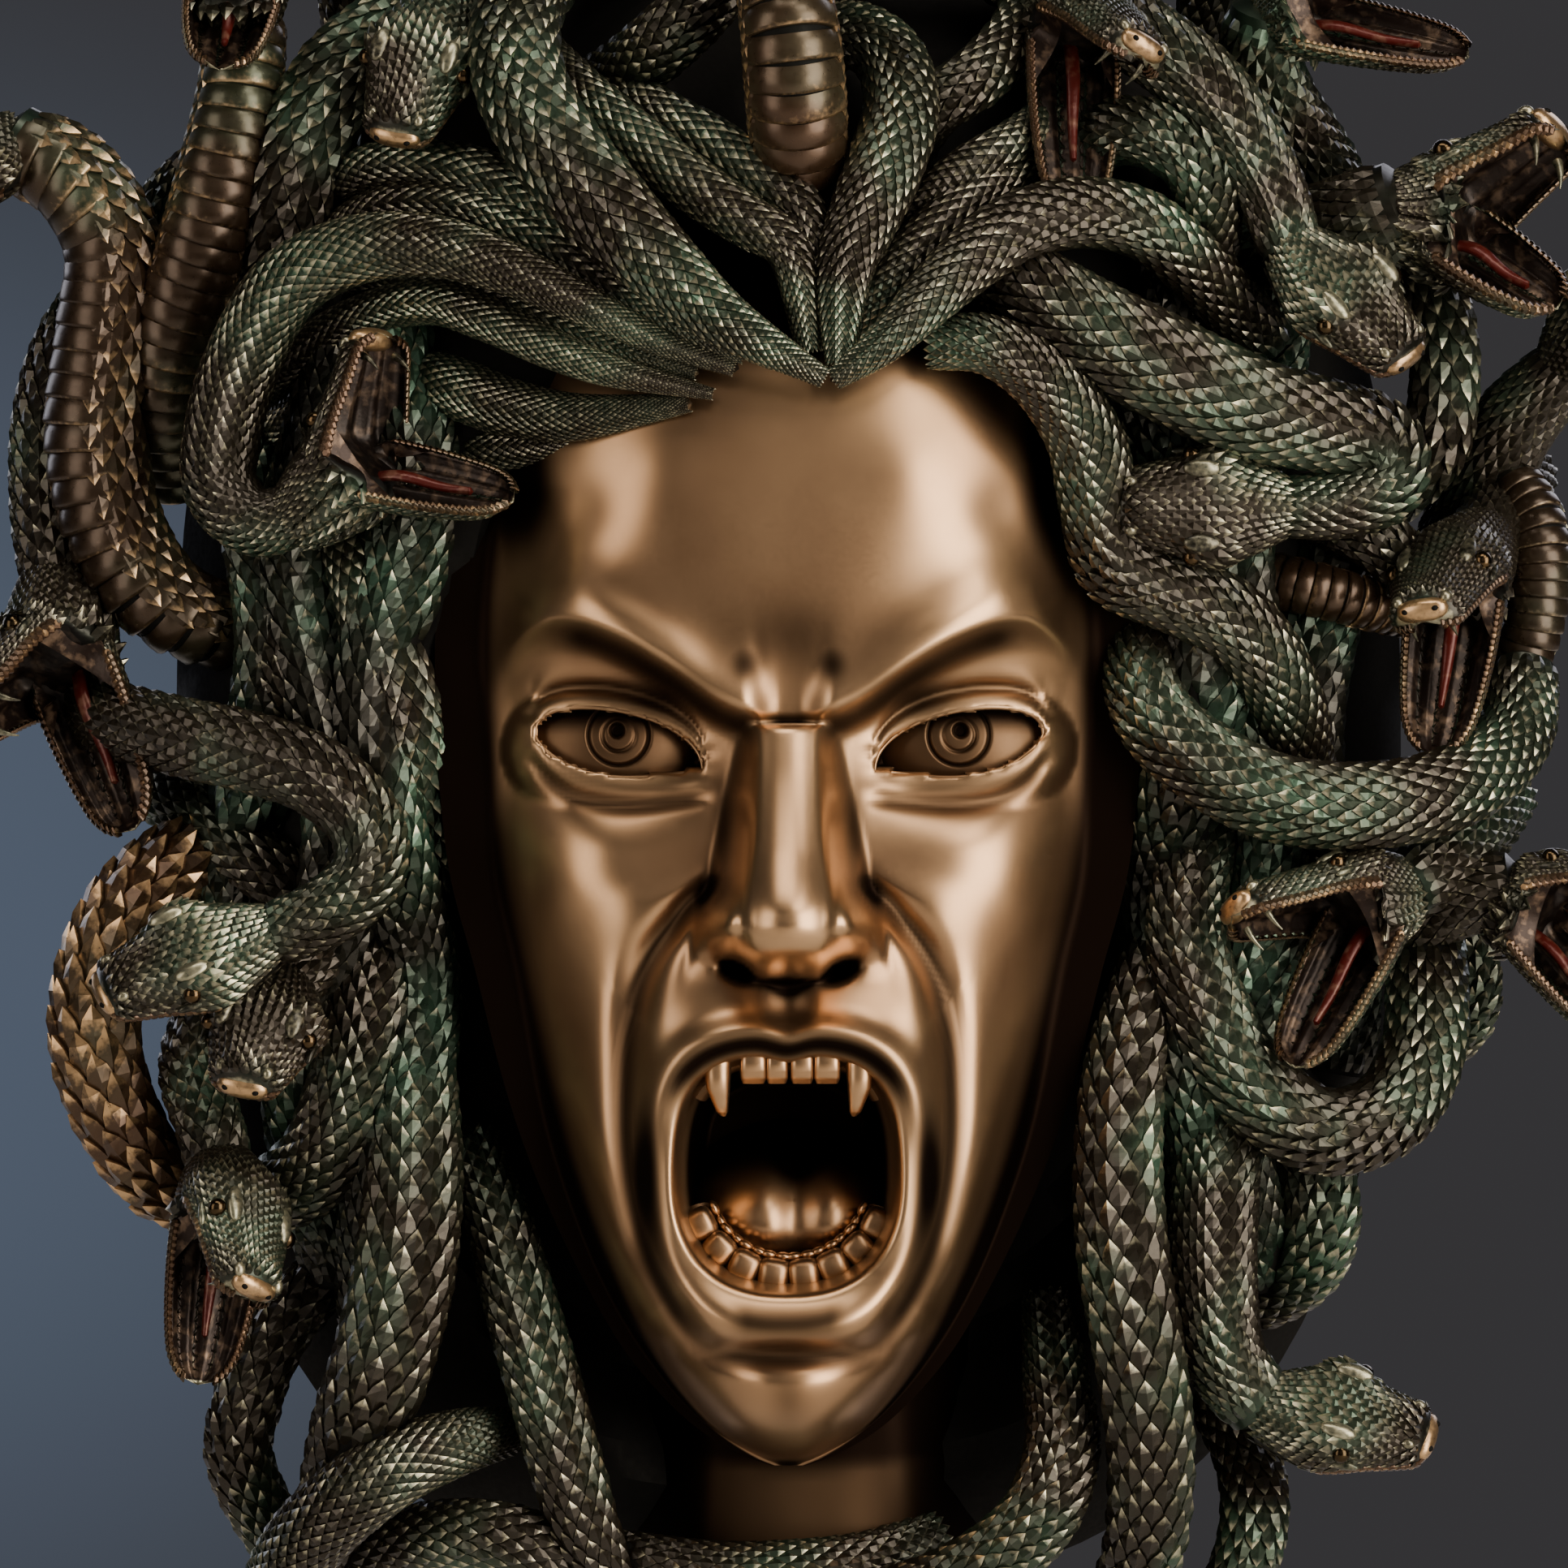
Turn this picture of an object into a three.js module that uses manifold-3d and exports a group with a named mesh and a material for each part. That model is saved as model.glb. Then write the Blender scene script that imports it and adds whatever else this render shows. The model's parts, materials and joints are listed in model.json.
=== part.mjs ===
// Gorgon mask: a wall mask cast in one piece, a screaming face in a nest of snakes.
// Millimetres, +Z up. The back is flat on the plane y = 0 and the face looks towards -Y.

import * as THREE from 'three';
import { mergeVertices } from 'three/addons/utils/BufferGeometryUtils.js';
import Module from 'manifold-3d';

const wasm = await Module();
wasm.setup();

// Driving dimensions, in millimetres
const MASK_HEIGHT = 358;
const KEYHOLE_ENTRY = 12;
const KEYHOLE_SLOT = 6;
const KEYHOLE_RISE = 14;
const KEYHOLE_DEPTH = 10;
const KEYHOLE_HEIGHT = 60;

// The carving is laid out in units of its own height: u to the right, w up, d out from the wall
const UNITS_HIGH = 119.4;
const UNIT = MASK_HEIGHT / UNITS_HIGH;

// How coarsely the solid is faceted
const COIL_SIDES = 6;
const THIN_COIL_SIDES = 5;
const THIN_COIL = 2.65;
const COIL_STEP = 5.4;
const FACE_ROWS = 58;
const FACE_COLUMNS = 40;
const OPENING_POINTS = 28;
const ALMOND_POINTS = 18;
const NECK_ROWS = 8;
const NECK_COLUMNS = 12;
const FACE_TOLERANCE = 0.55;
const COIL_TOLERANCE = 1.4;
const JOIN_TOLERANCE = 0.3;

const clamp = (value, low, high) => Math.min(Math.max(value, low), high);
const square = (value) => value * value;
const bell = (offset, width) => Math.exp(-square(offset / width));

function ease(low, high, value) {
  const share = clamp((value - low) / (high - low), 0, 1);
  return share * share * (3 - 2 * share);
}

// A smooth curve through [position, value] stations, given in rising order
function along(stations, position) {
  const last = stations.length - 1;
  const x = clamp(position, stations[0][0], stations[last][0]);
  let k = 0;
  while (k < last - 1 && x > stations[k + 1][0]) k += 1;
  const slope = (i) => {
    const before = stations[Math.max(i - 1, 0)];
    const after = stations[Math.min(i + 1, last)];
    return (after[1] - before[1]) / (after[0] - before[0]);
  };
  const [x0, y0] = stations[k];
  const [x1, y1] = stations[k + 1];
  const span = x1 - x0;
  const t = (x - x0) / span;
  const t2 = t * t;
  const t3 = t2 * t;
  return (2 * t3 - 3 * t2 + 1) * y0 + (t3 - 2 * t2 + t) * span * slope(k)
    + (3 * t2 - 2 * t3) * y1 + (t3 - t2) * span * slope(k + 1);
}

// Shape of the face. Stations are [w, value] unless a comment says otherwise.
const FACE_TOP = 31;
const FACE_FOOT = -43.9;
const FACE_HALF_WIDTHS = [[-44, 0.8], [-43.4, 2.6], [-42, 5.2], [-40, 7.6], [-37, 10.2], [-34, 12.1],
  [-30, 14.2], [-26, 16], [-22, 17.5], [-18, 18.7], [-12, 20.2], [-6, 21.8], [0, 22.5], [8, 22.8],
  [14, 22.5], [20, 21.4], [25, 19.8], [31, 16.5]];
const FACE_MIDLINE = [[-44, 22], [-43, 26], [-41, 29.6], [-38, 31.6], [-34, 32.3], [-30, 32.9], [-25, 33.2],
  [-20, 33], [-15, 32.3], [-10, 31.2], [-5, 30.6], [0, 30.6], [5, 31.6], [10, 32.6], [15, 32.3],
  [20, 31.6], [25, 30.4], [31, 28.6]];
const FACE_EDGE_DEPTH = 8;
const FACE_EDGE_POWER = 2.8;
const FACE_EDGE_ROUND = 0.42;

const NOSE = { root: 3.9, foot: -12.2 };
const NOSE_RIDGE = [[-12.6, 33], [-12, 35.4], [-11.3, 37.6], [-10.4, 39.2], [-9, 40], [-7.5, 39.6],
  [-4, 37.2], [0, 34.8], [3.9, 32.8]];
const NOSE_FLAT = [[-12.6, 1.6], [-9, 2.3], [-7, 2.4], [-3, 1.8], [3.9, 1.7]];
const NOSE_BASE = [[-12.6, 3], [-11, 4.8], [-9, 5.6], [-6, 5.4], [-2, 4.6], [3.9, 3.2]];
const NOSE_WING = { u: 4.5, w: -9.1, ru: 1.7, rw: 1.9, rise: 3.2 };
const NOSTRIL = { u: 3.5, w: -11.9, halfWidth: 1.2, halfHeight: 0.9, depth: 36.4, halfDepth: 3.4 };

// Brow edge as [distance from the middle, w]
const BROW_EDGE = [[0, 4], [2.2, 4.4], [4.7, 5.5], [7.7, 7.6], [10.8, 9.4], [13.8, 10.4], [16, 10.1], [19, 7.5]];
const BROW_RISE = 1.3;
const SOCKET = { u: 10.4, w: 3.4, ru: 6.8, rw: 5, sink: 3.6 };
const EYE = { inner: 5.5, outer: 16.3, innerW: 0.77, outerW: 3.2, u: 10.9, w: 2.3, depth: 23.4, floor: 21 };
const EYEBALL = { halfWidth: 6.6, halfHeight: 5, halfDepth: 4.6 };
const PUPIL = { u: 10.9, w: 3.3, radius: 1, floor: 27.3, points: 8 };
const EYELID = { ru: 7.5, rw: 5.4, rise: 5.5 };

const MOUTH = { u: -0.1, w: -24.9, ru: 7.6, rw: 8.1, power: 2.4, floor: 21.8 };
const LIP_RISE = 1.3;
const HOLE_RUN = 30;
// Crease from the nose wing round the mouth to the chin, as [w, distance from the middle]
const CHEEK_FOLD = [[-37, 4.8], [-34, 7], [-30, 9], [-24, 10.3], [-18, 10.4], [-14, 9.9], [-10.5, 8.6],
  [-8, 6.6], [-5.6, 4.2]];

const NECK = { u: 1.2, halfWidth: 12.8, edgeDepth: 7, rise: 12.5, top: -30, foot: -57 };

const bump = (u, w, at) => bell(u - at.u, at.ru) * bell(w - at.w, at.rw);
const oval = (u, w, at, size) => Math.sqrt(Math.max(0, 1 - square((u - at.u) / size.ru)
  - square((w - at.w) / size.rw)));

// Distance outside the mouth opening, negative inside it
function mouthDistance(u, w) {
  const across = Math.abs((u - MOUTH.u) / MOUTH.ru) ** MOUTH.power;
  const upright = Math.abs((w - MOUTH.w) / MOUTH.rw) ** MOUTH.power;
  return ((across + upright) ** (1 / MOUTH.power) - 1) * MOUTH.ru;
}

// Height of the upper and the lower eyelid's edge, x from 0 at the inner corner to 1 at the outer
function eyelidEdges(x) {
  const chord = EYE.innerW + x * (EYE.outerW - EYE.innerW);
  const upper = chord + 2.85 * (4 * x * (1 - x)) ** 0.42 * (1.06 - 0.18 * x);
  const lower = chord - 6.3 * x ** 1.3 * (1 - x) ** 0.7;
  return [upper, lower];
}

function faceDepth(u, w) {
  const side = Math.abs(u);
  const share = Math.min(side / along(FACE_HALF_WIDTHS, w), 1);
  const inside = 1 - share ** 8;
  let depth = FACE_EDGE_DEPTH + (along(FACE_MIDLINE, w) - FACE_EDGE_DEPTH)
    * (1 - share ** FACE_EDGE_POWER) ** FACE_EDGE_ROUND;

  // Cheekbones, hollow cheeks, temples, chin and the dip above it
  depth += inside * (2 * bump(side, w, { u: 13.5, w: -5, ru: 5, rw: 4 })
    - 1.6 * bump(side, w, { u: 13.5, w: -16, ru: 3.6, rw: 6 })
    - 1.2 * bump(side, w, { u: 18.5, w: 12, ru: 3.5, rw: 6 })
    + 1.9 * bump(side, w, { u: 0, w: -39.4, ru: 5, rw: 3 })
    - 1.3 * bump(side, w, { u: 0, w: -36.3, ru: 6, rw: 1 }));

  // Mouth swell and the deep folds beside it
  const reach = mouthDistance(u, w);
  const fold = side - along(CHEEK_FOLD, w);
  const foldFade = ease(-38, -33, w) * (1 - ease(-7.5, -4.5, w));
  depth += 1.2 * bell(reach - 1.5, 3.5);
  depth += foldFade * (1.1 * bell(fold - 2.4, 1.9) - 1.5 * bell(fold, 1));

  // Brow ridge over the eye sockets
  const overBrow = w - along(BROW_EDGE, side);
  const browFade = (1 - ease(15.5, 19, side)) * ease(0.5, 3, side);
  depth += BROW_RISE * browFade * bell(overBrow - 0.4, overBrow > 0.4 ? 2.4 : 1);
  depth -= SOCKET.sink * inside * bump(side, w, SOCKET) * (1 - ease(-2.2, 0.3, overBrow));

  // Knotted frown between the brows
  depth += bump(side, w, { u: 2.9, w: 7.6, ru: 1.2, rw: 2 })
    - 0.7 * bump(side, w, { u: 1.4, w: 6.5, ru: 0.6, rw: 2.4 });

  // Eyelids stretched over the eyeballs
  depth = Math.max(depth, EYE.depth + EYELID.rise * oval(side, w, EYE, EYELID));

  // Nose: a flat straight ridge, sloping sides and wings
  if (w < NOSE.root && w > NOSE.foot - 0.4) {
    const slide = (side - along(NOSE_FLAT, w)) / (along(NOSE_BASE, w) - along(NOSE_FLAT, w));
    const ridge = along(NOSE_RIDGE, w) - 0.25 * square(Math.min(side, 3));
    depth = Math.max(depth, depth + (ridge - depth) * (1 - ease(0, 1, slide)));
  }
  depth += NOSE_WING.rise * bump(side, w, NOSE_WING) * ease(2, 4, side);
  depth -= 0.5 * bump(side, w, { u: 0, w: -14, ru: 1.1, rw: 1.6 });

  // Lips round the open mouth
  return depth + LIP_RISE * bell(reach - 1, 0.9);
}

function neckDepth(u) {
  const across = clamp((u - NECK.u) / NECK.halfWidth, -1, 1);
  return NECK.edgeDepth + NECK.rise * Math.sqrt(1 - square(across));
}

// The body of the casting behind the snakes
const CORE = { halfWidth: 40, halfHeight: 55, middle: 2, squareness: 2.6, rings: 6, sectors: 20 };
const CORE_UNDER_FACE = 14;
const CORE_DOME = { halfWidth: 43, halfHeight: 58, middle: 3, rise: 29, fullness: 0.4, sunk: 1.5 };

// Distance from the middle of a rounded rectangle, 1 on its edge
const roundedReach = (u, w, at) => (Math.abs(u / at.halfWidth) ** CORE.squareness
  + Math.abs((w - at.middle) / at.halfHeight) ** CORE.squareness) ** (1 / CORE.squareness);

function coreDepth(u, w) {
  const slope = Math.max(1 - square(roundedReach(u, w, CORE_DOME)), 0);
  const dome = CORE_DOME.rise * slope ** CORE_DOME.fullness - CORE_DOME.sunk;
  const beyondFace = ease(0.95, 1.15, Math.hypot(u / 23, (w + 9) / 35));
  return CORE_UNDER_FACE + (dome - CORE_UNDER_FACE) * beyondFace;
}

const place = (u, w, d) => new THREE.Vector3(u * UNIT, -d * UNIT, w * UNIT);
const heading = ([u, w, d]) => new THREE.Vector3(u, -d, w).normalize();

// A closed mesh from points and triangles, turned into a solid
function solidFrom(points, triangles) {
  const geometry = new THREE.BufferGeometry().setFromPoints(points);
  geometry.setIndex(triangles.flat());
  return toSolid(geometry);
}

function toSolid(geometry) {
  geometry.deleteAttribute('normal');
  geometry.deleteAttribute('uv');
  const merged = mergeVertices(geometry, 1e-4);
  const solid = new wasm.Manifold(new wasm.Mesh({
    numProp: 3,
    vertProperties: new Float32Array(merged.attributes.position.array),
    triVerts: new Uint32Array(merged.index.array),
  }));
  return solid;
}

// A solid between the wall and a relief surface given on a grid of [u, w, d] points
function reliefSolid(grid) {
  const rows = grid.length;
  const columns = grid[0].length;
  const points = [];
  for (const front of [true, false]) {
    for (const row of grid) {
      for (const [u, w, d] of row) points.push(place(u, w, front ? d : 0));
    }
  }
  const at = (i, j, back = 0) => back * rows * columns + i * columns + j;
  const triangles = [];
  const quad = (a, b, c, d) => triangles.push([a, b, c], [a, c, d]);
  for (let i = 0; i < rows - 1; i += 1) {
    for (let j = 0; j < columns - 1; j += 1) {
      // Each square is split along its flatter diagonal
      const slant = Math.abs(grid[i][j][2] - grid[i + 1][j + 1][2]);
      const counter = Math.abs(grid[i][j + 1][2] - grid[i + 1][j][2]);
      if (slant < counter) quad(at(i, j), at(i, j + 1), at(i + 1, j + 1), at(i + 1, j));
      else quad(at(i, j + 1), at(i + 1, j + 1), at(i + 1, j), at(i, j));
      quad(at(i, j, 1), at(i + 1, j, 1), at(i + 1, j + 1, 1), at(i, j + 1, 1));
    }
    quad(at(i, 0), at(i + 1, 0), at(i + 1, 0, 1), at(i, 0, 1));
    quad(at(i, columns - 1), at(i, columns - 1, 1), at(i + 1, columns - 1, 1), at(i + 1, columns - 1));
  }
  for (let j = 0; j < columns - 1; j += 1) {
    quad(at(0, j), at(0, j, 1), at(0, j + 1, 1), at(0, j + 1));
    quad(at(rows - 1, j), at(rows - 1, j + 1), at(rows - 1, j + 1, 1), at(rows - 1, j, 1));
  }
  return solidFrom(points, triangles);
}

function faceRelief() {
  const grid = [];
  for (let i = 0; i <= FACE_ROWS; i += 1) {
    const w = FACE_FOOT + (FACE_TOP - FACE_FOOT) * (i / FACE_ROWS);
    const row = [];
    for (let j = 0; j <= FACE_COLUMNS; j += 1) {
      const t = (2 * j) / FACE_COLUMNS - 1;
      const u = along(FACE_HALF_WIDTHS, w) * (0.75 * t + 0.25 * Math.sin((Math.PI * t) / 2));
      row.push([u, w, faceDepth(u, w)]);
    }
    grid.push(row);
  }
  return reliefSolid(grid);
}

// A straight hole from the given depth out through the front, over a closed outline of [u, w] points
function frontHole(outline, floor) {
  const shape = new THREE.Shape(outline.map(([u, w]) => new THREE.Vector2(u, w)));
  const hole = new THREE.ExtrudeGeometry(shape, { depth: HOLE_RUN, bevelEnabled: false });
  hole.rotateX(Math.PI / 2).scale(UNIT, UNIT, UNIT);
  return toSolid(hole.translate(0, -floor * UNIT, 0));
}

// A closed outline of [u, w] points: an oval whose corners fill out as the power rises above 2
function fullOval(at, power, points) {
  const bulge = (value) => Math.sign(value) * Math.abs(value) ** (2 / power);
  return Array.from({ length: points }, (_, k) => {
    const angle = (2 * Math.PI * k) / points;
    return [at.u + at.ru * bulge(Math.cos(angle)), at.w + at.rw * bulge(Math.sin(angle))];
  });
}

function almond(side) {
  const half = ALMOND_POINTS / 2;
  const edge = (k, lid) => {
    const x = k / half;
    return [side * (EYE.inner + x * (EYE.outer - EYE.inner)), eyelidEdges(x)[lid]];
  };
  const upper = Array.from({ length: half }, (_, k) => edge(k, 0));
  const lower = Array.from({ length: half }, (_, k) => edge(half - k, 1));
  return [...upper, ...lower];
}

function ovoid(at, sides, rings) {
  const ball = new THREE.SphereGeometry(UNIT, sides, rings);
  ball.scale(at.halfWidth, at.halfDepth, at.halfHeight);
  const middle = place(at.u, at.w, at.depth);
  return toSolid(ball.translate(middle.x, middle.y, middle.z));
}

function faceSolid() {
  let face = faceRelief().subtract(frontHole(fullOval(MOUTH, MOUTH.power, OPENING_POINTS), MOUTH.floor));
  for (const side of [-1, 1]) {
    const eyeball = { ...EYEBALL, u: side * EYE.u, w: EYE.w, depth: EYE.depth };
    const pupil = { u: side * PUPIL.u, w: PUPIL.w, ru: PUPIL.radius, rw: PUPIL.radius };
    face = face.subtract(frontHole(almond(side), EYE.floor))
      .add(ovoid(eyeball, 16, 10))
      .subtract(frontHole(fullOval(pupil, 2, PUPIL.points), PUPIL.floor))
      .subtract(ovoid({ ...NOSTRIL, u: side * NOSTRIL.u }, 6, 4));
  }
  return face;
}

function neckSolid() {
  const grid = [];
  for (let i = 0; i <= NECK_ROWS; i += 1) {
    const w = NECK.foot + (NECK.top - NECK.foot) * (i / NECK_ROWS);
    const row = [];
    for (let j = 0; j <= NECK_COLUMNS; j += 1) {
      const u = NECK.u - NECK.halfWidth * Math.cos((Math.PI * j) / NECK_COLUMNS);
      row.push([u, w, neckDepth(u)]);
    }
    grid.push(row);
  }
  return reliefSolid(grid);
}

function coreSolid() {
  const points = [place(0, CORE.middle, 0), place(0, CORE.middle, coreDepth(0, CORE.middle))];
  const triangles = [];
  const at = (ring, sector, front) => 2 + 2 * ((ring - 1) * CORE.sectors + (sector % CORE.sectors)) + front;
  for (let ring = 1; ring <= CORE.rings; ring += 1) {
    for (let sector = 0; sector < CORE.sectors; sector += 1) {
      const angle = (2 * Math.PI * sector) / CORE.sectors;
      const [across, upright] = [CORE.halfWidth * Math.cos(angle), CORE.halfHeight * Math.sin(angle)];
      const share = ring / CORE.rings / roundedReach(across, CORE.middle + upright, CORE);
      const [u, w] = [share * across, CORE.middle + share * upright];
      points.push(place(u, w, 0), place(u, w, coreDepth(u, w)));
    }
  }
  for (let sector = 0; sector < CORE.sectors; sector += 1) {
    triangles.push([1, at(1, sector, 1), at(1, sector + 1, 1)], [0, at(1, sector + 1, 0), at(1, sector, 0)]);
    for (let ring = 1; ring < CORE.rings; ring += 1) {
      const [a, b] = [at(ring, sector, 1), at(ring + 1, sector, 1)];
      const [c, d] = [at(ring + 1, sector + 1, 1), at(ring, sector + 1, 1)];
      triangles.push([a, b, c], [a, c, d], [a - 1, c - 1, b - 1], [a - 1, d - 1, c - 1]);
    }
    const [e, f] = [at(CORE.rings, sector, 1), at(CORE.rings, sector + 1, 1)];
    triangles.push([e, e - 1, f - 1], [e, f - 1, f]);
  }
  return solidFrom(points, triangles);
}

// A closed skin over rings of points, each ring in the same turning order
function loft(rings) {
  const sides = rings[0].length;
  const points = rings.flat();
  const triangles = [];
  for (let i = 0; i < rings.length - 1; i += 1) {
    for (let j = 0; j < sides; j += 1) {
      const [a, b] = [i * sides + j, i * sides + ((j + 1) % sides)];
      triangles.push([a, b, b + sides], [a, b + sides, a + sides]);
    }
  }
  const last = (rings.length - 1) * sides;
  for (let j = 1; j < sides - 1; j += 1) {
    triangles.push([0, j + 1, j], [last, last + j, last + j + 1]);
  }
  return solidFrom(points, triangles);
}

// One ring: an oval with its own heights above and below the axis
function ovalRing(centre, sideways, upward, [halfWidth, above, below], sides = COIL_SIDES) {
  return Array.from({ length: sides }, (_, j) => {
    const angle = (2 * Math.PI * j) / sides;
    const rise = Math.sin(angle) * (Math.sin(angle) > 0 ? above : below);
    return centre.clone()
      .addScaledVector(sideways, Math.cos(angle) * halfWidth * UNIT)
      .addScaledVector(upward, rise * UNIT);
  });
}

// A snake's body: girth is [start, fullest, end], and fullest is where it is thickest
function coil({ girth, route, fullest = 0.5 }) {
  const curve = new THREE.CatmullRomCurve3(route.map(([u, w, d]) => place(u, w, d)), false, 'catmullrom', 0.5);
  const steps = Math.max(3, Math.round(curve.getLength() / UNIT / COIL_STEP));
  const sides = girth[1] < THIN_COIL ? THIN_COIL_SIDES : COIL_SIDES;
  const rings = [];
  let upward = new THREE.Vector3(0, -1, 0);
  for (let i = 0; i <= steps; i += 1) {
    const t = i / steps;
    const tangent = curve.getTangentAt(t);
    upward = upward.addScaledVector(tangent, -upward.dot(tangent)).normalize();
    const sideways = new THREE.Vector3().crossVectors(upward, tangent);
    const radius = t < fullest
      ? girth[0] + (girth[1] - girth[0]) * Math.sin((Math.PI / 2) * (t / fullest))
      : girth[2] + (girth[1] - girth[2]) * Math.cos((Math.PI / 2) * ((t - fullest) / (1 - fullest)));
    rings.push(ovalRing(curve.getPointAt(t), sideways, upward, [radius, radius, radius], sides));
  }
  return loft(rings);
}

// Sections of a snake's head as [share of its length, half width, height above, height below]
const SHUT_HEAD = [[0, 2.2, 2.1, 2.1], [0.22, 3.3, 2.5, 2.2], [0.42, 3.9, 2.7, 2], [0.68, 3, 2.3, 1.7],
  [0.9, 2.1, 1.6, 1.3], [1, 1.4, 0.9, 0.7]];
const SKULL = [[-1, 2.3, 2.2, 2.2], [-0.5, 3.2, 2.5, 2.6], [0, 3.9, 2.6, 2.6], [0.35, 3.4, 2.3, 1.5],
  [0.65, 2.7, 2, 1.4], [0.9, 2.1, 1.5, 1.1], [1, 1.4, 0.9, 0.6]];
const JAW = [[-0.15, 2.6, 0.5, 1.6], [0, 3.1, 0.5, 1.7], [0.4, 2.7, 0.4, 1.5], [0.8, 2, 0.35, 1.2],
  [1, 1.1, 0.25, 0.5]];
const SKULL_LIFT = 1.6;

function shutHead(neckEnd, { snout, up }) {
  const start = place(...neckEnd);
  const run = place(...snout).sub(start);
  const forward = run.clone().normalize();
  const upward = heading(up);
  upward.addScaledVector(forward, -upward.dot(forward)).normalize();
  const sideways = new THREE.Vector3().crossVectors(upward, forward);
  return loft(SHUT_HEAD.map(([share, ...size]) => ovalRing(
    start.clone().addScaledVector(run, share), sideways, upward, size)));
}

function openHead(neckEnd, { hinge, upper, lower, scale = 1 }) {
  const enlarged = (size) => size.map((value) => value * scale);
  const [upperRun, lowerRun] = [heading(upper.aim), heading(lower.aim)];
  const across = new THREE.Vector3().crossVectors(upperRun, lowerRun).normalize();
  const crown = new THREE.Vector3().crossVectors(upperRun, across);
  const chin = new THREE.Vector3().crossVectors(across, lowerRun);
  const start = place(...neckEnd);
  const corner = place(...hinge);
  const skullMiddle = corner.clone().addScaledVector(crown, scale * SKULL_LIFT * UNIT);
  const skull = SKULL.map(([share, ...size]) => {
    const centre = share <= 0
      ? skullMiddle.clone().lerp(start, -share)
      : skullMiddle.clone().addScaledVector(upperRun, share * upper.length * UNIT);
    const run = share < 0 ? skullMiddle.clone().sub(start).normalize() : upperRun;
    const forward = share === 0 ? skullMiddle.clone().sub(start).normalize().add(upperRun).normalize() : run;
    const upward = crown.clone().addScaledVector(forward, -crown.dot(forward)).normalize();
    return ovalRing(centre, new THREE.Vector3().crossVectors(upward, forward), upward, enlarged(size));
  });
  const jaw = JAW.map(([share, ...size]) => ovalRing(
    corner.clone().addScaledVector(lowerRun, share * lower.length * UNIT),
    new THREE.Vector3().crossVectors(chin.clone().negate(), lowerRun), chin.clone().negate(), enlarged(size)));
  return loft(skull).add(loft(jaw));
}

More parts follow.
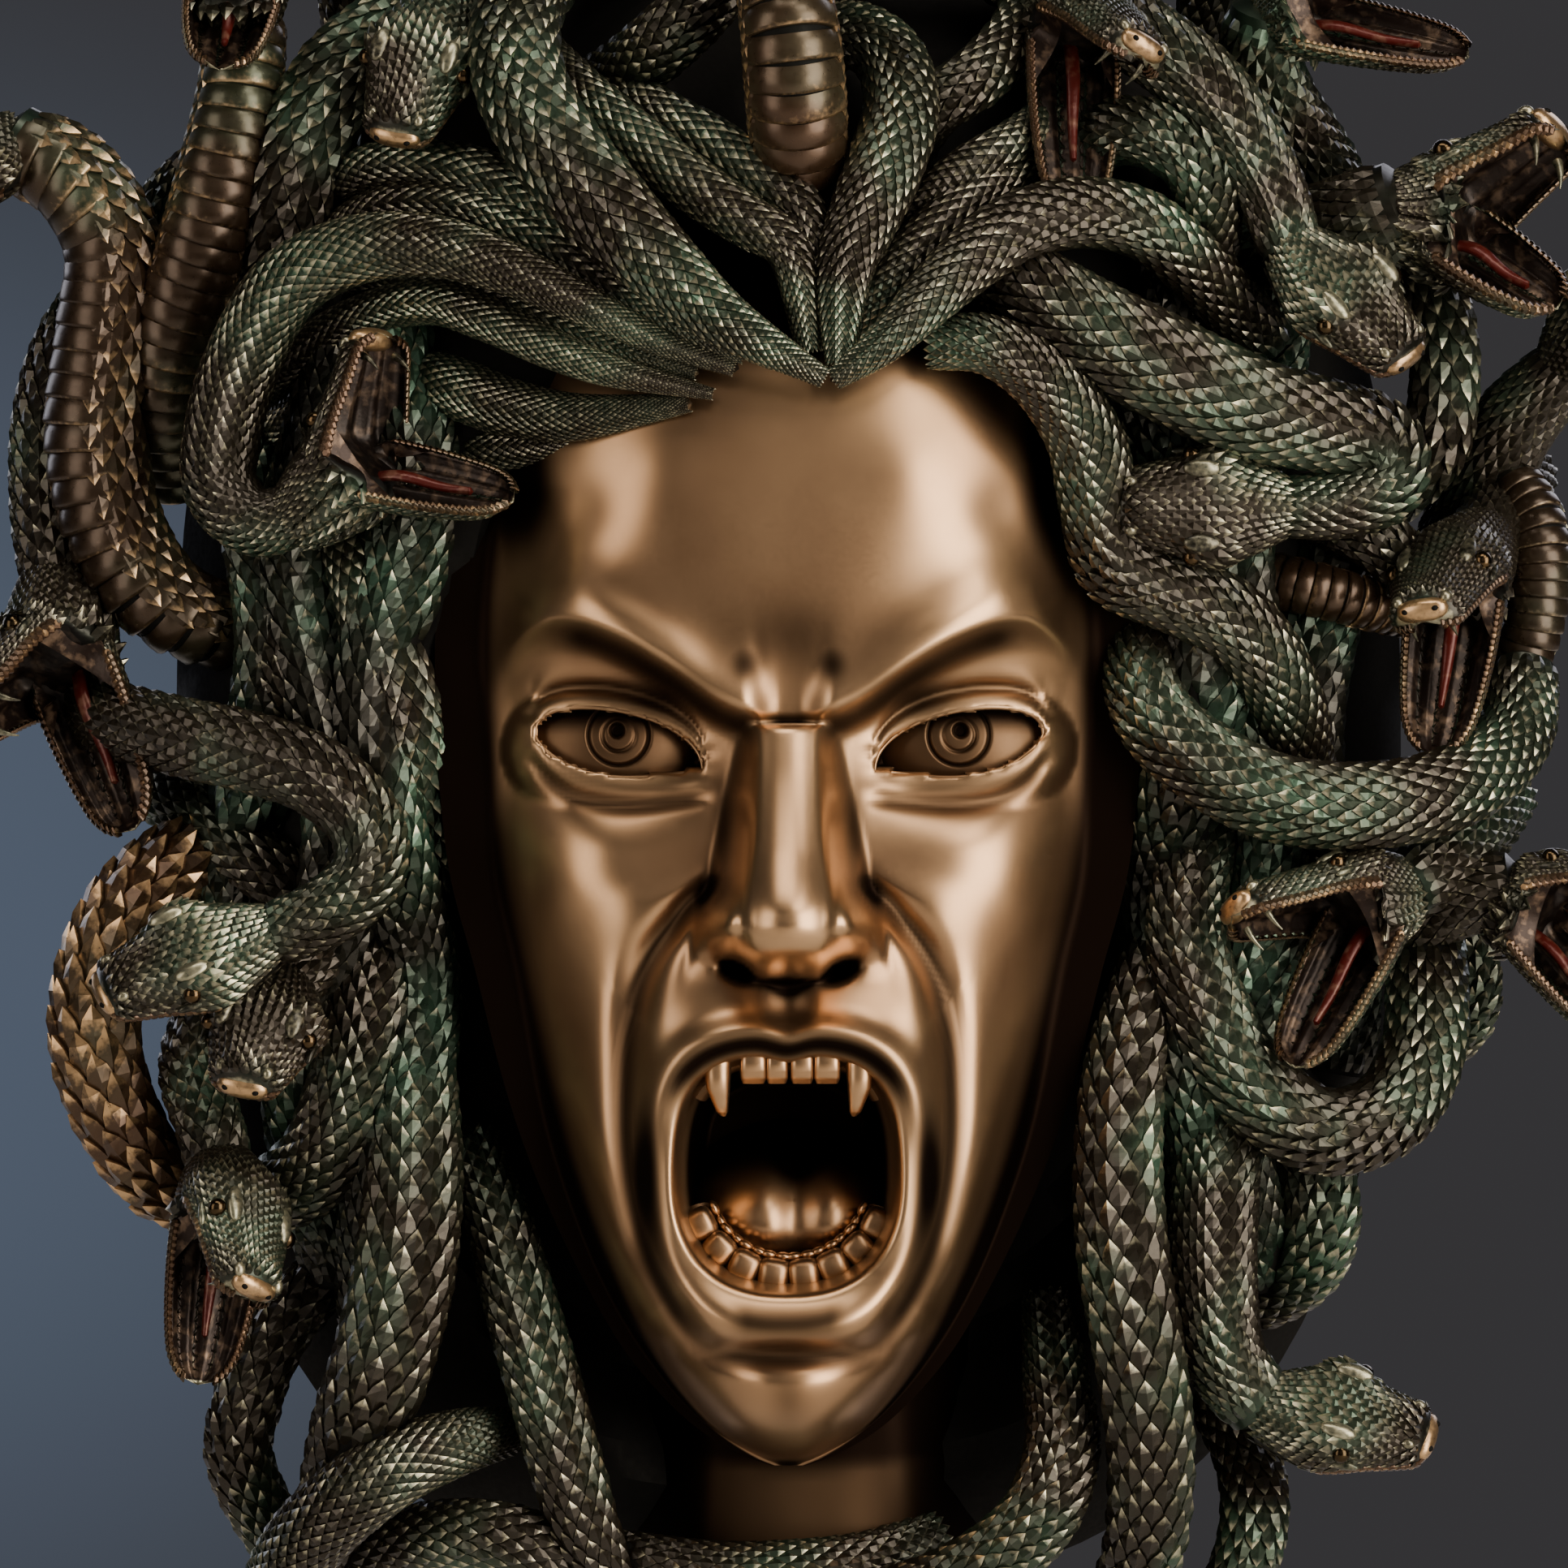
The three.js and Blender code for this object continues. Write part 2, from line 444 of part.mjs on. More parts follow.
// The snakes, from the buried end to the head or tail tip; every route point is [u, w, d]
const SNAKES = [
  { name: 'crown_lock', girth: [2.2, 2.9, 0.6], route: [[-9, 55, 14], [-13.5, 54.5, 20], [-17, 50.5, 25],
    [-17.4, 46, 28], [-15.5, 41.5, 30], [-12, 37.2, 31.5], [-8, 33, 32.5], [-4, 29.5, 33.3], [2, 26, 32.5]] },
  { name: 'crown_lock_inner', girth: [1.4, 1.8, 0.8], route: [[-16, 47.5, 22], [-13, 44.2, 26],
    [-9.5, 41, 28.5], [-6, 38.2, 30], [-2.8, 36, 31], [0, 34, 31.3], [1.3, 28, 31]] },
  { name: 'crown_lock_upper', girth: [1.4, 1.7, 0.8], route: [[-12, 46, 22], [-8.5, 43.3, 25.5],
    [-5, 41.2, 27.5], [-2, 39, 29], [0.8, 36.6, 29.8], [2, 30, 30.5]] },
  { name: 'crown_rear_left', girth: [1.8, 2.2, 1.6], route: [[-14, 44.5, 18], [-10.5, 46, 23], [-7.5, 48.3, 25],
    [-5, 51, 24], [-3, 54.5, 20]] },
  { name: 'parting_left', girth: [1.4, 1.7, 0.6], route: [[-31, 38, 17], [-27, 39.8, 21.5], [-22, 39.8, 24],
    [-17.5, 38.2, 26], [-13, 35.2, 28.5], [-9, 32, 30.5], [-4.5, 28.8, 31.8], [-1, 27, 32]] },
  { name: 'parting_left_lower', girth: [1.2, 1.5, 0.5], route: [[-30, 35.5, 19], [-26, 37.3, 22.5],
    [-21, 37.2, 25], [-16.5, 35.3, 27.5], [-12, 32.3, 29.5], [-7.5, 29.6, 31.3], [-3, 27.3, 32]] },
  { name: 'brow_arc', girth: [0.6, 2.5, 2], fullest: 0.8, route: [[-3.5, 26.6, 31.5], [-8, 28.2, 31.5],
    [-13, 30.6, 31], [-18, 33, 30], [-23, 34.5, 28.5], [-28, 34.2, 27], [-32.3, 32, 25.5], [-34.8, 28, 24],
    [-36.3, 23.5, 23.5], [-36.5, 19, 24], [-34, 16.8, 25], [-31.2, 17.6, 26]],
    head: { hinge: [-26.8, 20.2, 27.5], upper: { aim: [0.2, 0.95, 0.2], length: 8.3 },
      lower: { aim: [0.93, -0.2, 0.3], length: 9.6 } } },
  { name: 'temple_lock', girth: [1.3, 1.5, 0.4], route: [[-34.5, 25.5, 18], [-29, 29.5, 21.5],
    [-23.5, 31, 25], [-19.5, 29.9, 27.5], [-15.5, 28, 29.5], [-11.5, 26.4, 31], [-5, 24.9, 31.8]] },
  { name: 'temple_lock_deep', girth: [1.2, 1.5, 0.5], route: [[-32.5, 31.5, 18], [-27, 32.8, 21.5],
    [-21, 32, 25], [-16, 30.2, 27.7], [-11, 28, 29.8], [-6, 26.3, 31]] },
  { name: 'temple_veil', girth: [1.5, 2, 0.6], route: [[-35, 21.5, 15], [-29.5, 25, 18.5],
    [-23.5, 26, 22.5], [-18, 24.2, 26], [-13.5, 23.5, 28.3], [-6.5, 24.3, 30.8]] },
  { name: 'temple_veil_lower', girth: [1.2, 1.6, 0.5], route: [[-30.5, 21, 13.5], [-25, 21.5, 18],
    [-20, 21.5, 22.5], [-16, 21.8, 25.5], [-12, 22.6, 28]] },
  { name: 'crown_cobra', girth: [2.6, 3.1, 2.6], route: [[0.5, 38, 24], [0.6, 41, 28.5], [0.4, 44.5, 31],
    [0, 48.5, 31.8], [-0.6, 52.5, 30.5], [-0.8, 55.5, 30]],
    head: { snout: [-0.8, 58.7, 38.5], up: [0, 0.94, -0.35] } },
  { name: 'parting_centre', girth: [1.8, 2.4, 0.8], route: [[1, 46, 20], [3.5, 48.3, 23], [6.3, 46.8, 25.5],
    [7.2, 43.5, 27.5], [6.3, 40, 29], [4.9, 36.5, 30.2], [3.6, 33, 31.2], [3.2, 27, 32]] },
  { name: 'parting_right', girth: [0.7, 2.2, 1.9], route: [[3, 25.9, 32.3], [6, 28, 32.8], [9, 31, 32.3],
    [12, 33.8, 31], [15.2, 35.8, 29.5], [19, 36.6, 28.3], [22.8, 35.8, 27], [26, 33.4, 25.5], [31, 28.5, 21]] },
  { name: 'crown_right_thin', girth: [1, 1.5, 1.2], route: [[7, 35.5, 26], [9, 37.6, 27], [11.7, 39.6, 27],
    [14.5, 41.3, 26], [17, 43.5, 23]] },
  { name: 'crown_right_rear', girth: [1.5, 1.9, 1.6], route: [[7.5, 40.5, 22], [9.5, 43.6, 24.5],
    [12.5, 45.8, 24.5], [15, 49, 22], [15.5, 52.5, 18]] },
  { name: 'parting_right_deep', girth: [1, 1.7, 1.4], route: [[4, 29, 29], [6.8, 32.5, 29.3], [9.5, 35.5, 28.5],
    [13, 38.4, 26.5], [16.5, 40.5, 24]] },
  { name: 'temple_right_arch', girth: [1.8, 2.2, 1.8], route: [[18, 40.5, 21], [21.5, 42, 24.5],
    [24.8, 41, 25.5], [26.8, 38.3, 25.3], [27, 31.5, 21.5]] },
  { name: 'right_shoulder', girth: [2.4, 2.5, 2], route: [[20, 50.5, 20], [23.5, 47.6, 24], [26.8, 44.8, 25],
    [29.3, 41.3, 25.5], [31.2, 37.6, 25.5], [32.3, 34.2, 26]],
    head: { snout: [39.6, 27, 28.5], up: [0.3, 0.45, 0.85] } },
  { name: 'right_crown', girth: [2, 2.4, 2.6], route: [[33.5, 36, 10], [35, 39.2, 13.5], [33.5, 41.8, 16],
    [31.6, 44.6, 18], [30.6, 47.5, 19.5], [31, 50, 20.5]],
    head: { hinge: [33, 49.5, 21.5], upper: { aim: [0.75, 0.62, 0.2], length: 9 },
      lower: { aim: [0.97, -0.22, 0.15], length: 11 } } },
  { name: 'right_striker', girth: [2.8, 3.6, 3.3], route: [[28.5, 33, 13], [33.5, 34.8, 18.5], [36.8, 36, 21.5],
    [39.6, 37.2, 22.5]],
    head: { hinge: [43, 35.4, 23.2], upper: { aim: [0.8, 0.55, 0.25], length: 9 },
      lower: { aim: [0.8, -0.57, 0.25], length: 8 }, scale: 1.2 } },
  { name: 'right_fall', girth: [1.8, 2.1, 1.7], route: [[38.5, 37.5, 14], [41, 34, 16], [42.3, 30, 17],
    [42.5, 25.5, 17.2], [41.5, 21.5, 17], [37, 16.5, 12.5]] },
  { name: 'right_band', girth: [2.2, 3.2, 1.9], fullest: 0.4, route: [[13, 33.5, 26], [15.8, 31.5, 28.5],
    [20, 28.8, 29], [25, 26.2, 28.5], [30, 24, 27.5], [34.5, 23, 26], [38, 21.9, 24.5], [38.3, 19.3, 24.5],
    [35, 18, 25.3], [31.5, 17.8, 26]],
    head: { snout: [20.6, 17.8, 28], up: [0.35, 0, 0.93] } },
  { name: 'cheek_right', girth: [1.6, 2.6, 2], route: [[9.5, 28.2, 30], [13, 28, 30.5], [16.5, 25.7, 29.8],
    [19, 22, 28.3], [20, 17.8, 27], [21.3, 14, 26], [25, 12.3, 25.5], [29, 10, 25], [31.8, 6, 23.5],
    [33, 1.5, 21], [33, -3, 17]] },
  { name: 'jaw_right_swag', girth: [2.2, 2.7, 2.3], route: [[24.5, 11, 20], [22.8, 7.5, 23], [24, 3.8, 25],
    [27.5, 0.9, 26], [31.5, -0.9, 26.5], [36, -1.4, 26.3], [40.5, -0.9, 25], [44.5, 0.7, 22.8],
    [47, 3.5, 20.3], [47.6, 7.5, 18]] },
  { name: 'far_right_ringed', girth: [1.8, 2, 1.8], route: [[46, 5.5, 15], [48, 9, 16], [48.8, 13, 16.5],
    [48.6, 17, 16], [47, 20, 14]] },
  { name: 'far_right_rear', girth: [2.4, 2.8, 2.3], route: [[43.5, 15.5, 9], [45.3, 19.5, 12], [47.3, 23.5, 14],
    [50.5, 27, 15.5]], head: { snout: [55.5, 33.8, 18.7], up: [-0.6, 0.5, 0.6] } },
  { name: 'right_filler', girth: [1.8, 2, 1.8], route: [[33, 17.5, 17], [36.5, 16.6, 20], [39.2, 14.8, 20.5],
    [41, 12.2, 18]] },
  { name: 'right_ringed', girth: [1.6, 1.8, 1.6], route: [[29, 13.8, 18], [32.5, 12.9, 20.5],
    [36.5, 11.9, 20.5], [40, 11, 18]] },
  { name: 'right_hanger', girth: [2.2, 2.4, 2.2], route: [[48, 20, 8], [46.5, 18, 13], [45, 15.8, 18]],
    head: { hinge: [43.2, 12.5, 21], upper: { aim: [-0.25, -0.45, 0.85], length: 8 },
      lower: { aim: [-0.15, -0.95, 0.3], length: 11 } } },
  { name: 'jaw_right_biter', girth: [2, 2.3, 2.3], route: [[46.5, -1, 14], [44.5, -3.2, 18], [42, -5.2, 21.5],
    [39.5, -6.9, 24]],
    head: { hinge: [37.3, -8.5, 25], upper: { aim: [-0.8, -0.15, 0.55], length: 9.8 },
      lower: { aim: [-0.45, -0.86, 0.28], length: 11 } } },
  { name: 'far_right_biter', girth: [1.9, 2.3, 2.4], route: [[38, -9.8, 16], [41, -8.6, 19], [44, -7.3, 20.5],
    [46.8, -6.6, 21]],
    head: { hinge: [48, -9, 22], upper: { aim: [0.85, 0.15, 0.4], length: 8.5 },
      lower: { aim: [0.6, -0.75, 0.25], length: 10 } } },
  { name: 'right_loop', girth: [2.2, 2.7, 2.5], route: [[27.5, -2, 19], [26, -6, 22], [25.8, -10.5, 23],
    [27.2, -15, 23.5], [30, -19.5, 23.8], [34.5, -22.3, 23.5], [38.8, -21, 22.5], [41, -17, 21],
    [41.3, -12.5, 19], [41, -8, 16]] },
  { name: 'right_sliver', girth: [1.3, 1.5, 1.3], route: [[39, -6, 9], [43.6, -8.6, 11], [44.9, -12.5, 12.5],
    [43.6, -16.5, 12.5], [36.5, -21, 9.5]] },
  { name: 'right_lower_loop', girth: [2.2, 2.5, 2.2], route: [[31, -21.5, 12.5], [33.8, -25, 16],
    [34.4, -28.5, 17], [32.8, -31.8, 16], [28, -34.5, 11.5]] },
  { name: 'jaw_right_fall', girth: [1.8, 2.7, 2.3], route: [[24.8, -9, 18], [23, -13.5, 21.5], [21.6, -19, 24],
    [21.2, -25, 25], [21.6, -31, 25.3], [22.6, -37, 25.3], [23.3, -43, 24], [23, -49, 21], [21.5, -54.5, 16]] },
  { name: 'right_low_crawler', girth: [2.2, 2.8, 2.4], route: [[29.5, -18, 17], [28, -22.5, 20.5],
    [27.4, -27.5, 22.5], [27.4, -32.5, 23], [28.2, -37, 22.8], [30.5, -40.3, 22.3]],
    head: { snout: [41.3, -42.2, 24.5], up: [0.1, 0.6, 0.8] } },
  { name: 'right_foot', girth: [1.8, 2.1, 1.6], route: [[26.5, -38, 10.5], [29.5, -43, 15.5], [30.2, -47.5, 17],
    [29, -52, 15.5], [26, -55.5, 12]] },
  { name: 'neck_right', girth: [1.5, 2.4, 2.2], route: [[16.8, -34, 17], [17.3, -38.5, 20], [17.6, -43, 22.5],
    [16, -47.2, 24], [12.8, -50.2, 24], [8.5, -52.3, 22.5], [3, -53.5, 20]] },
  { name: 'neck_ring', girth: [1.6, 2, 1.6], route: [[9, -49, 17], [5, -50.3, 20], [0, -50.9, 21.5],
    [-5, -50.9, 21.5], [-10, -50.2, 20.5], [-14, -49.5, 18]] },
  { name: 'neck_left', girth: [1.8, 2.3, 1.9], route: [[-20.5, -24, 16], [-18.6, -29, 20], [-17, -34.5, 22.5],
    [-15.4, -40, 23.3], [-14, -45, 23], [-12.3, -50, 21.5], [-8.5, -54.5, 18]] },
  { name: 'left_swag_low', girth: [1.8, 2.2, 1.7], route: [[-31, -52, 13], [-27, -49.6, 18], [-22, -48.5, 21.5],
    [-17.5, -48.9, 22], [-13, -51, 20], [-9, -54, 17]] },
  { name: 'jaw_left_fall', girth: [2.2, 3.1, 2.2], route: [[-24.5, -14.5, 18], [-24.2, -20, 21],
    [-24.2, -26, 23], [-24.9, -32, 24], [-26.3, -37.5, 24], [-28, -42.5, 22.5], [-30.5, -52, 15]] },
  { name: 'left_outer_low', girth: [1.6, 2.1, 1.8], route: [[-27.5, -28.5, 14], [-30.5, -32.3, 16],
    [-33.5, -36, 17], [-35.2, -40.5, 17.3], [-35.3, -45, 16.5], [-31, -53, 12]] },
  { name: 'left_fine_scaled', girth: [1.6, 2.6, 2.4], route: [[-18.5, -42, 19], [-21.5, -42.5, 22.5],
    [-25, -43.8, 24.5], [-28.3, -46, 25], [-31.2, -48.9, 23], [-33, -52.5, 19], [-33, -56, 14]] },
  { name: 'left_inner_coil', girth: [2.2, 2.9, 2.2], route: [[-27, -6.5, 15], [-26.8, -11, 19],
    [-27.5, -15.5, 21], [-28.3, -20, 21.5], [-30.3, -24.3, 20.5], [-33.6, -26.7, 18], [-37, -26.5, 14]] },
  { name: 'left_outer_coil', girth: [2, 2.7, 2.2], route: [[-36, -3.8, 15], [-39.5, -5, 17.5],
    [-42.8, -8.3, 18], [-44.6, -12.8, 17.8], [-44.8, -17.5, 17.5], [-43.3, -22, 17], [-40.7, -25.7, 16], [-37.5, -27.5, 14]] },
  { name: 'left_s_curve', girth: [2.2, 2.5, 2], route: [[-46, 5, 13], [-43, 4, 18], [-39, 3, 21.5],
    [-34.5, 2, 24], [-30.2, 0.4, 26], [-27.2, -2.6, 27], [-27.2, -6, 27.5], [-30, -8.4, 27.8], [-33.5, -9.8, 27]],
    head: { snout: [-44, -13.6, 29], up: [-0.1, 0.6, 0.8] } },
  { name: 'left_under', girth: [1.8, 2.2, 1.8], route: [[-42, 0, 12], [-38.5, -2, 16], [-35, -4.6, 18.5],
    [-31.8, -6.8, 19.5], [-29, -10, 18]] },
  { name: 'left_small', girth: [2, 2.1, 2.1], route: [[-29, -9, 20], [-31, -11.5, 22.5], [-32.6, -13, 24]],
    head: { snout: [-35, -19.7, 29.5], up: [0, 0.7, 0.7] } },
  { name: 'left_low_biter', girth: [2, 2.1, 2.1], route: [[-36.5, -12, 11], [-38.6, -18, 17.5],
    [-37.3, -22.5, 21], [-36.6, -25, 22]],
    head: { hinge: [-36.6, -28, 24], upper: { aim: [0.1, -0.8, 0.6], length: 7 },
      lower: { aim: [-0.13, -0.98, 0], length: 10.5 } } },
  { name: 'cheek_left', girth: [2.1, 2.6, 2], route: [[-29, 18, 20], [-27.7, 14.5, 22], [-26.4, 10.5, 23],
    [-25.3, 6, 23], [-24.3, 1.5, 21.5], [-24, -3.5, 19], [-24.3, -8, 16]] },
  { name: 'cheek_left_ringed', girth: [1.7, 1.9, 1.6], route: [[-22.5, 19, 19], [-21.8, 15, 20.5],
    [-21.7, 11, 20.5], [-22.3, 7, 19], [-23, 3, 16]] },
  { name: 'left_pillar', girth: [1.9, 2.2, 1.9], route: [[-34, 14.5, 16], [-33, 10.8, 19], [-32.2, 7, 20.5],
    [-30.7, 3.6, 20], [-29, 0.5, 17]] },
  { name: 'far_left_arch', girth: [2.4, 3.2, 2.8], route: [[-33.5, 10.5, 12], [-37.5, 10.4, 15.5],
    [-41.3, 12.6, 17], [-44, 17.2, 17], [-45, 23, 17], [-44.3, 29.5, 17], [-44, 35, 17.3], [-46.5, 39.3, 17.5],
    [-50.3, 41.6, 17]], head: { snout: [-57.3, 36.9, 20.8], up: [-0.3, 0.8, 0.5] } },
  { name: 'far_left_rear', girth: [2, 2.3, 2.3], route: [[-43, 34, 8], [-46.5, 29.5, 11], [-48.2, 24, 12.5],
    [-48.3, 18, 13.5], [-47.5, 12.8, 15]],
    head: { hinge: [-46.6, 7.5, 17.5], upper: { aim: [-0.55, -0.5, 0.6], length: 7.5 },
      lower: { aim: [0.36, -0.9, 0.3], length: 11.5 }, scale: 1.15 } },
  { name: 'left_cobra', girth: [2.2, 2.8, 2.6], route: [[-40, 20, 12], [-40.6, 25, 15.5], [-39.7, 30, 17.5],
    [-38, 35, 18.8], [-36.6, 40, 19.5], [-35.5, 45, 19.5], [-35.2, 49.5, 18.5]],
    head: { hinge: [-35.8, 51.5, 21.5], upper: { aim: [0, 0.6, 0.8], length: 8 },
      lower: { aim: [-0.1, -0.75, 0.65], length: 7 } } },
  { name: 'left_rear_bridge', girth: [2, 2.2, 1.8], route: [[-43, 33, 8], [-41.3, 36.5, 10.5],
    [-38.5, 39.5, 11.5], [-35, 42, 10]] },
  { name: 'crown_back_left', girth: [2.2, 2.9, 2.2], route: [[-34, 30, 14], [-32.6, 36, 18.5],
    [-31.3, 41.3, 20], [-28.8, 46, 20.3], [-25, 49.4, 19.5], [-20.5, 52.5, 16]] },
  { name: 'crown_left_head', girth: [2, 2.2, 2.2], route: [[-23.5, 56.5, 14], [-22.3, 53.5, 19],
    [-22, 50.5, 22.5]],
    head: { snout: [-25.3, 41.2, 27.5], up: [-0.1, 0.6, 0.8] } },
  { name: 'crown_top', girth: [2, 2.5, 2], route: [[-15, 51, 12], [-10, 56, 15.5], [-4, 58.3, 16.5],
    [3, 57.8, 16], [8, 54, 14], [9.5, 49.5, 12]] },
  { name: 'crown_top_front', girth: [1.8, 2.2, 1.8], route: [[2, 51.5, 18], [6, 53.6, 20.5], [11, 54, 20.5],
    [15, 51.5, 18]] },
  { name: 'crown_right_head', girth: [2.2, 2.4, 2.3], route: [[19.5, 57, 13], [18.6, 54, 17.5], [18, 51.5, 22]],
    head: { hinge: [18.3, 48, 24.5], upper: { aim: [0.35, -0.35, 0.85], length: 8.5 },
      lower: { aim: [0, -0.95, 0.3], length: 11.5 } } },
  { name: 'crown_top_left', girth: [1.8, 2.2, 1.7], route: [[-27, 45, 9], [-28.5, 52, 11], [-24.5, 57.3, 12],
    [-18, 59.5, 12.5], [-11, 55.5, 9]] },
  { name: 'crown_top_right', girth: [1.8, 2.2, 1.8], route: [[12, 55, 10], [17, 59, 12], [23, 58.5, 12.5],
    [27.5, 54, 12], [26.5, 46, 10]] },
];

function snakeSolids({ head, ...body }) {
  const solids = [coil(body)];
  const neckEnd = body.route[body.route.length - 1];
  if (head) solids.push(head.hinge ? openHead(neckEnd, head) : shutHead(neckEnd, head));
  return solids;
}

// Teeth, fangs and tongue
const UPPER_TEETH = { count: 4, halfSpan: 3, top: -15.6, foot: -19, depth: 33.2, thickness: 1.3, gap: 0.12 };
const FANGS = { u: 4.5, root: -15.4, tip: -21, radius: 1.05, depth: 33.1 };
const LOWER_TEETH = { count: 8, halfSpan: 5.9, w: -26.8, sag: 4.4, depth: 27.5,
  halfWidth: 1.05, halfHeight: 1.05, halfDepth: 5.2 };
const TONGUE = { u: 0, w: -26.3, depth: 22.6, halfWidth: 5.2, halfHeight: 4.6, halfDepth: 4.8 };

const boxSolid = (size, at) => toSolid(new THREE.BoxGeometry(size.x, size.y, size.z).translate(at.x, at.y, at.z));

function mouthSolids() {
  const solids = [];
  const pitch = (2 * UPPER_TEETH.halfSpan) / UPPER_TEETH.count;
  for (let k = 0; k < UPPER_TEETH.count; k += 1) {
    const u = -UPPER_TEETH.halfSpan + (k + 0.5) * pitch;
    const size = new THREE.Vector3(pitch - UPPER_TEETH.gap, UPPER_TEETH.thickness,
      UPPER_TEETH.top - UPPER_TEETH.foot).multiplyScalar(UNIT);
    solids.push(boxSolid(size, place(u, (UPPER_TEETH.top + UPPER_TEETH.foot) / 2, UPPER_TEETH.depth)));
  }
  for (const side of [-1, 1]) {
    const fang = new THREE.ConeGeometry(FANGS.radius * UNIT, (FANGS.root - FANGS.tip) * UNIT, 6);
    fang.rotateX(-Math.PI / 2);
    const middle = place(side * FANGS.u, (FANGS.root + FANGS.tip) / 2, FANGS.depth);
    solids.push(toSolid(fang.translate(middle.x, middle.y, middle.z)));
  }
  for (let k = 0; k < LOWER_TEETH.count; k += 1) {
    const share = (2 * k) / (LOWER_TEETH.count - 1) - 1;
    solids.push(ovoid({
      ...LOWER_TEETH,
      u: share * LOWER_TEETH.halfSpan,
      w: LOWER_TEETH.w - LOWER_TEETH.sag * (1 - share * share),
      depth: LOWER_TEETH.depth - 2 * share * share,
    }, 6, 4));
  }
  solids.push(ovoid(TONGUE, 12, 7));
  return solids;
}

// The hanging recess: a round entry and a narrower slot rising from it, open at the back
function keyholeSolid() {
  const bore = (diameter, z) => {
    const cylinder = new THREE.CylinderGeometry(diameter / 2, diameter / 2, 2 * KEYHOLE_DEPTH, 16);
    return toSolid(cylinder.translate(0, 0, z));
  };
  const slot = new THREE.Vector3(KEYHOLE_SLOT, 2 * KEYHOLE_DEPTH, KEYHOLE_RISE);
  return bore(KEYHOLE_ENTRY, KEYHOLE_HEIGHT)
    .add(bore(KEYHOLE_SLOT, KEYHOLE_HEIGHT + KEYHOLE_RISE))
    .add(boxSolid(slot, new THREE.Vector3(0, 0, KEYHOLE_HEIGHT + KEYHOLE_RISE / 2)));
}

const thinned = (solid, tolerance) => solid.asOriginal().simplify(tolerance);

// Everything in front of the wall plane, as one body with no closed pockets left inside
function castInOne(headParts, nestParts) {
  const room = new THREE.Vector3(2, 1, 2).multiplyScalar(MASK_HEIGHT);
  const front = boxSolid(room, new THREE.Vector3(0, -MASK_HEIGHT / 2, 0));
  const head = thinned(wasm.Manifold.union(headParts), FACE_TOLERANCE);
  const nest = thinned(wasm.Manifold.union(nestParts).intersect(front), COIL_TOLERANCE);
  const bodies = head.add(nest).decompose().sort((a, b) => b.volume() - a.volume());
  return thinned(bodies[0], JOIN_TOLERANCE).subtract(keyholeSolid());
}

function toGeometry(solid) {
  const { vertProperties, triVerts } = solid.getMesh();
  const geometry = new THREE.BufferGeometry();
  geometry.setAttribute('position', new THREE.BufferAttribute(new Float32Array(vertProperties), 3));
  geometry.setIndex(new THREE.BufferAttribute(new Uint32Array(triVerts), 1));
  geometry.computeVertexNormals();
  return geometry;
}

const bronze = new THREE.MeshStandardMaterial({ color: '#5a4630', roughness: 0.4, metalness: 1 });
const headParts = [faceSolid(), ...mouthSolids()];
const nestParts = [coreSolid(), neckSolid(), ...SNAKES.flatMap(snakeSolids)];

const mask = new THREE.Mesh(toGeometry(castInOne(headParts, nestParts)), bronze);
mask.name = 'gorgon_mask';

const model = new THREE.Group();
model.add(mask);

export default model;
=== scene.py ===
"""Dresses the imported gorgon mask: a polished bronze face in a nest of patinated, scaled snakes.

Metres, +Z up, the back flat on y = 0 and the face towards -Y. The carving is laid out in units of
its own height, as the cast body is: u to the right, w up, d out from the wall.
"""

import json
import logging
import math
from dataclasses import dataclass, field
from enum import Enum

import bmesh
import bpy
import numpy as np
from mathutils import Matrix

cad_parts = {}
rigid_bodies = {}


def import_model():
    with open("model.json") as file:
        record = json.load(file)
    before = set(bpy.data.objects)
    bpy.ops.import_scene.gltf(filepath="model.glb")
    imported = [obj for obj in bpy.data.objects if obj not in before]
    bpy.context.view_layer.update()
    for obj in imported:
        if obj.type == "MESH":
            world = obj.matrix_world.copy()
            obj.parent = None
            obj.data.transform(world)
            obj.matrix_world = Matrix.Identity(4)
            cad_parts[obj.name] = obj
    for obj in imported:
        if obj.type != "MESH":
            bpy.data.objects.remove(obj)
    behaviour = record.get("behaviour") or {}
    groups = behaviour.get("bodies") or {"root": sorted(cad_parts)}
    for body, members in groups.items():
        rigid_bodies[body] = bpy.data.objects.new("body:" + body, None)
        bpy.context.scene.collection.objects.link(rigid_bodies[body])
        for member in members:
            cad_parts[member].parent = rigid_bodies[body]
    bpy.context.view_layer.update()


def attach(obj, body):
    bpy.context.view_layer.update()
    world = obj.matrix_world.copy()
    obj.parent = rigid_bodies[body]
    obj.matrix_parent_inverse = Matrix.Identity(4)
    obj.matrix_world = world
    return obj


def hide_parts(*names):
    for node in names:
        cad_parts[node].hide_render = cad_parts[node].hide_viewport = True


UNIT = 0.358 / 119.4
NODE = "gorgon_mask"
LOG = logging.getLogger("gorgon_mask")
Vec = tuple[float, float, float]
Array = np.ndarray


class Region(Enum):
    """The parts of the nest that are made as pieces of their own."""

    CROWN = "crown"
    LEFT = "left"
    RIGHT = "right"
    DEEP = "deep"


class Plate(Enum):
    """The kinds of scale that cover a snake."""

    LEAF = 0
    BEAD = 1
    BAND = 2
    FINE = 3


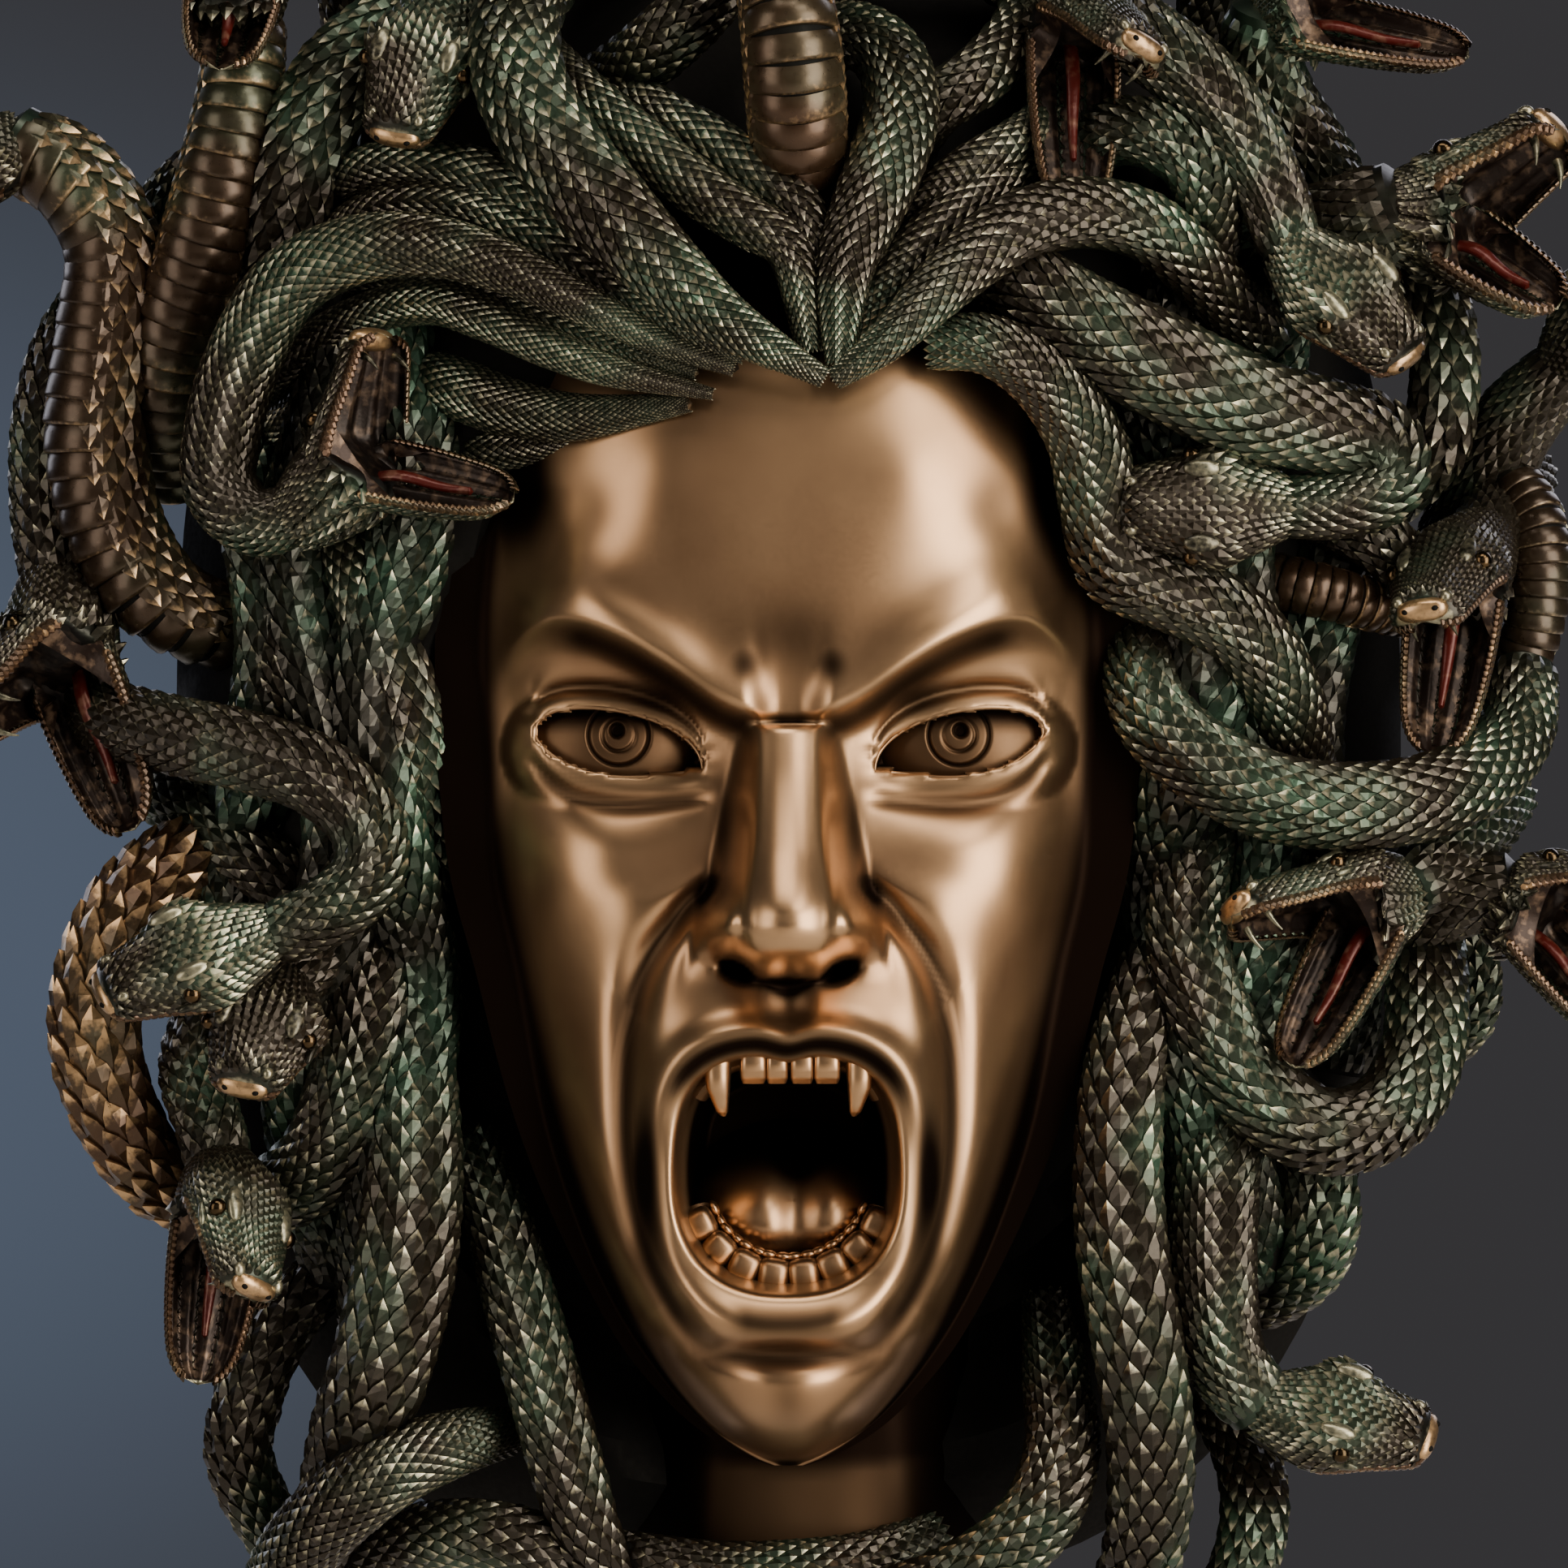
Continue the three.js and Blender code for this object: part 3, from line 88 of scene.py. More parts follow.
def linear(code: str) -> tuple[float, float, float, float]:
    """Turns an sRGB hex colour into linear RGBA.

    Args:
        code: Six hex digits after a hash sign.

    Returns:
        The linear colour with alpha 1.
    """
    channels = [int(code[k : k + 2], 16) / 255 for k in (1, 3, 5)]
    return (*[c / 12.92 if c <= 0.04045 else ((c + 0.055) / 1.055) ** 2.4 for c in channels], 1.0)


def bell(offset: Array, width: float) -> Array:
    """A smooth hump, 1 at offset 0."""
    return np.exp(-((offset / width) ** 2))


def ease(low: float, high: float, value: Array) -> Array:
    """A smooth step from 0 at low to 1 at high."""
    share = np.clip((value - low) / (high - low), 0, 1)
    return share * share * (3 - 2 * share)


def along(stations: list, position: Array) -> Array:
    """Reads a smooth curve through stations.

    Args:
        stations: (position, value) pairs in rising order.
        position: Where the curve is read.

    Returns:
        The values there.
    """
    xs, ys = np.asarray(stations, float).T
    last = len(xs) - 1
    x = np.clip(position, xs[0], xs[-1])
    k = np.clip(np.searchsorted(xs, x) - 1, 0, last - 1)
    before, after = np.maximum(np.arange(last + 1) - 1, 0), np.minimum(np.arange(last + 1) + 1, last)
    slope = (ys[after] - ys[before]) / (xs[after] - xs[before])
    span = xs[k + 1] - xs[k]
    t = (x - xs[k]) / span
    t2, t3 = t * t, t * t * t
    return (
        (2 * t3 - 3 * t2 + 1) * ys[k]
        + (t3 - 2 * t2 + t) * span * slope[k]
        + (3 * t2 - 2 * t3) * ys[k + 1]
        + (t3 - t2) * span * slope[k + 1]
    )


def place(u: Array, w: Array, d: Array) -> Array:
    """Stacks carving units into x, y, z, still in units."""
    return np.stack(np.broadcast_arrays(np.asarray(u, float), -np.asarray(d, float), w), -1)


def heading(direction: Vec) -> Array:
    """The unit vector, in x, y, z, of a (u, w, d) direction."""
    u, w, d = direction
    return unit(np.array([u, -d, w], float))


def unit(vectors: Array) -> Array:
    """Vectors at length 1."""
    return vectors / np.maximum(np.linalg.norm(vectors, axis=-1, keepdims=True), 1e-12)


def circle(count: int) -> Array:
    """Angles evenly round a circle, with the first one not repeated."""
    return np.linspace(0, 2 * math.pi, count, endpoint=False)


def run_along(line: Array) -> Array:
    """The distance covered at each point of a line."""
    return np.concatenate([[0], np.cumsum(np.linalg.norm(np.diff(line, axis=0), axis=1))])


def sampled(at: Array, run: Array, rows: Array) -> Array:
    """Rows of vectors that stand at the distances run, read at other distances."""
    return np.stack([np.interp(at, run, column) for column in rows.T], -1)


def nearest(values: Array, wanted: float) -> int:
    """The number of the value nearest to the wanted one."""
    return int(np.argmin(np.abs(values - wanted)))


def grid_normals(points: Array) -> Array:
    """Outward normals of a grid whose rows run forward and whose columns turn round it."""
    return unit(np.cross(np.gradient(points, axis=1), np.gradient(points, axis=0)))


MIX = ("ShaderNodeMix", {"data_type": "RGBA"})
SMOOTH = ("ShaderNodeMapRange", {"interpolation_type": "SMOOTHSTEP"})
PRODUCT = ("ShaderNodeMath", {"operation": "MULTIPLY"})
MUL_ADD = ("ShaderNodeMath", {"operation": "MULTIPLY_ADD"})


def add_node(tree: bpy.types.NodeTree, kind: str, settings: dict | None = None,
             **links: object) -> bpy.types.Node:
    """Adds a node with its settings and what feeds it.

    Args:
        tree: The tree that gets the node.
        kind: The node's type name.
        settings: Values of the node's own properties.
        **links: Socket names, with underscores for spaces or i and a number, and what feeds each.

    Returns:
        The new node.
    """
    node = tree.nodes.new(kind)
    for name, value in (settings or {}).items():
        setattr(node, name, value)
    for name, value in links.items():
        numbered = name[0] == "i" and name[1:].isdigit()
        socket = node.inputs[int(name[1:])] if numbered else node.inputs[name.replace("_", " ")]
        if isinstance(value, bpy.types.NodeSocket):
            tree.links.new(value, socket)
        else:
            socket.default_value = value
    return node


def new_material(name: str) -> tuple[bpy.types.Material, bpy.types.NodeTree]:
    """An empty material and its node tree."""
    material = bpy.data.materials.new(name)
    material.use_nodes = True
    material.node_tree.nodes.clear()
    return material, material.node_tree


class Casting:
    """Gathers surfaces, in carving units, into one mesh."""

    def __init__(self) -> None:
        """Starts with nothing in it."""
        self.points: list[Array] = []
        self.faces: list[list] = []
        # The darkening trait runs from 0 to 1: patina in the hollows, and painted shade where shade falls.
        self.traits: dict[str, list[Array]] = {"rub": [], "recess": [], "tone": [], "gilt": []}
        self.finish: list[Array] = []
        self.count = 0

    def skin(self, points: Array, faces: Array, finish: int = 0, **traits: float) -> None:
        """Adds points and faces.

        Args:
            points: The points, n by 3.
            faces: Point numbers, one row a face.
            finish: The material slot, or one for each face.
            **traits: rub, the darkening for patina and painted shade, tone and gilt of the points.
        """
        self.points.append(points)
        self.faces.extend((np.asarray(faces) + self.count).tolist())
        self.finish.append(np.broadcast_to(np.asarray(finish), len(faces)))
        for name, values in self.traits.items():
            values.append(np.broadcast_to(np.asarray(traits.get(name, 0.0), float).ravel(), len(points)))
        self.count += len(points)

    def grid(self, points: Array, finish: int = 0, wrap: bool = False, turned: bool = False,
             **traits: float) -> None:
        """Adds a sheet of quads over a grid of points.

        Args:
            points: Rows by columns by 3.
            finish: The material slot, or one for each square.
            wrap: Whether the last column joins the first.
            turned: Whether the faces are turned over.
            **traits: As in skin.
        """
        rows, columns = points.shape[:2]
        index = np.arange(rows * columns).reshape(rows, columns)
        if wrap:
            index = np.hstack([index, index[:, :1]])
        faces = np.stack([index[:-1, :-1], index[:-1, 1:], index[1:, 1:], index[1:, :-1]], -1).reshape(-1, 4)
        slots = np.asarray(finish).ravel() if np.ndim(finish) else finish
        self.skin(points.reshape(-1, 3), faces[:, ::-1] if turned else faces, slots, **traits)

    def cap(self, ring: Array, bulge: Array, finish: int = 0, turned: bool = False, **traits: float) -> None:
        """Closes a ring with a fan round its middle, pushed out by bulge."""
        count = len(ring)
        points = np.vstack([ring, ring.mean(0) + bulge])
        near = np.arange(count)
        faces = np.stack([near, np.roll(near, -1), np.full(count, count)], -1)
        self.skin(points, faces[:, ::-1] if turned else faces, finish, **traits)

    def ovoid(self, middle: Array, axes: Array, finish: int = 0, sides: int = 12, rings: int = 8,
              power: float = 2.0, **traits: float) -> None:
        """Adds an egg, or for a power over 2 a rounded block.

        Args:
            middle: Its middle.
            axes: Its half axes in a right-handed order.
            finish: The material slot.
            sides: Faces round it.
            rings: Faces from end to end.
            power: 2 for an egg, more for a block.
            **traits: As in skin.
        """

        def curve(wave: Array) -> Array:
            """Squares a sine or a cosine."""
            return np.sign(wave) * np.abs(wave) ** (2 / power)

        polar = np.linspace(0.05, math.pi - 0.05, rings + 1)[:, None]
        turn = circle(sides)[None, :]
        over, up = curve(np.sin(polar)), -curve(np.cos(polar))
        shares = (over * curve(np.cos(turn)), over * curve(np.sin(turn)), up + 0 * turn)
        points = middle + sum(s[..., None] * a for s, a in zip(shares, axes, strict=True))
        self.grid(points, finish, wrap=True, **traits)
        self.cap(points[0], 0 * middle, finish, turned=True, **traits)
        self.cap(points[-1], 0 * middle, finish, **traits)

    def build(self, name: str, finishes: list[bpy.types.Material], weld: float = 0.0) -> bpy.types.Object:
        """Turns what was gathered into an object of the mask.

        Args:
            name: The piece's name.
            finishes: Its materials in slot order.
            weld: Points nearer than this many units become one.

        Returns:
            The linked object, riding on the casting's body.
        """
        mesh = bpy.data.meshes.new(name)
        mesh.from_pydata((np.vstack(self.points) * UNIT).tolist(), [], self.faces)
        mesh.polygons.foreach_set("material_index", np.concatenate(self.finish).astype(np.int32))
        mesh.polygons.foreach_set("use_smooth", np.ones(len(mesh.polygons), bool))
        for trait, values in self.traits.items():
            mesh.attributes.new(trait, "FLOAT", "POINT").data.foreach_set("value", np.concatenate(values))
        if weld:
            shape = bmesh.new()
            shape.from_mesh(mesh)
            bmesh.ops.remove_doubles(shape, verts=shape.verts, dist=weld * UNIT)
            shape.to_mesh(mesh)
            shape.free()
        return hang(name, mesh, finishes)


def hang(name: str, mesh: bpy.types.Mesh, finishes: list[bpy.types.Material]) -> bpy.types.Object:
    """Makes a mesh a piece of the mask that stands for the cast body."""
    for finish in finishes:
        mesh.materials.append(finish)
    mesh.update()
    piece = bpy.data.objects.new(name, mesh)
    bpy.context.scene.collection.objects.link(piece)
    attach(piece, "root")
    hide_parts(NODE)
    return piece


@dataclass
class Face:
    """The polished face: forehead, brows, eyes, nose, cheeks and the rim of the open mouth."""

    top: float = 31.0
    foot: float = -43.9
    edge_depth: float = 8.0
    edge_power: float = 2.8
    edge_round: float = 0.42
    mouth: tuple[float, float, float, float, float] = (-0.1, -24.9, 7.6, 8.1, 2.4)
    mouth_floor: float = 20.6
    lip_dip: float = 0.45
    eye_inner: tuple[float, float] = (5.5, 0.77)
    eye_outer: tuple[float, float] = (16.3, 3.2)
    eye_middle: tuple[float, float, float] = (10.9, 2.3, 23.4)
    iris: tuple[float, float, float] = (10.9, 3.15, 1.96)
    rows: tuple[int, int, int] = (52, 76, 190)
    columns: tuple[int, int] = (33, 52)
    half_widths: list = field(default_factory=lambda: [
        (-44, 0.8), (-43.4, 2.6), (-42, 5.2), (-40, 7.6), (-37, 10.2), (-34, 12.1), (-30, 14.2), (-26, 16),
        (-22, 17.5), (-18, 18.7), (-12, 20.2), (-6, 21.8), (0, 22.5), (8, 22.8), (14, 22.5), (20, 21.4),
        (25, 19.8), (31, 16.5)])
    midline: list = field(default_factory=lambda: [
        (-44, 22), (-43, 26), (-41, 29.6), (-38, 31.6), (-34, 32.3), (-30, 32.9), (-25, 33.2), (-20, 33),
        (-15, 32.3), (-10, 31.2), (-5, 30.6), (0, 30.6), (5, 31.6), (10, 32.6), (15, 32.3), (20, 31.6),
        (25, 30.4), (31, 28.6)])
    ridge: list = field(default_factory=lambda: [
        (-12.6, 33), (-12, 35.4), (-11.3, 37.6), (-10.4, 39.2), (-9, 40), (-7.5, 39.6), (-4, 37.2),
        (0, 34.8), (3.9, 32.8)])
    ridge_flat: list = field(default_factory=lambda: [
        (-12.6, 1.6), (-9, 2.3), (-7, 2.4), (-3, 1.8), (3.9, 1.7)])
    nose_base: list = field(default_factory=lambda: [
        (-12.6, 3), (-11, 4.8), (-9, 5.6), (-6, 5.4), (-2, 4.6), (3.9, 3.2)])
    brow_edge: list = field(default_factory=lambda: [
        (0, 4), (2.2, 4.4), (4.7, 5.5), (7.7, 7.6), (10.8, 9.4), (13.8, 10.4), (16, 10.1), (19, 7.5)])
    cheek_fold: list = field(default_factory=lambda: [
        (-37, 4.8), (-34, 7), (-30, 9), (-24, 10.3), (-18, 10.4), (-14, 9.9), (-10.5, 8.6), (-8, 6.6),
        (-5.6, 4.2)])

    def mouth_share(self, u: Array, w: Array) -> Array:
        """Distance from the middle of the mouth, 1 on the edge of its opening."""
        at_u, at_w, ru, rw, power = self.mouth
        w = w + self.lip_dip * bell(u - at_u, 1.3) * ease(-22, -17, w)
        power = power + 0.6 * ease(-25, -19, w)
        return (np.abs((u - at_u) / ru) ** power + np.abs((w - at_w) / rw) ** power) ** (1 / power)

    def eyelids(self, side: Array) -> tuple[Array, Array, Array]:
        """Share along the eye, and the heights of its upper and lower edge, at a distance from the middle."""
        x = (side - self.eye_inner[0]) / (self.eye_outer[0] - self.eye_inner[0])
        inside = np.clip(x, 0, 1)
        chord = self.eye_inner[1] + inside * (self.eye_outer[1] - self.eye_inner[1])
        upper = chord + 2.85 * (4 * inside * (1 - inside)) ** 0.42 * (1.06 - 0.18 * inside)
        lower = chord - 6.3 * inside**1.3 * (1 - inside) ** 0.7
        return x, upper, lower

    def form(self, u: Array, w: Array) -> Array:
        """The large forms, the same as the cast body's: depth in front of the wall at (u, w)."""
        side = np.abs(u)

        def bump(at_u: float, at_w: float, ru: float, rw: float) -> Array:
            """A smooth hump on both halves of the face."""
            return bell(side - at_u, ru) * bell(w - at_w, rw)

        share = np.minimum(side / along(self.half_widths, w), 1)
        inside = 1 - share**8
        depth = self.edge_depth + (along(self.midline, w) - self.edge_depth) * (
            1 - share**self.edge_power
        ) ** self.edge_round
        depth = depth + inside * (
            1.5 * bump(13.5, -5, 5.5, 5) - 1.1 * bump(13.5, -16, 4, 6) - 1.2 * bump(18.5, 12, 3.5, 6)
            + 1.9 * bump(0, -39.4, 5, 3) - 1.3 * bump(0, -36.3, 6, 1)
            - 0.55 * bump(13.8, 17.5, 2.4, 2.2) + 0.3 * bump(13.2, 13.2, 2.8, 2) + 0.25 * bump(8, 20, 3, 3)
        )
        reach = (self.mouth_share(u, w) - 1) * self.mouth[2]
        fold = side - along(self.cheek_fold, w)
        fade = ease(-38, -33, w) * (1 - ease(-7.5, -4.5, w))
        depth = depth + 1.2 * bell(reach - 1.5, 3.5) + fade * (
            (0.3 + 0.5 * (1 - ease(-32, -26, w))) * bell(fold - 3, 2.8) - 1.1 * bell(fold, 1.15))
        over = w - along(self.brow_edge, side)
        brow_fade = (1 - ease(15.5, 19, side)) * ease(0.5, 3, side)
        depth = depth + 1.3 * brow_fade * np.where(over > 0.4, bell(over - 0.4, 2.4), bell(over - 0.4, 1))
        depth = depth - 3.6 * inside * bump(10.4, 3.4, 6.8, 5) * (1 - ease(-2.2, 0.3, over))
        depth = depth + 0.15 * bump(2.9, 7.6, 1.8, 2.6) - 0.1 * bump(0, 6.6, 1.2, 2.4)
        dome = np.sqrt(np.maximum(0, 1 - ((side - 10.9) / 7.5) ** 2 - ((w - 2.3) / 5.4) ** 2))
        orb = self.eye_middle[2] + 5.5 * dome
        mix = np.clip(0.5 + (depth - orb) / 2.8, 0, 1)
        depth = orb + (depth - orb) * mix + 1.4 * mix * (1 - mix)
        slide = (side - along(self.ridge_flat, w)) / (along(self.nose_base, w) - along(self.ridge_flat, w))
        ridge = along(self.ridge, w) - 0.19 * np.minimum(side, 3) ** 2
        nose = np.maximum(depth, depth + (ridge - depth) * (1 - ease(0, 1, slide)))
        depth = np.where((w < 3.9) & (w > -12.6), nose, depth)
        depth = depth + 3.2 * bump(4.5, -9.1, 1.7, 1.9) * ease(2, 4, side) - 0.5 * bump(0, -14, 1.1, 1.6)
        sides = bell((w - self.mouth[1]) / self.mouth[3], 0.7)
        lower = 1 - ease(-32.5, -27, w)
        return depth + (1.1 + 0.4 * lower - 1.1 * sides) * bell(reach - 1 - 0.6 * lower, 0.9 + 0.6 * lower)

    def carved(self, u: Array, w: Array) -> Array:
        """The form with the finer carving: lid creases, frown lines, nostrils and the mouth's wall."""
        side = np.abs(u)
        at_u, at_w = self.mouth[:2]
        share = self.mouth_share(u, w)
        outward = np.maximum(share, 1) / np.maximum(share, 1e-6)
        depth = self.form(at_u + (u - at_u) * outward, at_w + (w - at_w) * outward)

        x, upper, lower = self.eyelids(side)
        span = ease(-0.12, 0.06, x) * (1 - ease(0.95, 1.13, x))
        above, below = w - upper, lower - w
        depth = depth + span * (
            0.25 * bell(above - 0.5, 0.42) - 0.42 * bell(above - 1.3, 0.28) + 0.15 * bell(above - 2, 0.7)
            + 0.28 * bell(below - 0.7, 0.6) - 0.32 * bell(below - 1.75, 0.5)
        )
        depth = depth - 2.2 * ((above < -0.2) & (below < -0.2) & (x > 0.0) & (x < 1.0))
        frown = 1 - ease(0.5, 4.2, side)
        depth = depth - 0.3 * frown * bell(w - 3.95, 0.28)
        depth = depth - 0.07 * bell(side - 1.7 - 0.12 * (w - 6), 0.5) * bell(w - 7.4, 2.2)
        depth = depth - 2.6 * bell(side - 3.3, 0.85) * bell(w + 11.85 - 0.25 * (side - 3.3), 0.48)
        depth = depth - 0.35 * bell(side - 5.9 + 0.25 * (w + 9), 0.4) * bell(w + 9.3, 2.2)

        inner = np.clip(1 - share, 0, 1)
        rounded = 1.1 * (1 - np.sqrt(np.maximum(0, 1 - np.minimum(inner / 0.07, 1) ** 2)))
        wall = np.maximum(depth - 1.1 - self.mouth_floor, 0) * ease(0.05, 0.3, inner)
        return depth - rounded - wall

    def layout(self) -> tuple[Array, Array]:
        """The grid's u and w, with its lines bent to run round the mouth."""
        at_u, at_w, ru, rw = self.mouth[:4]
        low, high = at_w - rw, at_w + rw
        w = np.concatenate([
            np.linspace(self.foot, low, self.rows[0], endpoint=False),
            np.linspace(low, high, self.rows[1], endpoint=False),
            np.linspace(high, self.top, self.rows[2])])[:, None]
        half = along(self.half_widths, w)
        inner = np.minimum(ru, 0.645 * half)
        middle = at_u * ease(-43, -38, w)
        near = np.linspace(-1, 1, 2 * self.columns[0] + 1)[None, :]
        far = np.linspace(0, 1, self.columns[1] + 1)[1:][None, :]
        far = 0.55 * far + 0.45 * np.sin(0.5 * math.pi * far)
        right = middle + inner + far * (half - middle - inner)
        left = middle - inner - far * (half + middle - inner)
        u = np.hstack([left[:, ::-1], middle + near * inner, right])
        w = np.broadcast_to(w, u.shape)
        across, upright = (u - at_u) / ru, (w - at_w) / rw
        square = np.maximum(np.abs(across), np.abs(upright))
        pull = square / np.maximum(self.mouth_share(u, w), 1e-9)
        hold = (1 - ease(1.35, 2.1, square)) * (1 - ease(0.7, 0.95, np.abs(u) / half))
        scale = 1 + (pull - 1) * hold
        return at_u + (u - at_u) * scale, at_w + (w - at_w) * scale

    def lid_rims(self, cast: Casting) -> None:
        """Adds the crisp rolled edge of each eyelid."""
        x = (1 - np.cos(np.linspace(0, math.pi, 72))) / 2
        side = self.eye_inner[0] + x * (self.eye_outer[0] - self.eye_inner[0])
        _, upper, lower = self.eyelids(side)
        for mirror in (-1, 1):
            for edge, girth in ((upper, 0.2), (lower, 0.17)):
                depth = self.form(side, edge) - 0.12
                line = place(mirror * side, edge, depth)
                swell = girth * (0.45 + 0.55 * (4 * x * (1 - x)) ** 0.35)
                # The rims are darkened a little as painted shade.
                cast.grid(tube(line, swell), wrap=True, rub=0.4, recess=0.3)

    def eyeballs(self, cast: Casting) -> None:
        """Adds the eyeballs with their engraved iris and pupil rings, darkened as painted shade, most under
        the upper lid.
        """
        rings = np.concatenate([np.linspace(0, 2.6, 42), np.linspace(2.7, 7, 16)])[:, None]
        turn = circle(72)[None, :]
        for mirror in (-1, 1):
            u = self.iris[0] + rings * np.cos(turn)
            w = self.iris[1] + rings * np.sin(turn)
            ball = 1 - ((u - self.eye_middle[0]) / 6.6) ** 2 - ((w - self.eye_middle[1]) / 5.0) ** 2
            depth = self.eye_middle[2] + 4.6 * np.sqrt(np.maximum(ball, 0)) + 4 * np.minimum(ball, 0)
            swirl = bell(rings - 1.05, 0.12) * (0.55 + 0.45 * np.sin(turn + 2.6))
            pupil = 1 - ease(0.3, 0.6, np.hypot(rings * np.cos(turn) - 0.1, rings * np.sin(turn) - 0.28))
            depth = depth - 0.24 * bell(rings - self.iris[2], 0.12) - 0.24 * swirl - 0.5 * pupil
            # Painted shade: the grooves and the pupil pit go dark, and shaded darkens the whole ball, more
            # towards its top as the lid's shadow.
            recess = 0.85 * bell(rings - self.iris[2], 0.12) + 0.8 * swirl + 0.9 * pupil
            shaded = 0.55 + 0.35 * ease(-0.2, 1.8, rings * np.sin(turn))
            cast.grid(place(mirror * u, w, depth), wrap=True, turned=mirror > 0,
                      recess=np.maximum(recess, shaded))

    def build(self, finishes: list[bpy.types.Material]) -> bpy.types.Object:
        """Makes the face.

        Args:
            finishes: The polished bronze.

        Returns:
            The piece.
        """
        u, w = self.layout()
        depth = self.carved(u, w)
        relief = depth - blurred(depth, 7)
        side, reach = np.abs(u), (self.mouth_share(u, w) - 1) * self.mouth[2]
        x, upper, lower = self.eyelids(side)
        span = ease(-0.15, 0.1, x) * (1 - ease(0.9, 1.15, x))
        over = w - along(self.brow_edge, side)
        # Painted shade, partly patina: hollow darkens the bronze in the carving's hollows and deep cuts, in
        # the eye sockets, under the brows and lids, round the nose, lips and chin, on the lower forehead,
        # under the snakes at the hairline, and on the sides of the face and forehead, which turn away from
        # the light.
        hollow = np.clip(-relief / 1.5, 0, 0.85)
        for share in (
            np.clip((self.form(u, w) - depth - 1.5) / 6, 0, 0.9),
            ease(0.72, 0.9, side / along(self.half_widths, w)),
            0.7 * bell(side - 8, 4.4) * bell(w - 5.6, 2.3) * ease(2, 4, side),
            0.75 * bell(over + 1, 1.3) * (1 - ease(13, 17, side)) * ease(1, 3, side),
            0.7 * bell(side - 4.2, 1) * bell(w + 3, 6.5),
            0.6 * bell(lower - w - 1.9, 0.9) * span, 0.6 * bell(w - upper - 1.4, 0.7) * span,
            0.75 * bell(side - 2.7, 1.6) * bell(w - 7.6, 1.9),
            0.5 * bell(lower - w - 0.6, 0.6) * span, 0.5 * bell(w - upper - 0.5, 0.5) * span,
            0.85 * bell(reach - 0.3, 0.9) * ease(-24, -18, w),
            0.9 * bell(reach - 1.5, 1.3) * bell(w + 25, 6.5) * ease(5, 7, side),
            0.7 * bell(reach - 1.2, 1.1) * (1 - ease(-33, -30, w)) * (1 - ease(2.5, 5, side)),
            0.6 * bell(w - 9.5, 4) * bell(u, 7), 0.45 * bell(u, 1.6) * bell(w + 39, 2.4),
            0.9 * ease(12.5, 17, side) * ease(8, 19, w),
            0.7 * bell(side - along(self.cheek_fold, w), 0.9) * (1 - ease(-7.5, -4.5, w)) * ease(-38, -33, w),
            0.7 * bell(w + 36.6, 0.8) * (1 - ease(3, 7, side)), 0.8 * ease(24.5, 28, w),
            0.5 * bell(w + 16, 1.6) * bell(u, 1),
        ):
            hollow = np.maximum(hollow, share)
        rub = np.clip(relief / 0.9, 0, 1)
        cast = Casting()
        cast.grid(place(u, w, depth), recess=hollow, rub=rub)
        self.lid_rims(cast)
        self.eyeballs(cast)
        return cast.build("face", finishes)


def blurred(field_: Array, reach: int) -> Array:
    """A grid of values averaged over the squares within reach."""
    for axis in (0, 1):
        width = [(0, 0), (0, 0)]
        width[axis] = (reach + 1, reach)
        total = np.cumsum(np.pad(field_, width, mode="edge"), axis=axis)
        size = field_.shape[axis]
        high = np.take(total, np.arange(2 * reach + 1, 2 * reach + 1 + size), axis=axis)
        field_ = (high - np.take(total, np.arange(size), axis=axis)) / (2 * reach + 1)
    return field_


def tube(line: Array, girth: Array, sides: int = 10) -> Array:
    """Rings of points round a line, its upward side kept towards the viewer."""
    forward = unit(np.gradient(line, axis=0))
    upward = unit(np.array([0.0, -1.0, 0.0]) - forward * -forward[:, 1:2])
    sideways = np.cross(upward, forward)
    turn = circle(sides)
    rings = sideways[:, None] * np.cos(turn)[:, None] + upward[:, None] * np.sin(turn)[:, None]
    return line[:, None] + rings * np.broadcast_to(girth, len(line))[:, None, None]


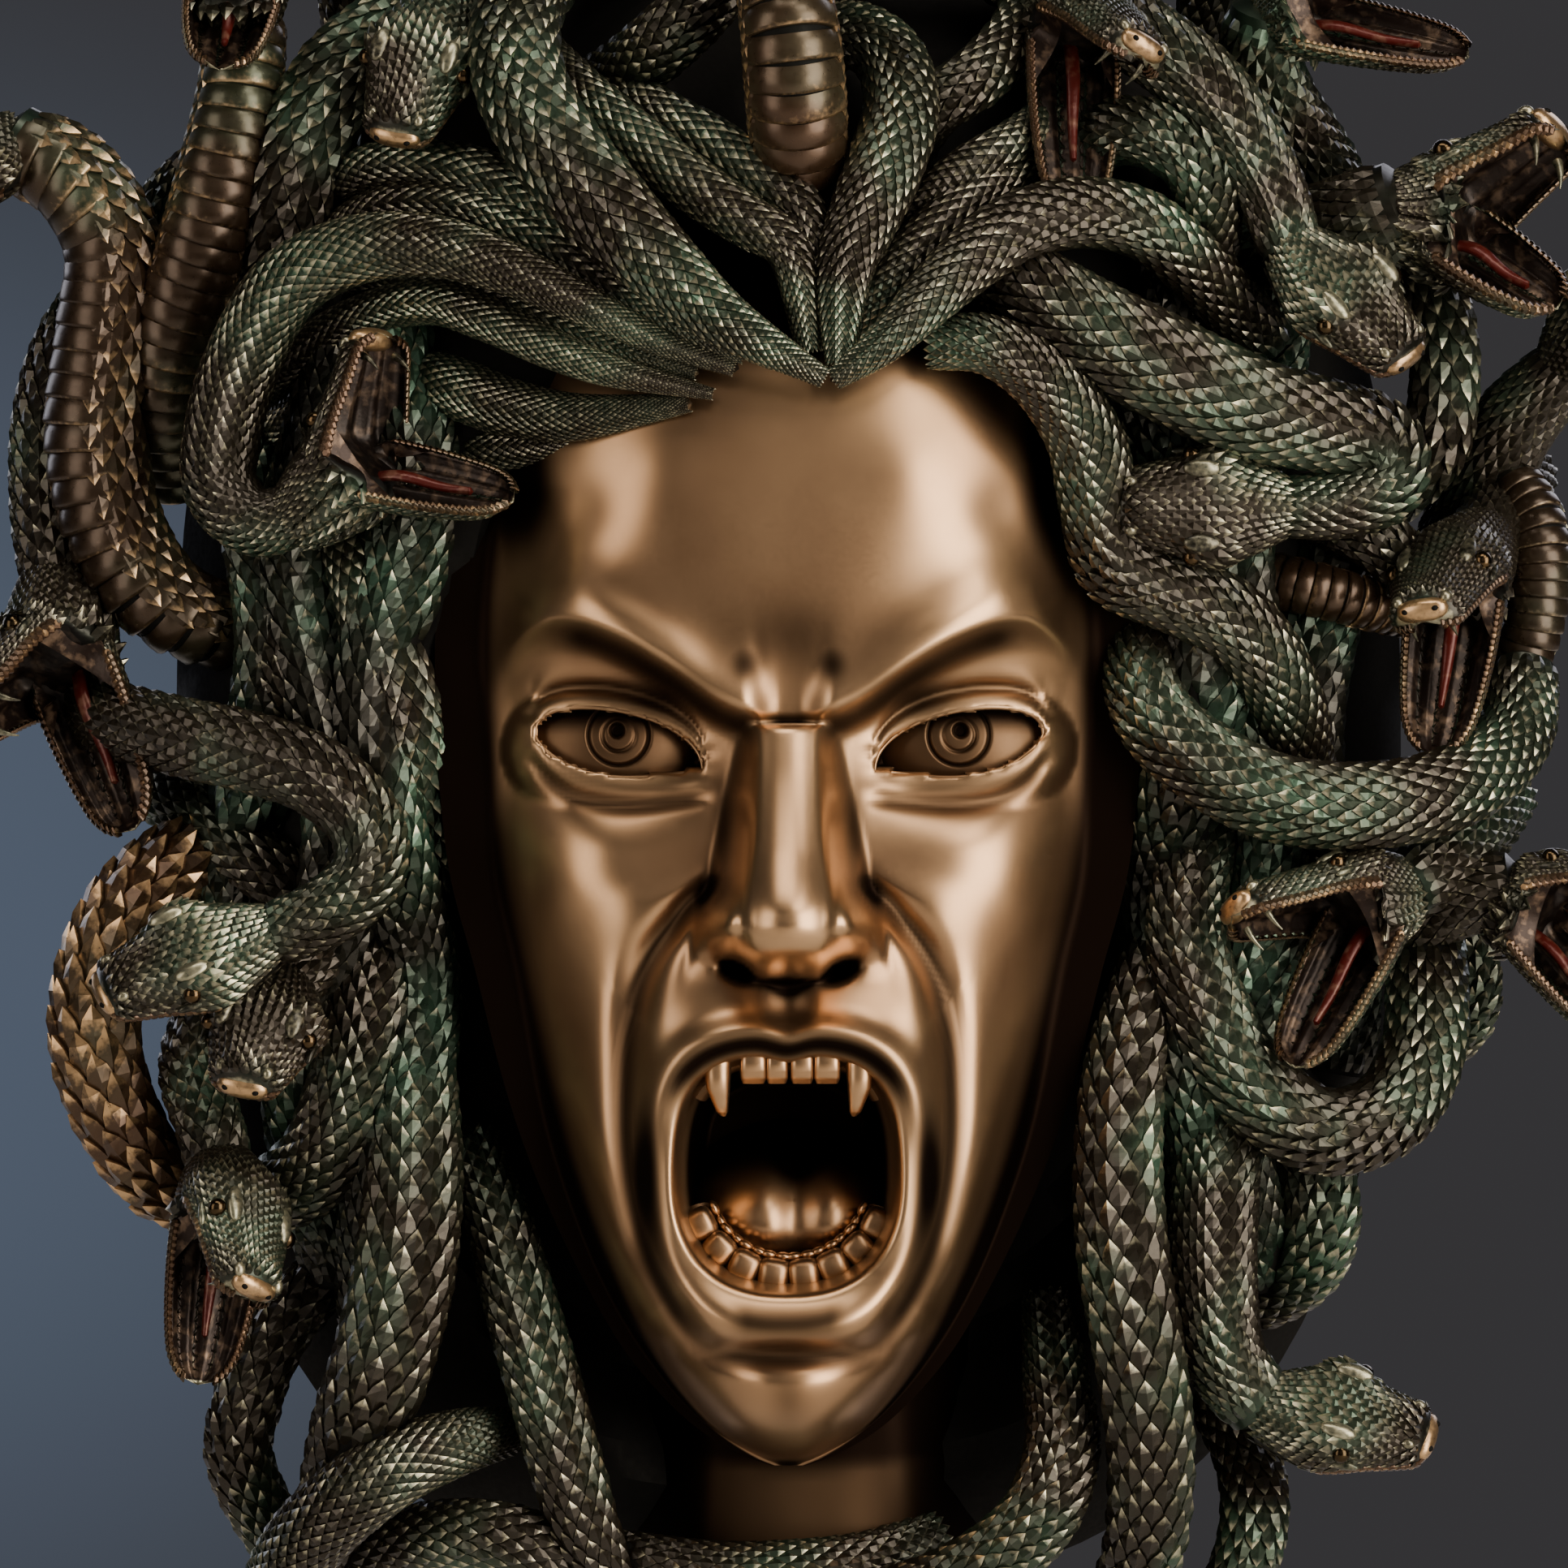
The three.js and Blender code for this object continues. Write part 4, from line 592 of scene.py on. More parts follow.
@dataclass
class Mouth:
    """What the open mouth shows: incisors, fangs, the row of lower teeth, the gums and the tongue."""

    incisors: tuple = ((-2.25, 0.86), (-0.74, 0.72), (0.85, 0.76), (2.45, 0.86))
    incisor_top: float = -15.6
    incisor_foot: float = -19.1
    incisor_depth: float = 32.3
    fang_u: float = 4.55
    fang_tip: float = -21.2
    lower_count: int = 8
    arc_size: float = 6.3
    arc_w: float = -25.6
    arc_rise: float = 5.9
    lower_depth: float = 28.6
    tongue: tuple[float, float, float] = (0.2, -26.8, 22.4)
    tongue_size: tuple[float, float, float] = (6.9, 5.4, 5.8)

    def peg(self, cast: Casting, route: list[Vec], sizes: list[tuple[float, float]], power: float) -> None:
        """Adds a tooth: a rounded block lofted along a route.

        Args:
            cast: What it is added to.
            route: (u, w, d) points from root to tip.
            sizes: Half width and half thickness at each point.
            power: 2 for a round section, more for a squarer one.
        """
        turn = circle(20)
        bulge = [np.sign(f) * np.abs(f) ** (2 / power) for f in (np.cos(turn), np.sin(turn))]
        share = np.linspace(0, 1, 13)
        stations = np.linspace(0, 1, len(route))
        line = sampled(share, stations, np.array(route))
        half = sampled(share, stations, np.array(sizes))
        rings = np.stack([
            line[:, :1] + half[:, :1] * bulge[0],
            np.broadcast_to(line[:, 1:2], (13, 20)),
            line[:, 2:] + half[:, 1:] * bulge[1]], -1)
        points = place(rings[..., 0], rings[..., 1], rings[..., 2])
        rub = 0.35 + 0.3 * share[:, None] + 0 * turn
        # Painted shade: each tooth darkens towards its root.
        cast.grid(points, wrap=True, rub=rub, recess=np.clip(0.7 - 2.5 * share, 0, 1)[:, None] + 0 * turn)
        cast.cap(points[-1], 0.3 * (points[-1].mean(0) - points[-2].mean(0)), rub=0.6)

    def upper_teeth(self, cast: Casting) -> None:
        """Adds two pairs of incisors and the two fangs."""
        for u, half in self.incisors:
            d, top, foot = self.incisor_depth, self.incisor_top, self.incisor_foot
            self.peg(cast, [(u, top, d), (u, top - 2.6, d + 0.15), (u, foot + 0.35, d), (u, foot, d - 0.1)],
                     [(half, 0.85), (half, 0.8), (half * 0.97, 0.55), (half * 0.8, 0.2)], 3.4)
        for side in (-1, 1):
            u, d, tip = side * self.fang_u, self.incisor_depth, self.fang_tip
            self.peg(cast, [(u, self.incisor_top - 0.5, d - 1.2), (u, -17.4, d + 0.1),
                            (u - side * 0.05, -19.4, d + 0.05), (u - side * 0.3, tip + 0.3, d - 0.5),
                            (u - side * 0.38, tip, d - 0.7)],
                     [(0.85, 0.8), (0.92, 0.9), (0.76, 0.7), (0.38, 0.36), (0.14, 0.14)], 2.2)

    def lower_teeth(self, cast: Casting) -> None:
        """Adds the arc of rounded lower teeth and the beaded gum in front of it."""
        turn = np.linspace(math.radians(-163), math.radians(-17), 400)
        u, w = (self.arc_size * np.cos(turn), self.arc_w + self.arc_rise * np.sin(turn))
        run = np.concatenate([[0], np.cumsum(np.hypot(np.diff(u), np.diff(w)))])
        pitch = run[-1] / self.lower_count
        for k in range(self.lower_count):
            angle = float(np.interp((k + 0.5) * pitch, run, turn))
            share = abs(2 * (k + 0.5) / self.lower_count - 1)
            spot_u, spot_w = self.arc_size * math.cos(angle), self.arc_w + self.arc_rise * math.sin(angle)
            slope = math.atan2(self.arc_rise * math.cos(angle), -self.arc_size * math.sin(angle))
            depth = self.lower_depth - 1.2 * share * share
            right = place(math.cos(slope), math.sin(slope), 0.0)
            up = place(-math.sin(slope), math.cos(slope), 0.0)
            out = place(0.0, 0.0, 1.0)
            tooth = np.array([right * 0.56 * pitch, out * -1.6, up * (1.12 - 0.15 * share)])
            # Painted shade: the teeth are darkened a little, as the shade inside the mouth.
            cast.ovoid(place(spot_u, spot_w, depth), tooth, sides=22, rings=14, power=3.3,
                       rub=0.2, recess=0.3)
            for lean in (-0.25, 0.25):
                gum = place(spot_u, spot_w, depth - 0.2) + up * 1.25 + right * lean * pitch
                cast.ovoid(gum, np.array([right * 0.3 * pitch, out * -0.6, up * 0.3]), rub=0.15)
        # Painted shade: the gum line behind the teeth is darkened more.
        line = place(u, w, self.lower_depth - 1.3 - 1.2 * np.abs(np.linspace(-1, 1, 400)) ** 2)[::6]
        cast.grid(tube(line, np.full(len(line), 1.1), 14), wrap=True, recess=0.6)

    def soft_parts(self, cast: Casting) -> None:
        """Adds the tongue, a mound with a groove down its middle, and the upper gum."""
        at_u, at_w, at_d = self.tongue
        ru, rw, rise = self.tongue_size
        rings = np.sin(0.5 * math.pi * np.linspace(0, 1, 30))[:, None]
        turn = circle(52)[None, :]
        x, y = rings * np.cos(turn), rings * np.sin(turn)
        dome = np.maximum(1 - rings**2.6, 0) ** 0.6
        groove = bell(x - 0.05, 0.2)
        d = at_d + rise * dome * (1 - 0.16 * groove) - 3.2 * ease(-0.4, 1, y)
        # Painted shade: the tongue darkens in its groove, at its rim and over its top, which slopes back into
        # the mouth; the upper gum is darkened too.
        cast.grid(place(at_u + ru * x, at_w + rw * y, d), wrap=True, rub=0.15,
                  recess=np.clip(0.3 * groove + 0.8 * rings**10 + 0.75 * ease(-0.2, 0.6, y), 0, 1) + 0 * turn)
        t = np.linspace(-1, 1, 40)
        line = place(6 * t, -17.2 - 2.6 * t**4, 30.4 - 1.6 * t * t)
        cast.grid(tube(line, np.full(40, 0.9), 14), wrap=True, recess=0.6)

    def build(self, finishes: list[bpy.types.Material]) -> bpy.types.Object:
        """Makes the teeth, gums and tongue.

        Args:
            finishes: The polished bronze.

        Returns:
            The piece.
        """
        cast = Casting()
        self.upper_teeth(cast)
        self.lower_teeth(cast)
        self.soft_parts(cast)
        return cast.build("mouth_teeth_tongue", finishes)


@dataclass
class Body:
    """The neck and the body of the casting behind the snakes, with its flat back and keyhole for hanging."""

    half_width: float = 40.0
    half_height: float = 55.0
    middle: float = 2.0
    power: float = 2.6
    bevel: float = 0.8
    face_bed: float = 14.0
    dome: tuple[float, float, float, float, float, float] = (43.0, 58.0, 3.0, 29.0, 0.4, 1.5)
    neck_u: float = 1.2
    neck_half: float = 12.8
    neck_edge: float = 7.0
    neck_rise: float = 12.5
    neck_top: float = -30.0
    neck_foot: float = -57.0
    entry_mm: float = 12.0
    slot_mm: float = 6.0
    rise_mm: float = 14.0
    recess_mm: float = 10.0
    height_mm: float = 60.0

    def reach(self, u: Array, w: Array, half_u: float, half_w: float, middle: float) -> Array:
        """Distance from the middle of a rounded rectangle, 1 on its edge."""
        x, y = np.abs(u / half_u), np.abs((w - middle) / half_w)
        return (x ** self.power + y ** self.power) ** (1 / self.power)

    def front(self, u: Array, w: Array) -> Array:
        """Depth of the body's front behind the snakes, the same as the cast body's."""
        half_u, half_w, middle, rise, fullness, sunk = self.dome
        slope = np.maximum(1 - self.reach(u, w, half_u, half_w, middle) ** 2, 0)
        dome = rise * slope**fullness - sunk
        beyond = ease(0.95, 1.15, np.hypot(u / 23, (w + 9) / 35))
        return self.face_bed + (dome - self.face_bed) * beyond

    def neck_front(self, u: Array) -> Array:
        """Depth of the neck's front across its width."""
        across = np.clip((u - self.neck_u) / self.neck_half, -1, 1)
        return self.neck_edge + self.neck_rise * np.sqrt(1 - across * across)

    def outline(self, sectors: int, shrink: float = 0.0) -> Array:
        """Points (u, w) round the body's edge, drawn in by shrink."""
        turn = circle(sectors)
        across, upright = self.half_width * np.cos(turn), self.half_height * np.sin(turn)
        scale = 1 / self.reach(across, self.middle + upright, self.half_width, self.half_height, self.middle)
        scale = scale * (1 - shrink / self.half_width)
        return np.stack([across * scale, self.middle + upright * scale], -1)

    def coils(self) -> list["Snake"]:
        """The plain coils that fill the shadow between the snakes, half sunk in the body's front."""
        made = []
        for k, across in enumerate((-34.5, -30, -25.5, 25.5, 30, 34.5)):
            room = (0.9**self.power - abs(across / self.half_width) ** self.power) ** (1 / self.power)
            w = self.middle + self.half_height * room * np.linspace(-1, 1, 21)
            u = across + 1.5 * np.sin(w / 5.5 + 2.1 * k)
            route = [tuple(map(float, spot)) for spot in zip(u, w, self.front(u, w) + 0.4, strict=True)]
            made.append(Snake(f"deep_coil_{k}", (2.2, 2.8, 2.1), route, leaf=1.25, gilt=-0.3))
        return made

    def keyhole(self) -> Array:
        """Points (u, w) round the keyhole for hanging: a round entry and the slot rising from it."""
        mm = 0.001 / UNIT
        entry, slot, foot, top = (self.entry_mm / 2 * mm, self.slot_mm / 2 * mm, self.height_mm * mm,
                                  (self.height_mm + self.rise_mm) * mm)
        open_ = math.asin(slot / entry)
        low = np.linspace(math.pi / 2 + open_, 2.5 * math.pi - open_, 25)
        high = np.linspace(0, math.pi, 13)
        return np.vstack([
            np.stack([entry * np.cos(low), foot + entry * np.sin(low)], -1),
            np.stack([slot * np.cos(high), top + slot * np.sin(high)], -1)])

    def build_back(self, finishes: list[bpy.types.Material]) -> bpy.types.Object:
        """Makes the body of the casting: domed front, rounded edge, flat back and keyhole.

        Args:
            finishes: The snakes' patina; on the front it is painted near-black as shade.

        Returns:
            The piece.
        """
        cast = Casting()
        sectors = 120
        edge = self.outline(sectors)
        shares = np.linspace(0.02, 1, 24)[:, None, None]
        spread = np.array([0.0, self.middle]) + (edge - [0.0, self.middle]) * shares
        front = place(spread[..., 0], spread[..., 1], self.front(spread[..., 0], spread[..., 1]))
        # Painted shade: the front, seen only between the snakes, is near-black.
        cast.grid(front, wrap=True, recess=1.0)
        cast.cap(front[0], np.zeros(3), turned=True, recess=1.0)
        depth = self.front(edge[:, 0], edge[:, 1])
        levels = [(0.0, depth), (0.0, 0.5 * depth), (0.0, self.bevel + 0 * depth)]
        levels += [(self.bevel * (1 - math.cos(a)), self.bevel * (1 - math.sin(a)) + 0 * depth)
                   for a in np.linspace(0, math.pi / 2, 5)[1:]]
        side = []
        for shrink, level in levels:
            ring = self.outline(sectors, shrink)
            side.append(place(ring[:, 0], ring[:, 1], level))
        # Painted shade: the side wall darkens towards the front; its rear edge is rubbed.
        shade = np.interp(np.arange(len(side)), [0, 1, 2, len(side) - 1], [0.9, 0.6, 0.4, 0.2])
        shade = shade[:, None] + np.zeros(sectors)
        cast.grid(np.array(side), wrap=True, recess=shade, rub=0.85 - 0.8 * shade, tone=0.4)
        hole = self.keyhole()
        floor = self.recess_mm * 0.001 / UNIT
        walls = np.array([place(hole[:, 0], hole[:, 1], level) for level in (floor, floor / 2, 0.0)])
        # Painted shade: the keyhole darkens towards its floor.
        worn = np.array([[0.0], [0.2], [1.0]]) + np.zeros(len(hole))
        cast.grid(walls, wrap=True, turned=True, recess=0.9 - 0.9 * worn, rub=0.75 * worn, tone=0.4 * worn)
        cast.cap(walls[0], np.zeros(3), turned=True, recess=0.9)
        ring = self.outline(sectors, self.bevel)
        rim = np.vstack([place(ring[:, 0], ring[:, 1], 0.0), place(hole[:, 0], hole[:, 1], 0.0)])
        shape = bmesh.new()
        corners = [shape.verts.new(p) for p in rim]
        loops = [corners[:sectors], corners[sectors:]]
        edges = [shape.edges.new(ends) for loop in loops
                 for ends in zip(loop, loop[1:] + loop[:1], strict=True)]
        filled = bmesh.ops.triangle_fill(shape, use_beauty=True, use_dissolve=False, edges=edges)
        shape.verts.index_update()
        faces = [[v.index for v in f.verts] for f in filled["geom"] if isinstance(f, bmesh.types.BMFace)]
        flip = [f for f in faces if np.cross(rim[f[1]] - rim[f[0]], rim[f[2]] - rim[f[0]])[1] < 0]
        faces = [f[::-1] if f in flip else f for f in faces]
        shape.free()
        cast.skin(rim, np.array(faces), rub=0.75, tone=0.4)
        piece = cast.build("cast_body", finishes, weld=0.002)
        piece.data.set_sharp_from_angle(angle=math.radians(35))
        for polygon in piece.data.polygons:
            polygon.use_smooth = polygon.use_smooth and abs(polygon.normal.y) < 0.999
        return piece

    def build_neck(self, finishes: list[bpy.types.Material]) -> bpy.types.Object:
        """Makes the neck: a polished half column with two faint cords under the skin.

        Args:
            finishes: The polished bronze.

        Returns:
            The piece.
        """
        cast = Casting()
        w = np.linspace(self.neck_foot, self.neck_top, 40)[:, None]
        turn = np.linspace(math.pi, 0, 60)[None, :]
        u = self.neck_u + self.neck_half * np.cos(turn) + 0 * w
        d = self.neck_front(u)
        side = (u - self.neck_u) / self.neck_half
        d = d + 0.35 * bell(np.abs(side) - 0.5 + 0.01 * (w + 45), 0.12) - 0.3 * bell(side, 0.25)
        depth = np.hstack([0.08 + 0 * d[:, :1], d, 0.08 + 0 * d[:, :1]])
        across = np.hstack([u[:, :1], u, u[:, -1:]])
        points = place(across, np.broadcast_to(w, across.shape), depth)
        # Painted shade: the neck darkens towards its sides, which turn from the light, and up under the chin;
        # its ends are dark, and only the edges at the wall stay light.
        recess = 0.62 + 0.38 * np.abs(np.clip((across - self.neck_u) / self.neck_half, -1, 1)) ** 1.5
        recess = np.maximum(recess, 0.9 * ease(-50, -42, w))
        recess[:, [0, -1]] = 0.1
        cast.grid(points, wrap=True, recess=recess)
        cast.cap(points[0], np.zeros(3), turned=True, recess=0.9)
        cast.cap(points[-1], np.zeros(3), recess=0.9)
        return cast.build("neck", finishes)


@dataclass(frozen=True)
class Belly:
    """Where a snake shows the broad plates of its underside: their direction and half angle."""

    towards: Vec
    half_angle: float


@dataclass(frozen=True)
class ShutHead:
    """A head with its mouth shut."""

    snout: Vec
    up: Vec
    sections: tuple = (
        (0, 2.2, 2.1, 2.1), (0.22, 3.3, 2.5, 2.2), (0.42, 3.9, 2.7, 2), (0.68, 3, 2.3, 1.7),
        (0.88, 2.4, 1.9, 1.4), (0.96, 2, 1.5, 1.1), (1, 1.1, 0.8, 0.6))


@dataclass(frozen=True)
class OpenHead:
    """A head with its mouth open: where the jaws meet, and where each points and how long it is."""

    hinge: Vec
    upper_aim: Vec
    upper_length: float
    lower_aim: Vec
    lower_length: float
    scale: float = 1.0
    skull_lift: float = 1.6
    skull: tuple = (
        (-1.25, 1.9, 1.8, 1.8), (-1, 2.35, 2.2, 2.2), (-0.5, 3.2, 2.5, 2.6), (0, 3.9, 2.6, 2.6),
        (0.35, 3.4, 2.3, 1.5), (0.65, 2.8, 2.1, 1.4), (0.88, 2.4, 1.9, 1.2), (0.96, 2.1, 1.5, 1),
        (1, 1.2, 0.8, 0.6))
    jaw: tuple = (
        (-0.55, 1.9, 1.6, 1.7), (-0.3, 2.3, 1.6, 2), (-0.12, 2.8, 0.9, 2), (0, 3.1, 0.5, 1.9),
        (0.4, 3, 0.4, 1.7), (0.8, 2.4, 0.35, 1.3), (0.94, 1.7, 0.3, 0.9), (1, 0.9, 0.25, 0.5))
    roll: float = 0.7


@dataclass(frozen=True)
class Snake:
    """One snake of the nest.

    girth is its radius at the start, where it is fullest and at the end. route runs from the
    buried end to the head or the tail tip. leaf is the width of its scales, and gilt is how much
    bare, rubbed metal they show.
    """

    name: str
    girth: Vec
    route: list[Vec]
    leaf: float = 1.0
    gilt: float = 0.1
    fullest: float = 0.5
    belly: Belly | None = None
    head: ShutHead | OpenHead | None = None


@dataclass
class Course:
    """A snake's middle line at even steps, with its directions and radius there."""

    line: Array
    forward: Array
    sideways: Array
    upward: Array
    radius: Array
    length: float

    @classmethod
    def of(cls, snake: Snake, step: float) -> "Course":
        """Follows a snake's route.

        Args:
            snake: The snake.
            step: The distance between the points, in units.

        Returns:
            Its course.
        """
        knots = place(*np.array(snake.route, float).T)
        knots = np.vstack([2 * knots[0] - knots[1], knots, 2 * knots[-1] - knots[-2]])
        t = np.linspace(0, 1, 41)[:-1, None]
        spans = []
        for k in range(1, len(knots) - 2):
            a, b = knots[k], knots[k + 1]
            lead, trail = 0.5 * (b - knots[k - 1]), 0.5 * (knots[k + 2] - a)
            spans.append(a * (2 * t**3 - 3 * t**2 + 1) + lead * (t**3 - 2 * t**2 + t)
                         + b * (3 * t**2 - 2 * t**3) + trail * (t**3 - t**2))
        dense = np.vstack([*spans, knots[-2:-1]])
        run = run_along(dense)
        steps = max(6, round(run[-1] / step))
        at = np.linspace(0, run[-1], steps + 1)
        line = sampled(at, run, dense)
        forward = unit(np.gradient(line, axis=0))
        upward = np.zeros_like(line)
        current = np.array([0.0, -1.0, 0.0])
        for k, ahead in enumerate(forward):
            current = unit(current - ahead * current.dot(ahead))
            upward[k] = current
        share = np.linspace(0, 1, steps + 1)
        start, full, end = snake.girth
        rising = start + (full - start) * np.sin(0.5 * math.pi * share / snake.fullest)
        falling = end + (full - end) * np.cos(0.5 * math.pi * (share - snake.fullest) / (1 - snake.fullest))
        radius = np.where(share < snake.fullest, rising, falling)
        return cls(line, forward, np.cross(upward, forward), upward, radius, float(run[-1]))

    def at(self, distance: Array) -> "Course":
        """The course read at distances along it."""
        own = np.linspace(0, self.length, len(self.line))
        frame = (self.line, self.forward, self.sideways, self.upward)
        line, *ways = (sampled(distance, own, rows) for rows in frame)
        return Course(line, *map(unit, ways), np.interp(distance, own, self.radius), self.length)


class Seats:
    """The places where scales are set, each with its outward and tipward direction."""

    def __init__(self) -> None:
        """Starts with none."""
        self.rows: dict[str, list[Array]] = {
            "position": [], "facing": [], "heading": [], "size": [], "kind": [], "gilt": []}

    def add(self, position: Array, facing: Array, tipward: Array, size: Array,
            kind: Plate, gilt: float) -> None:
        """Adds scales of one kind.

        Args:
            position: Their places, n by 3, in units.
            facing: Their outward directions.
            tipward: The directions in which their tips point.
            size: Their widths.
            kind: The plate that is set there.
            gilt: How much bare metal they show.
        """
        count = len(position)
        self.rows["position"].append(position)
        self.rows["facing"].append(facing)
        self.rows["heading"].append(tipward)
        self.rows["size"].append(np.broadcast_to(size, count))
        self.rows["kind"].append(np.full(count, kind.value))
        self.rows["gilt"].append(np.full(count, gilt))

    def keep(self, chosen: Array) -> None:
        """Keeps only the chosen seats."""
        for name, values in self.rows.items():
            self.rows[name] = [np.concatenate(values)[chosen]]

    def joined(self, name: str) -> Array:
        """All values of one kind in one array."""
        return np.concatenate(self.rows[name])

    def cloud(self, name: str) -> bpy.types.Object:
        """Makes the seats an unlinked object of loose points for the node tree."""
        mesh = bpy.data.meshes.new(name)
        mesh.from_pydata((self.joined("position") * UNIT).tolist(), [], [])
        for key in ("facing", "heading"):
            trait = mesh.attributes.new(key, "FLOAT_VECTOR", "POINT")
            trait.data.foreach_set("vector", self.joined(key).ravel())
        for key, scale in (("size", UNIT), ("gilt", 1.0), ("kind", 1.0)):
            trait = mesh.attributes.new(key, "FLOAT", "POINT")
            trait.data.foreach_set("value", self.joined(key) * scale)
        return bpy.data.objects.new(name, mesh)


class Finish(Enum):
    """Slots of the snakes' bodies."""

    SKIN = 0
    LINING = 1
    RED = 2
    EYE = 3


@dataclass
class SnakeMaker:
    """Builds one snake's body and head, and finds where its scales sit."""

    snake: Snake
    sides: int = 18
    row_share: float = 0.8
    sink: float = 0.12

    def body(self, cast: Casting, course: Course) -> None:
        """Adds the smooth body under the scales, with rounded ends."""
        turn = circle(self.sides)
        across, over = course.sideways[:, None], course.upward[:, None]
        ring = across * np.cos(turn)[:, None] + over * np.sin(turn)[:, None]
        points = course.line[:, None] + ring * (course.radius * 0.95 - 0.02)[:, None, None]
        away = course.length * np.linspace(1, 0, len(points))
        # Painted shade: the body shows only between the scales and is darkened there, less near its head or
        # tail end; the buried end is darker.
        shade = (0.35 + 0.4 * ease(0, 4, away))[:, None] + 0 * turn
        cast.grid(points, wrap=True, recess=shade, tone=self.snake.gilt)
        ends = course.radius[[0, -1]] * 0.6
        cast.cap(points[0], -course.forward[0] * ends[0], turned=True, recess=0.75)
        cast.cap(points[-1], course.forward[-1] * ends[1], recess=0.5)

    def cover(self, seats: Seats, course: Course) -> None:
        """Sets the scales along the body in staggered rows, and the belly plates."""
        snake = self.snake
        widest = max(snake.girth)
        count = max(8, round(2 * math.pi * widest / snake.leaf))
        width = 2 * math.pi * widest / count
        tipward = 1.0 if snake.head is None and snake.girth[2] < snake.girth[0] else -1.0
        places = []
        at = 0.3 * width
        own = np.linspace(0, course.length, len(course.line))
        while at < course.length:
            places.append(at)
            slim = max(np.interp(at, own, course.radius) / widest, 0.3)
            at += self.row_share * width * slim
        here = course.at(np.array(places))
        rows = np.arange(len(places))
        angle = 2 * math.pi * (np.arange(count)[None, :] + 0.5 * (rows % 2)[:, None]) / count
        across, over = here.sideways[:, None], here.upward[:, None]
        facing = across * np.cos(angle)[..., None] + over * np.sin(angle)[..., None]
        slim = np.maximum(here.radius / widest, 0.3)[:, None]
        size = width * 1.04 * slim + 0 * angle
        position = here.line[:, None] + facing * (here.radius[:, None] - self.sink * slim)[..., None]
        tips = np.broadcast_to(tipward * here.forward[:, None], facing.shape)
        wanted = facing[..., 1] < 0.62
        if snake.belly:
            towards = heading(snake.belly.towards)
            level = unit(towards - here.forward * (here.forward @ towards)[:, None])
            wanted &= (facing * level[:, None]).sum(-1) < math.cos(snake.belly.half_angle * 0.93)
            self.belly_plates(seats, course, snake.belly, tipward)
        kind = Plate.FINE if width < 0.85 else Plate.LEAF
        seats.add(position[wanted], facing[wanted], tips[wanted], size[wanted], kind, snake.gilt)

    def belly_plates(self, seats: Seats, course: Course, belly: Belly, tipward: float) -> None:
        """Sets the broad plates of the underside, one behind another."""
        gap = 0.5 * max(self.snake.girth)
        here = course.at(np.arange(0.4 * gap, course.length, gap))
        towards = heading(belly.towards)
        level = unit(towards - here.forward * (here.forward @ towards)[:, None])
        gilt = max(self.snake.gilt, 0.3)
        seats.add(here.line, level, tipward * here.forward, here.radius, Plate.BAND, gilt)

    def lattice(self, seats: Seats, points: Array, chosen: Array) -> None:
        """Sets small scales on every second of the chosen points of a head's grid."""
        normals = grid_normals(points)
        rows, columns = np.indices(points.shape[:2])
        across = np.linalg.norm(np.gradient(points, axis=1), axis=-1)
        back = -unit(np.gradient(points, axis=0))
        pick = chosen & ((rows + columns) % 2 == 0) & (across > 0.1)
        pick[0] = pick[-1] = False
        size = np.clip(2 * across, 0.35, 1.1)
        spot = points[pick] - 0.04 * normals[pick]
        seats.add(spot, normals[pick], back[pick], size[pick], Plate.FINE, 0.12)

    def shut_head(self, cast: Casting, seats: Seats, head: ShutHead) -> None:
        """Adds a head with its mouth shut: skull, brows, eyes, nostrils and the lips' two rows."""
        start = place(*self.snake.route[-1])
        run = place(*head.snout) - start
        length = float(np.linalg.norm(run))
        forward = run / length
        upward = heading(head.up)
        upward = unit(upward - forward * upward.dot(forward))
        sideways = np.cross(upward, forward)
        share = np.concatenate([np.linspace(0, 0.94, 27), [0.965, 0.985, 1.0]])
        table = np.array(head.sections, float)
        sizes = [along(table[:, [0, k]], share) for k in (1, 2, 3)]
        columns = 38
        turn = circle(columns)
        rise = np.where(np.sin(turn) > 0, sizes[1][:, None], sizes[2][:, None]) * np.sin(turn)
        brows = bell(turn - 0.85, 0.3) + bell(turn - math.pi + 0.85, 0.3)
        brow = 0.5 * bell(share[:, None] - 0.5, 0.16) * brows
        lip = -0.16 * ease(0.35, 0.5, share)[:, None] * bell(np.sin(turn) + 0.3, 0.12)
        swell = 1 + (brow + lip) / 2.6
        ring = sideways * (sizes[0][:, None] * np.cos(turn))[..., None] + upward * rise[..., None]
        points = (start + run * share[:, None])[:, None] + ring * swell[..., None]
        nosed = ease(0.93, 0.99, share)[:, None] + 0 * turn
        # Painted shade: the skin between the head's scales is darkened, all but the rubbed tip of the snout.
        cast.grid(points, wrap=True, recess=0.6 * (1 - nosed), rub=0.95 * nosed, tone=self.snake.gilt)
        cast.cap(points[-1], 0.3 * forward, rub=0.95)
        self.snout(cast, points[-1].mean(0), upward, forward, 1.0)
        height = np.broadcast_to(np.sin(turn), points.shape[:2])
        shown = (height > -0.15) | (height < -0.5)
        self.lattice(seats, points, shown & (share < 0.97)[:, None])
        for mirror in (-1, 1):
            self.face_marks(cast, points, share, sideways * mirror, upward, forward, mirror)
            for level, size in ((-0.2, 0.62), (-0.42, 0.58)):
                angle = math.asin(level) if mirror > 0 else math.pi - math.asin(level)
                self.lip_row(seats, points, turn, share, angle % (2 * math.pi), size, 0.42)

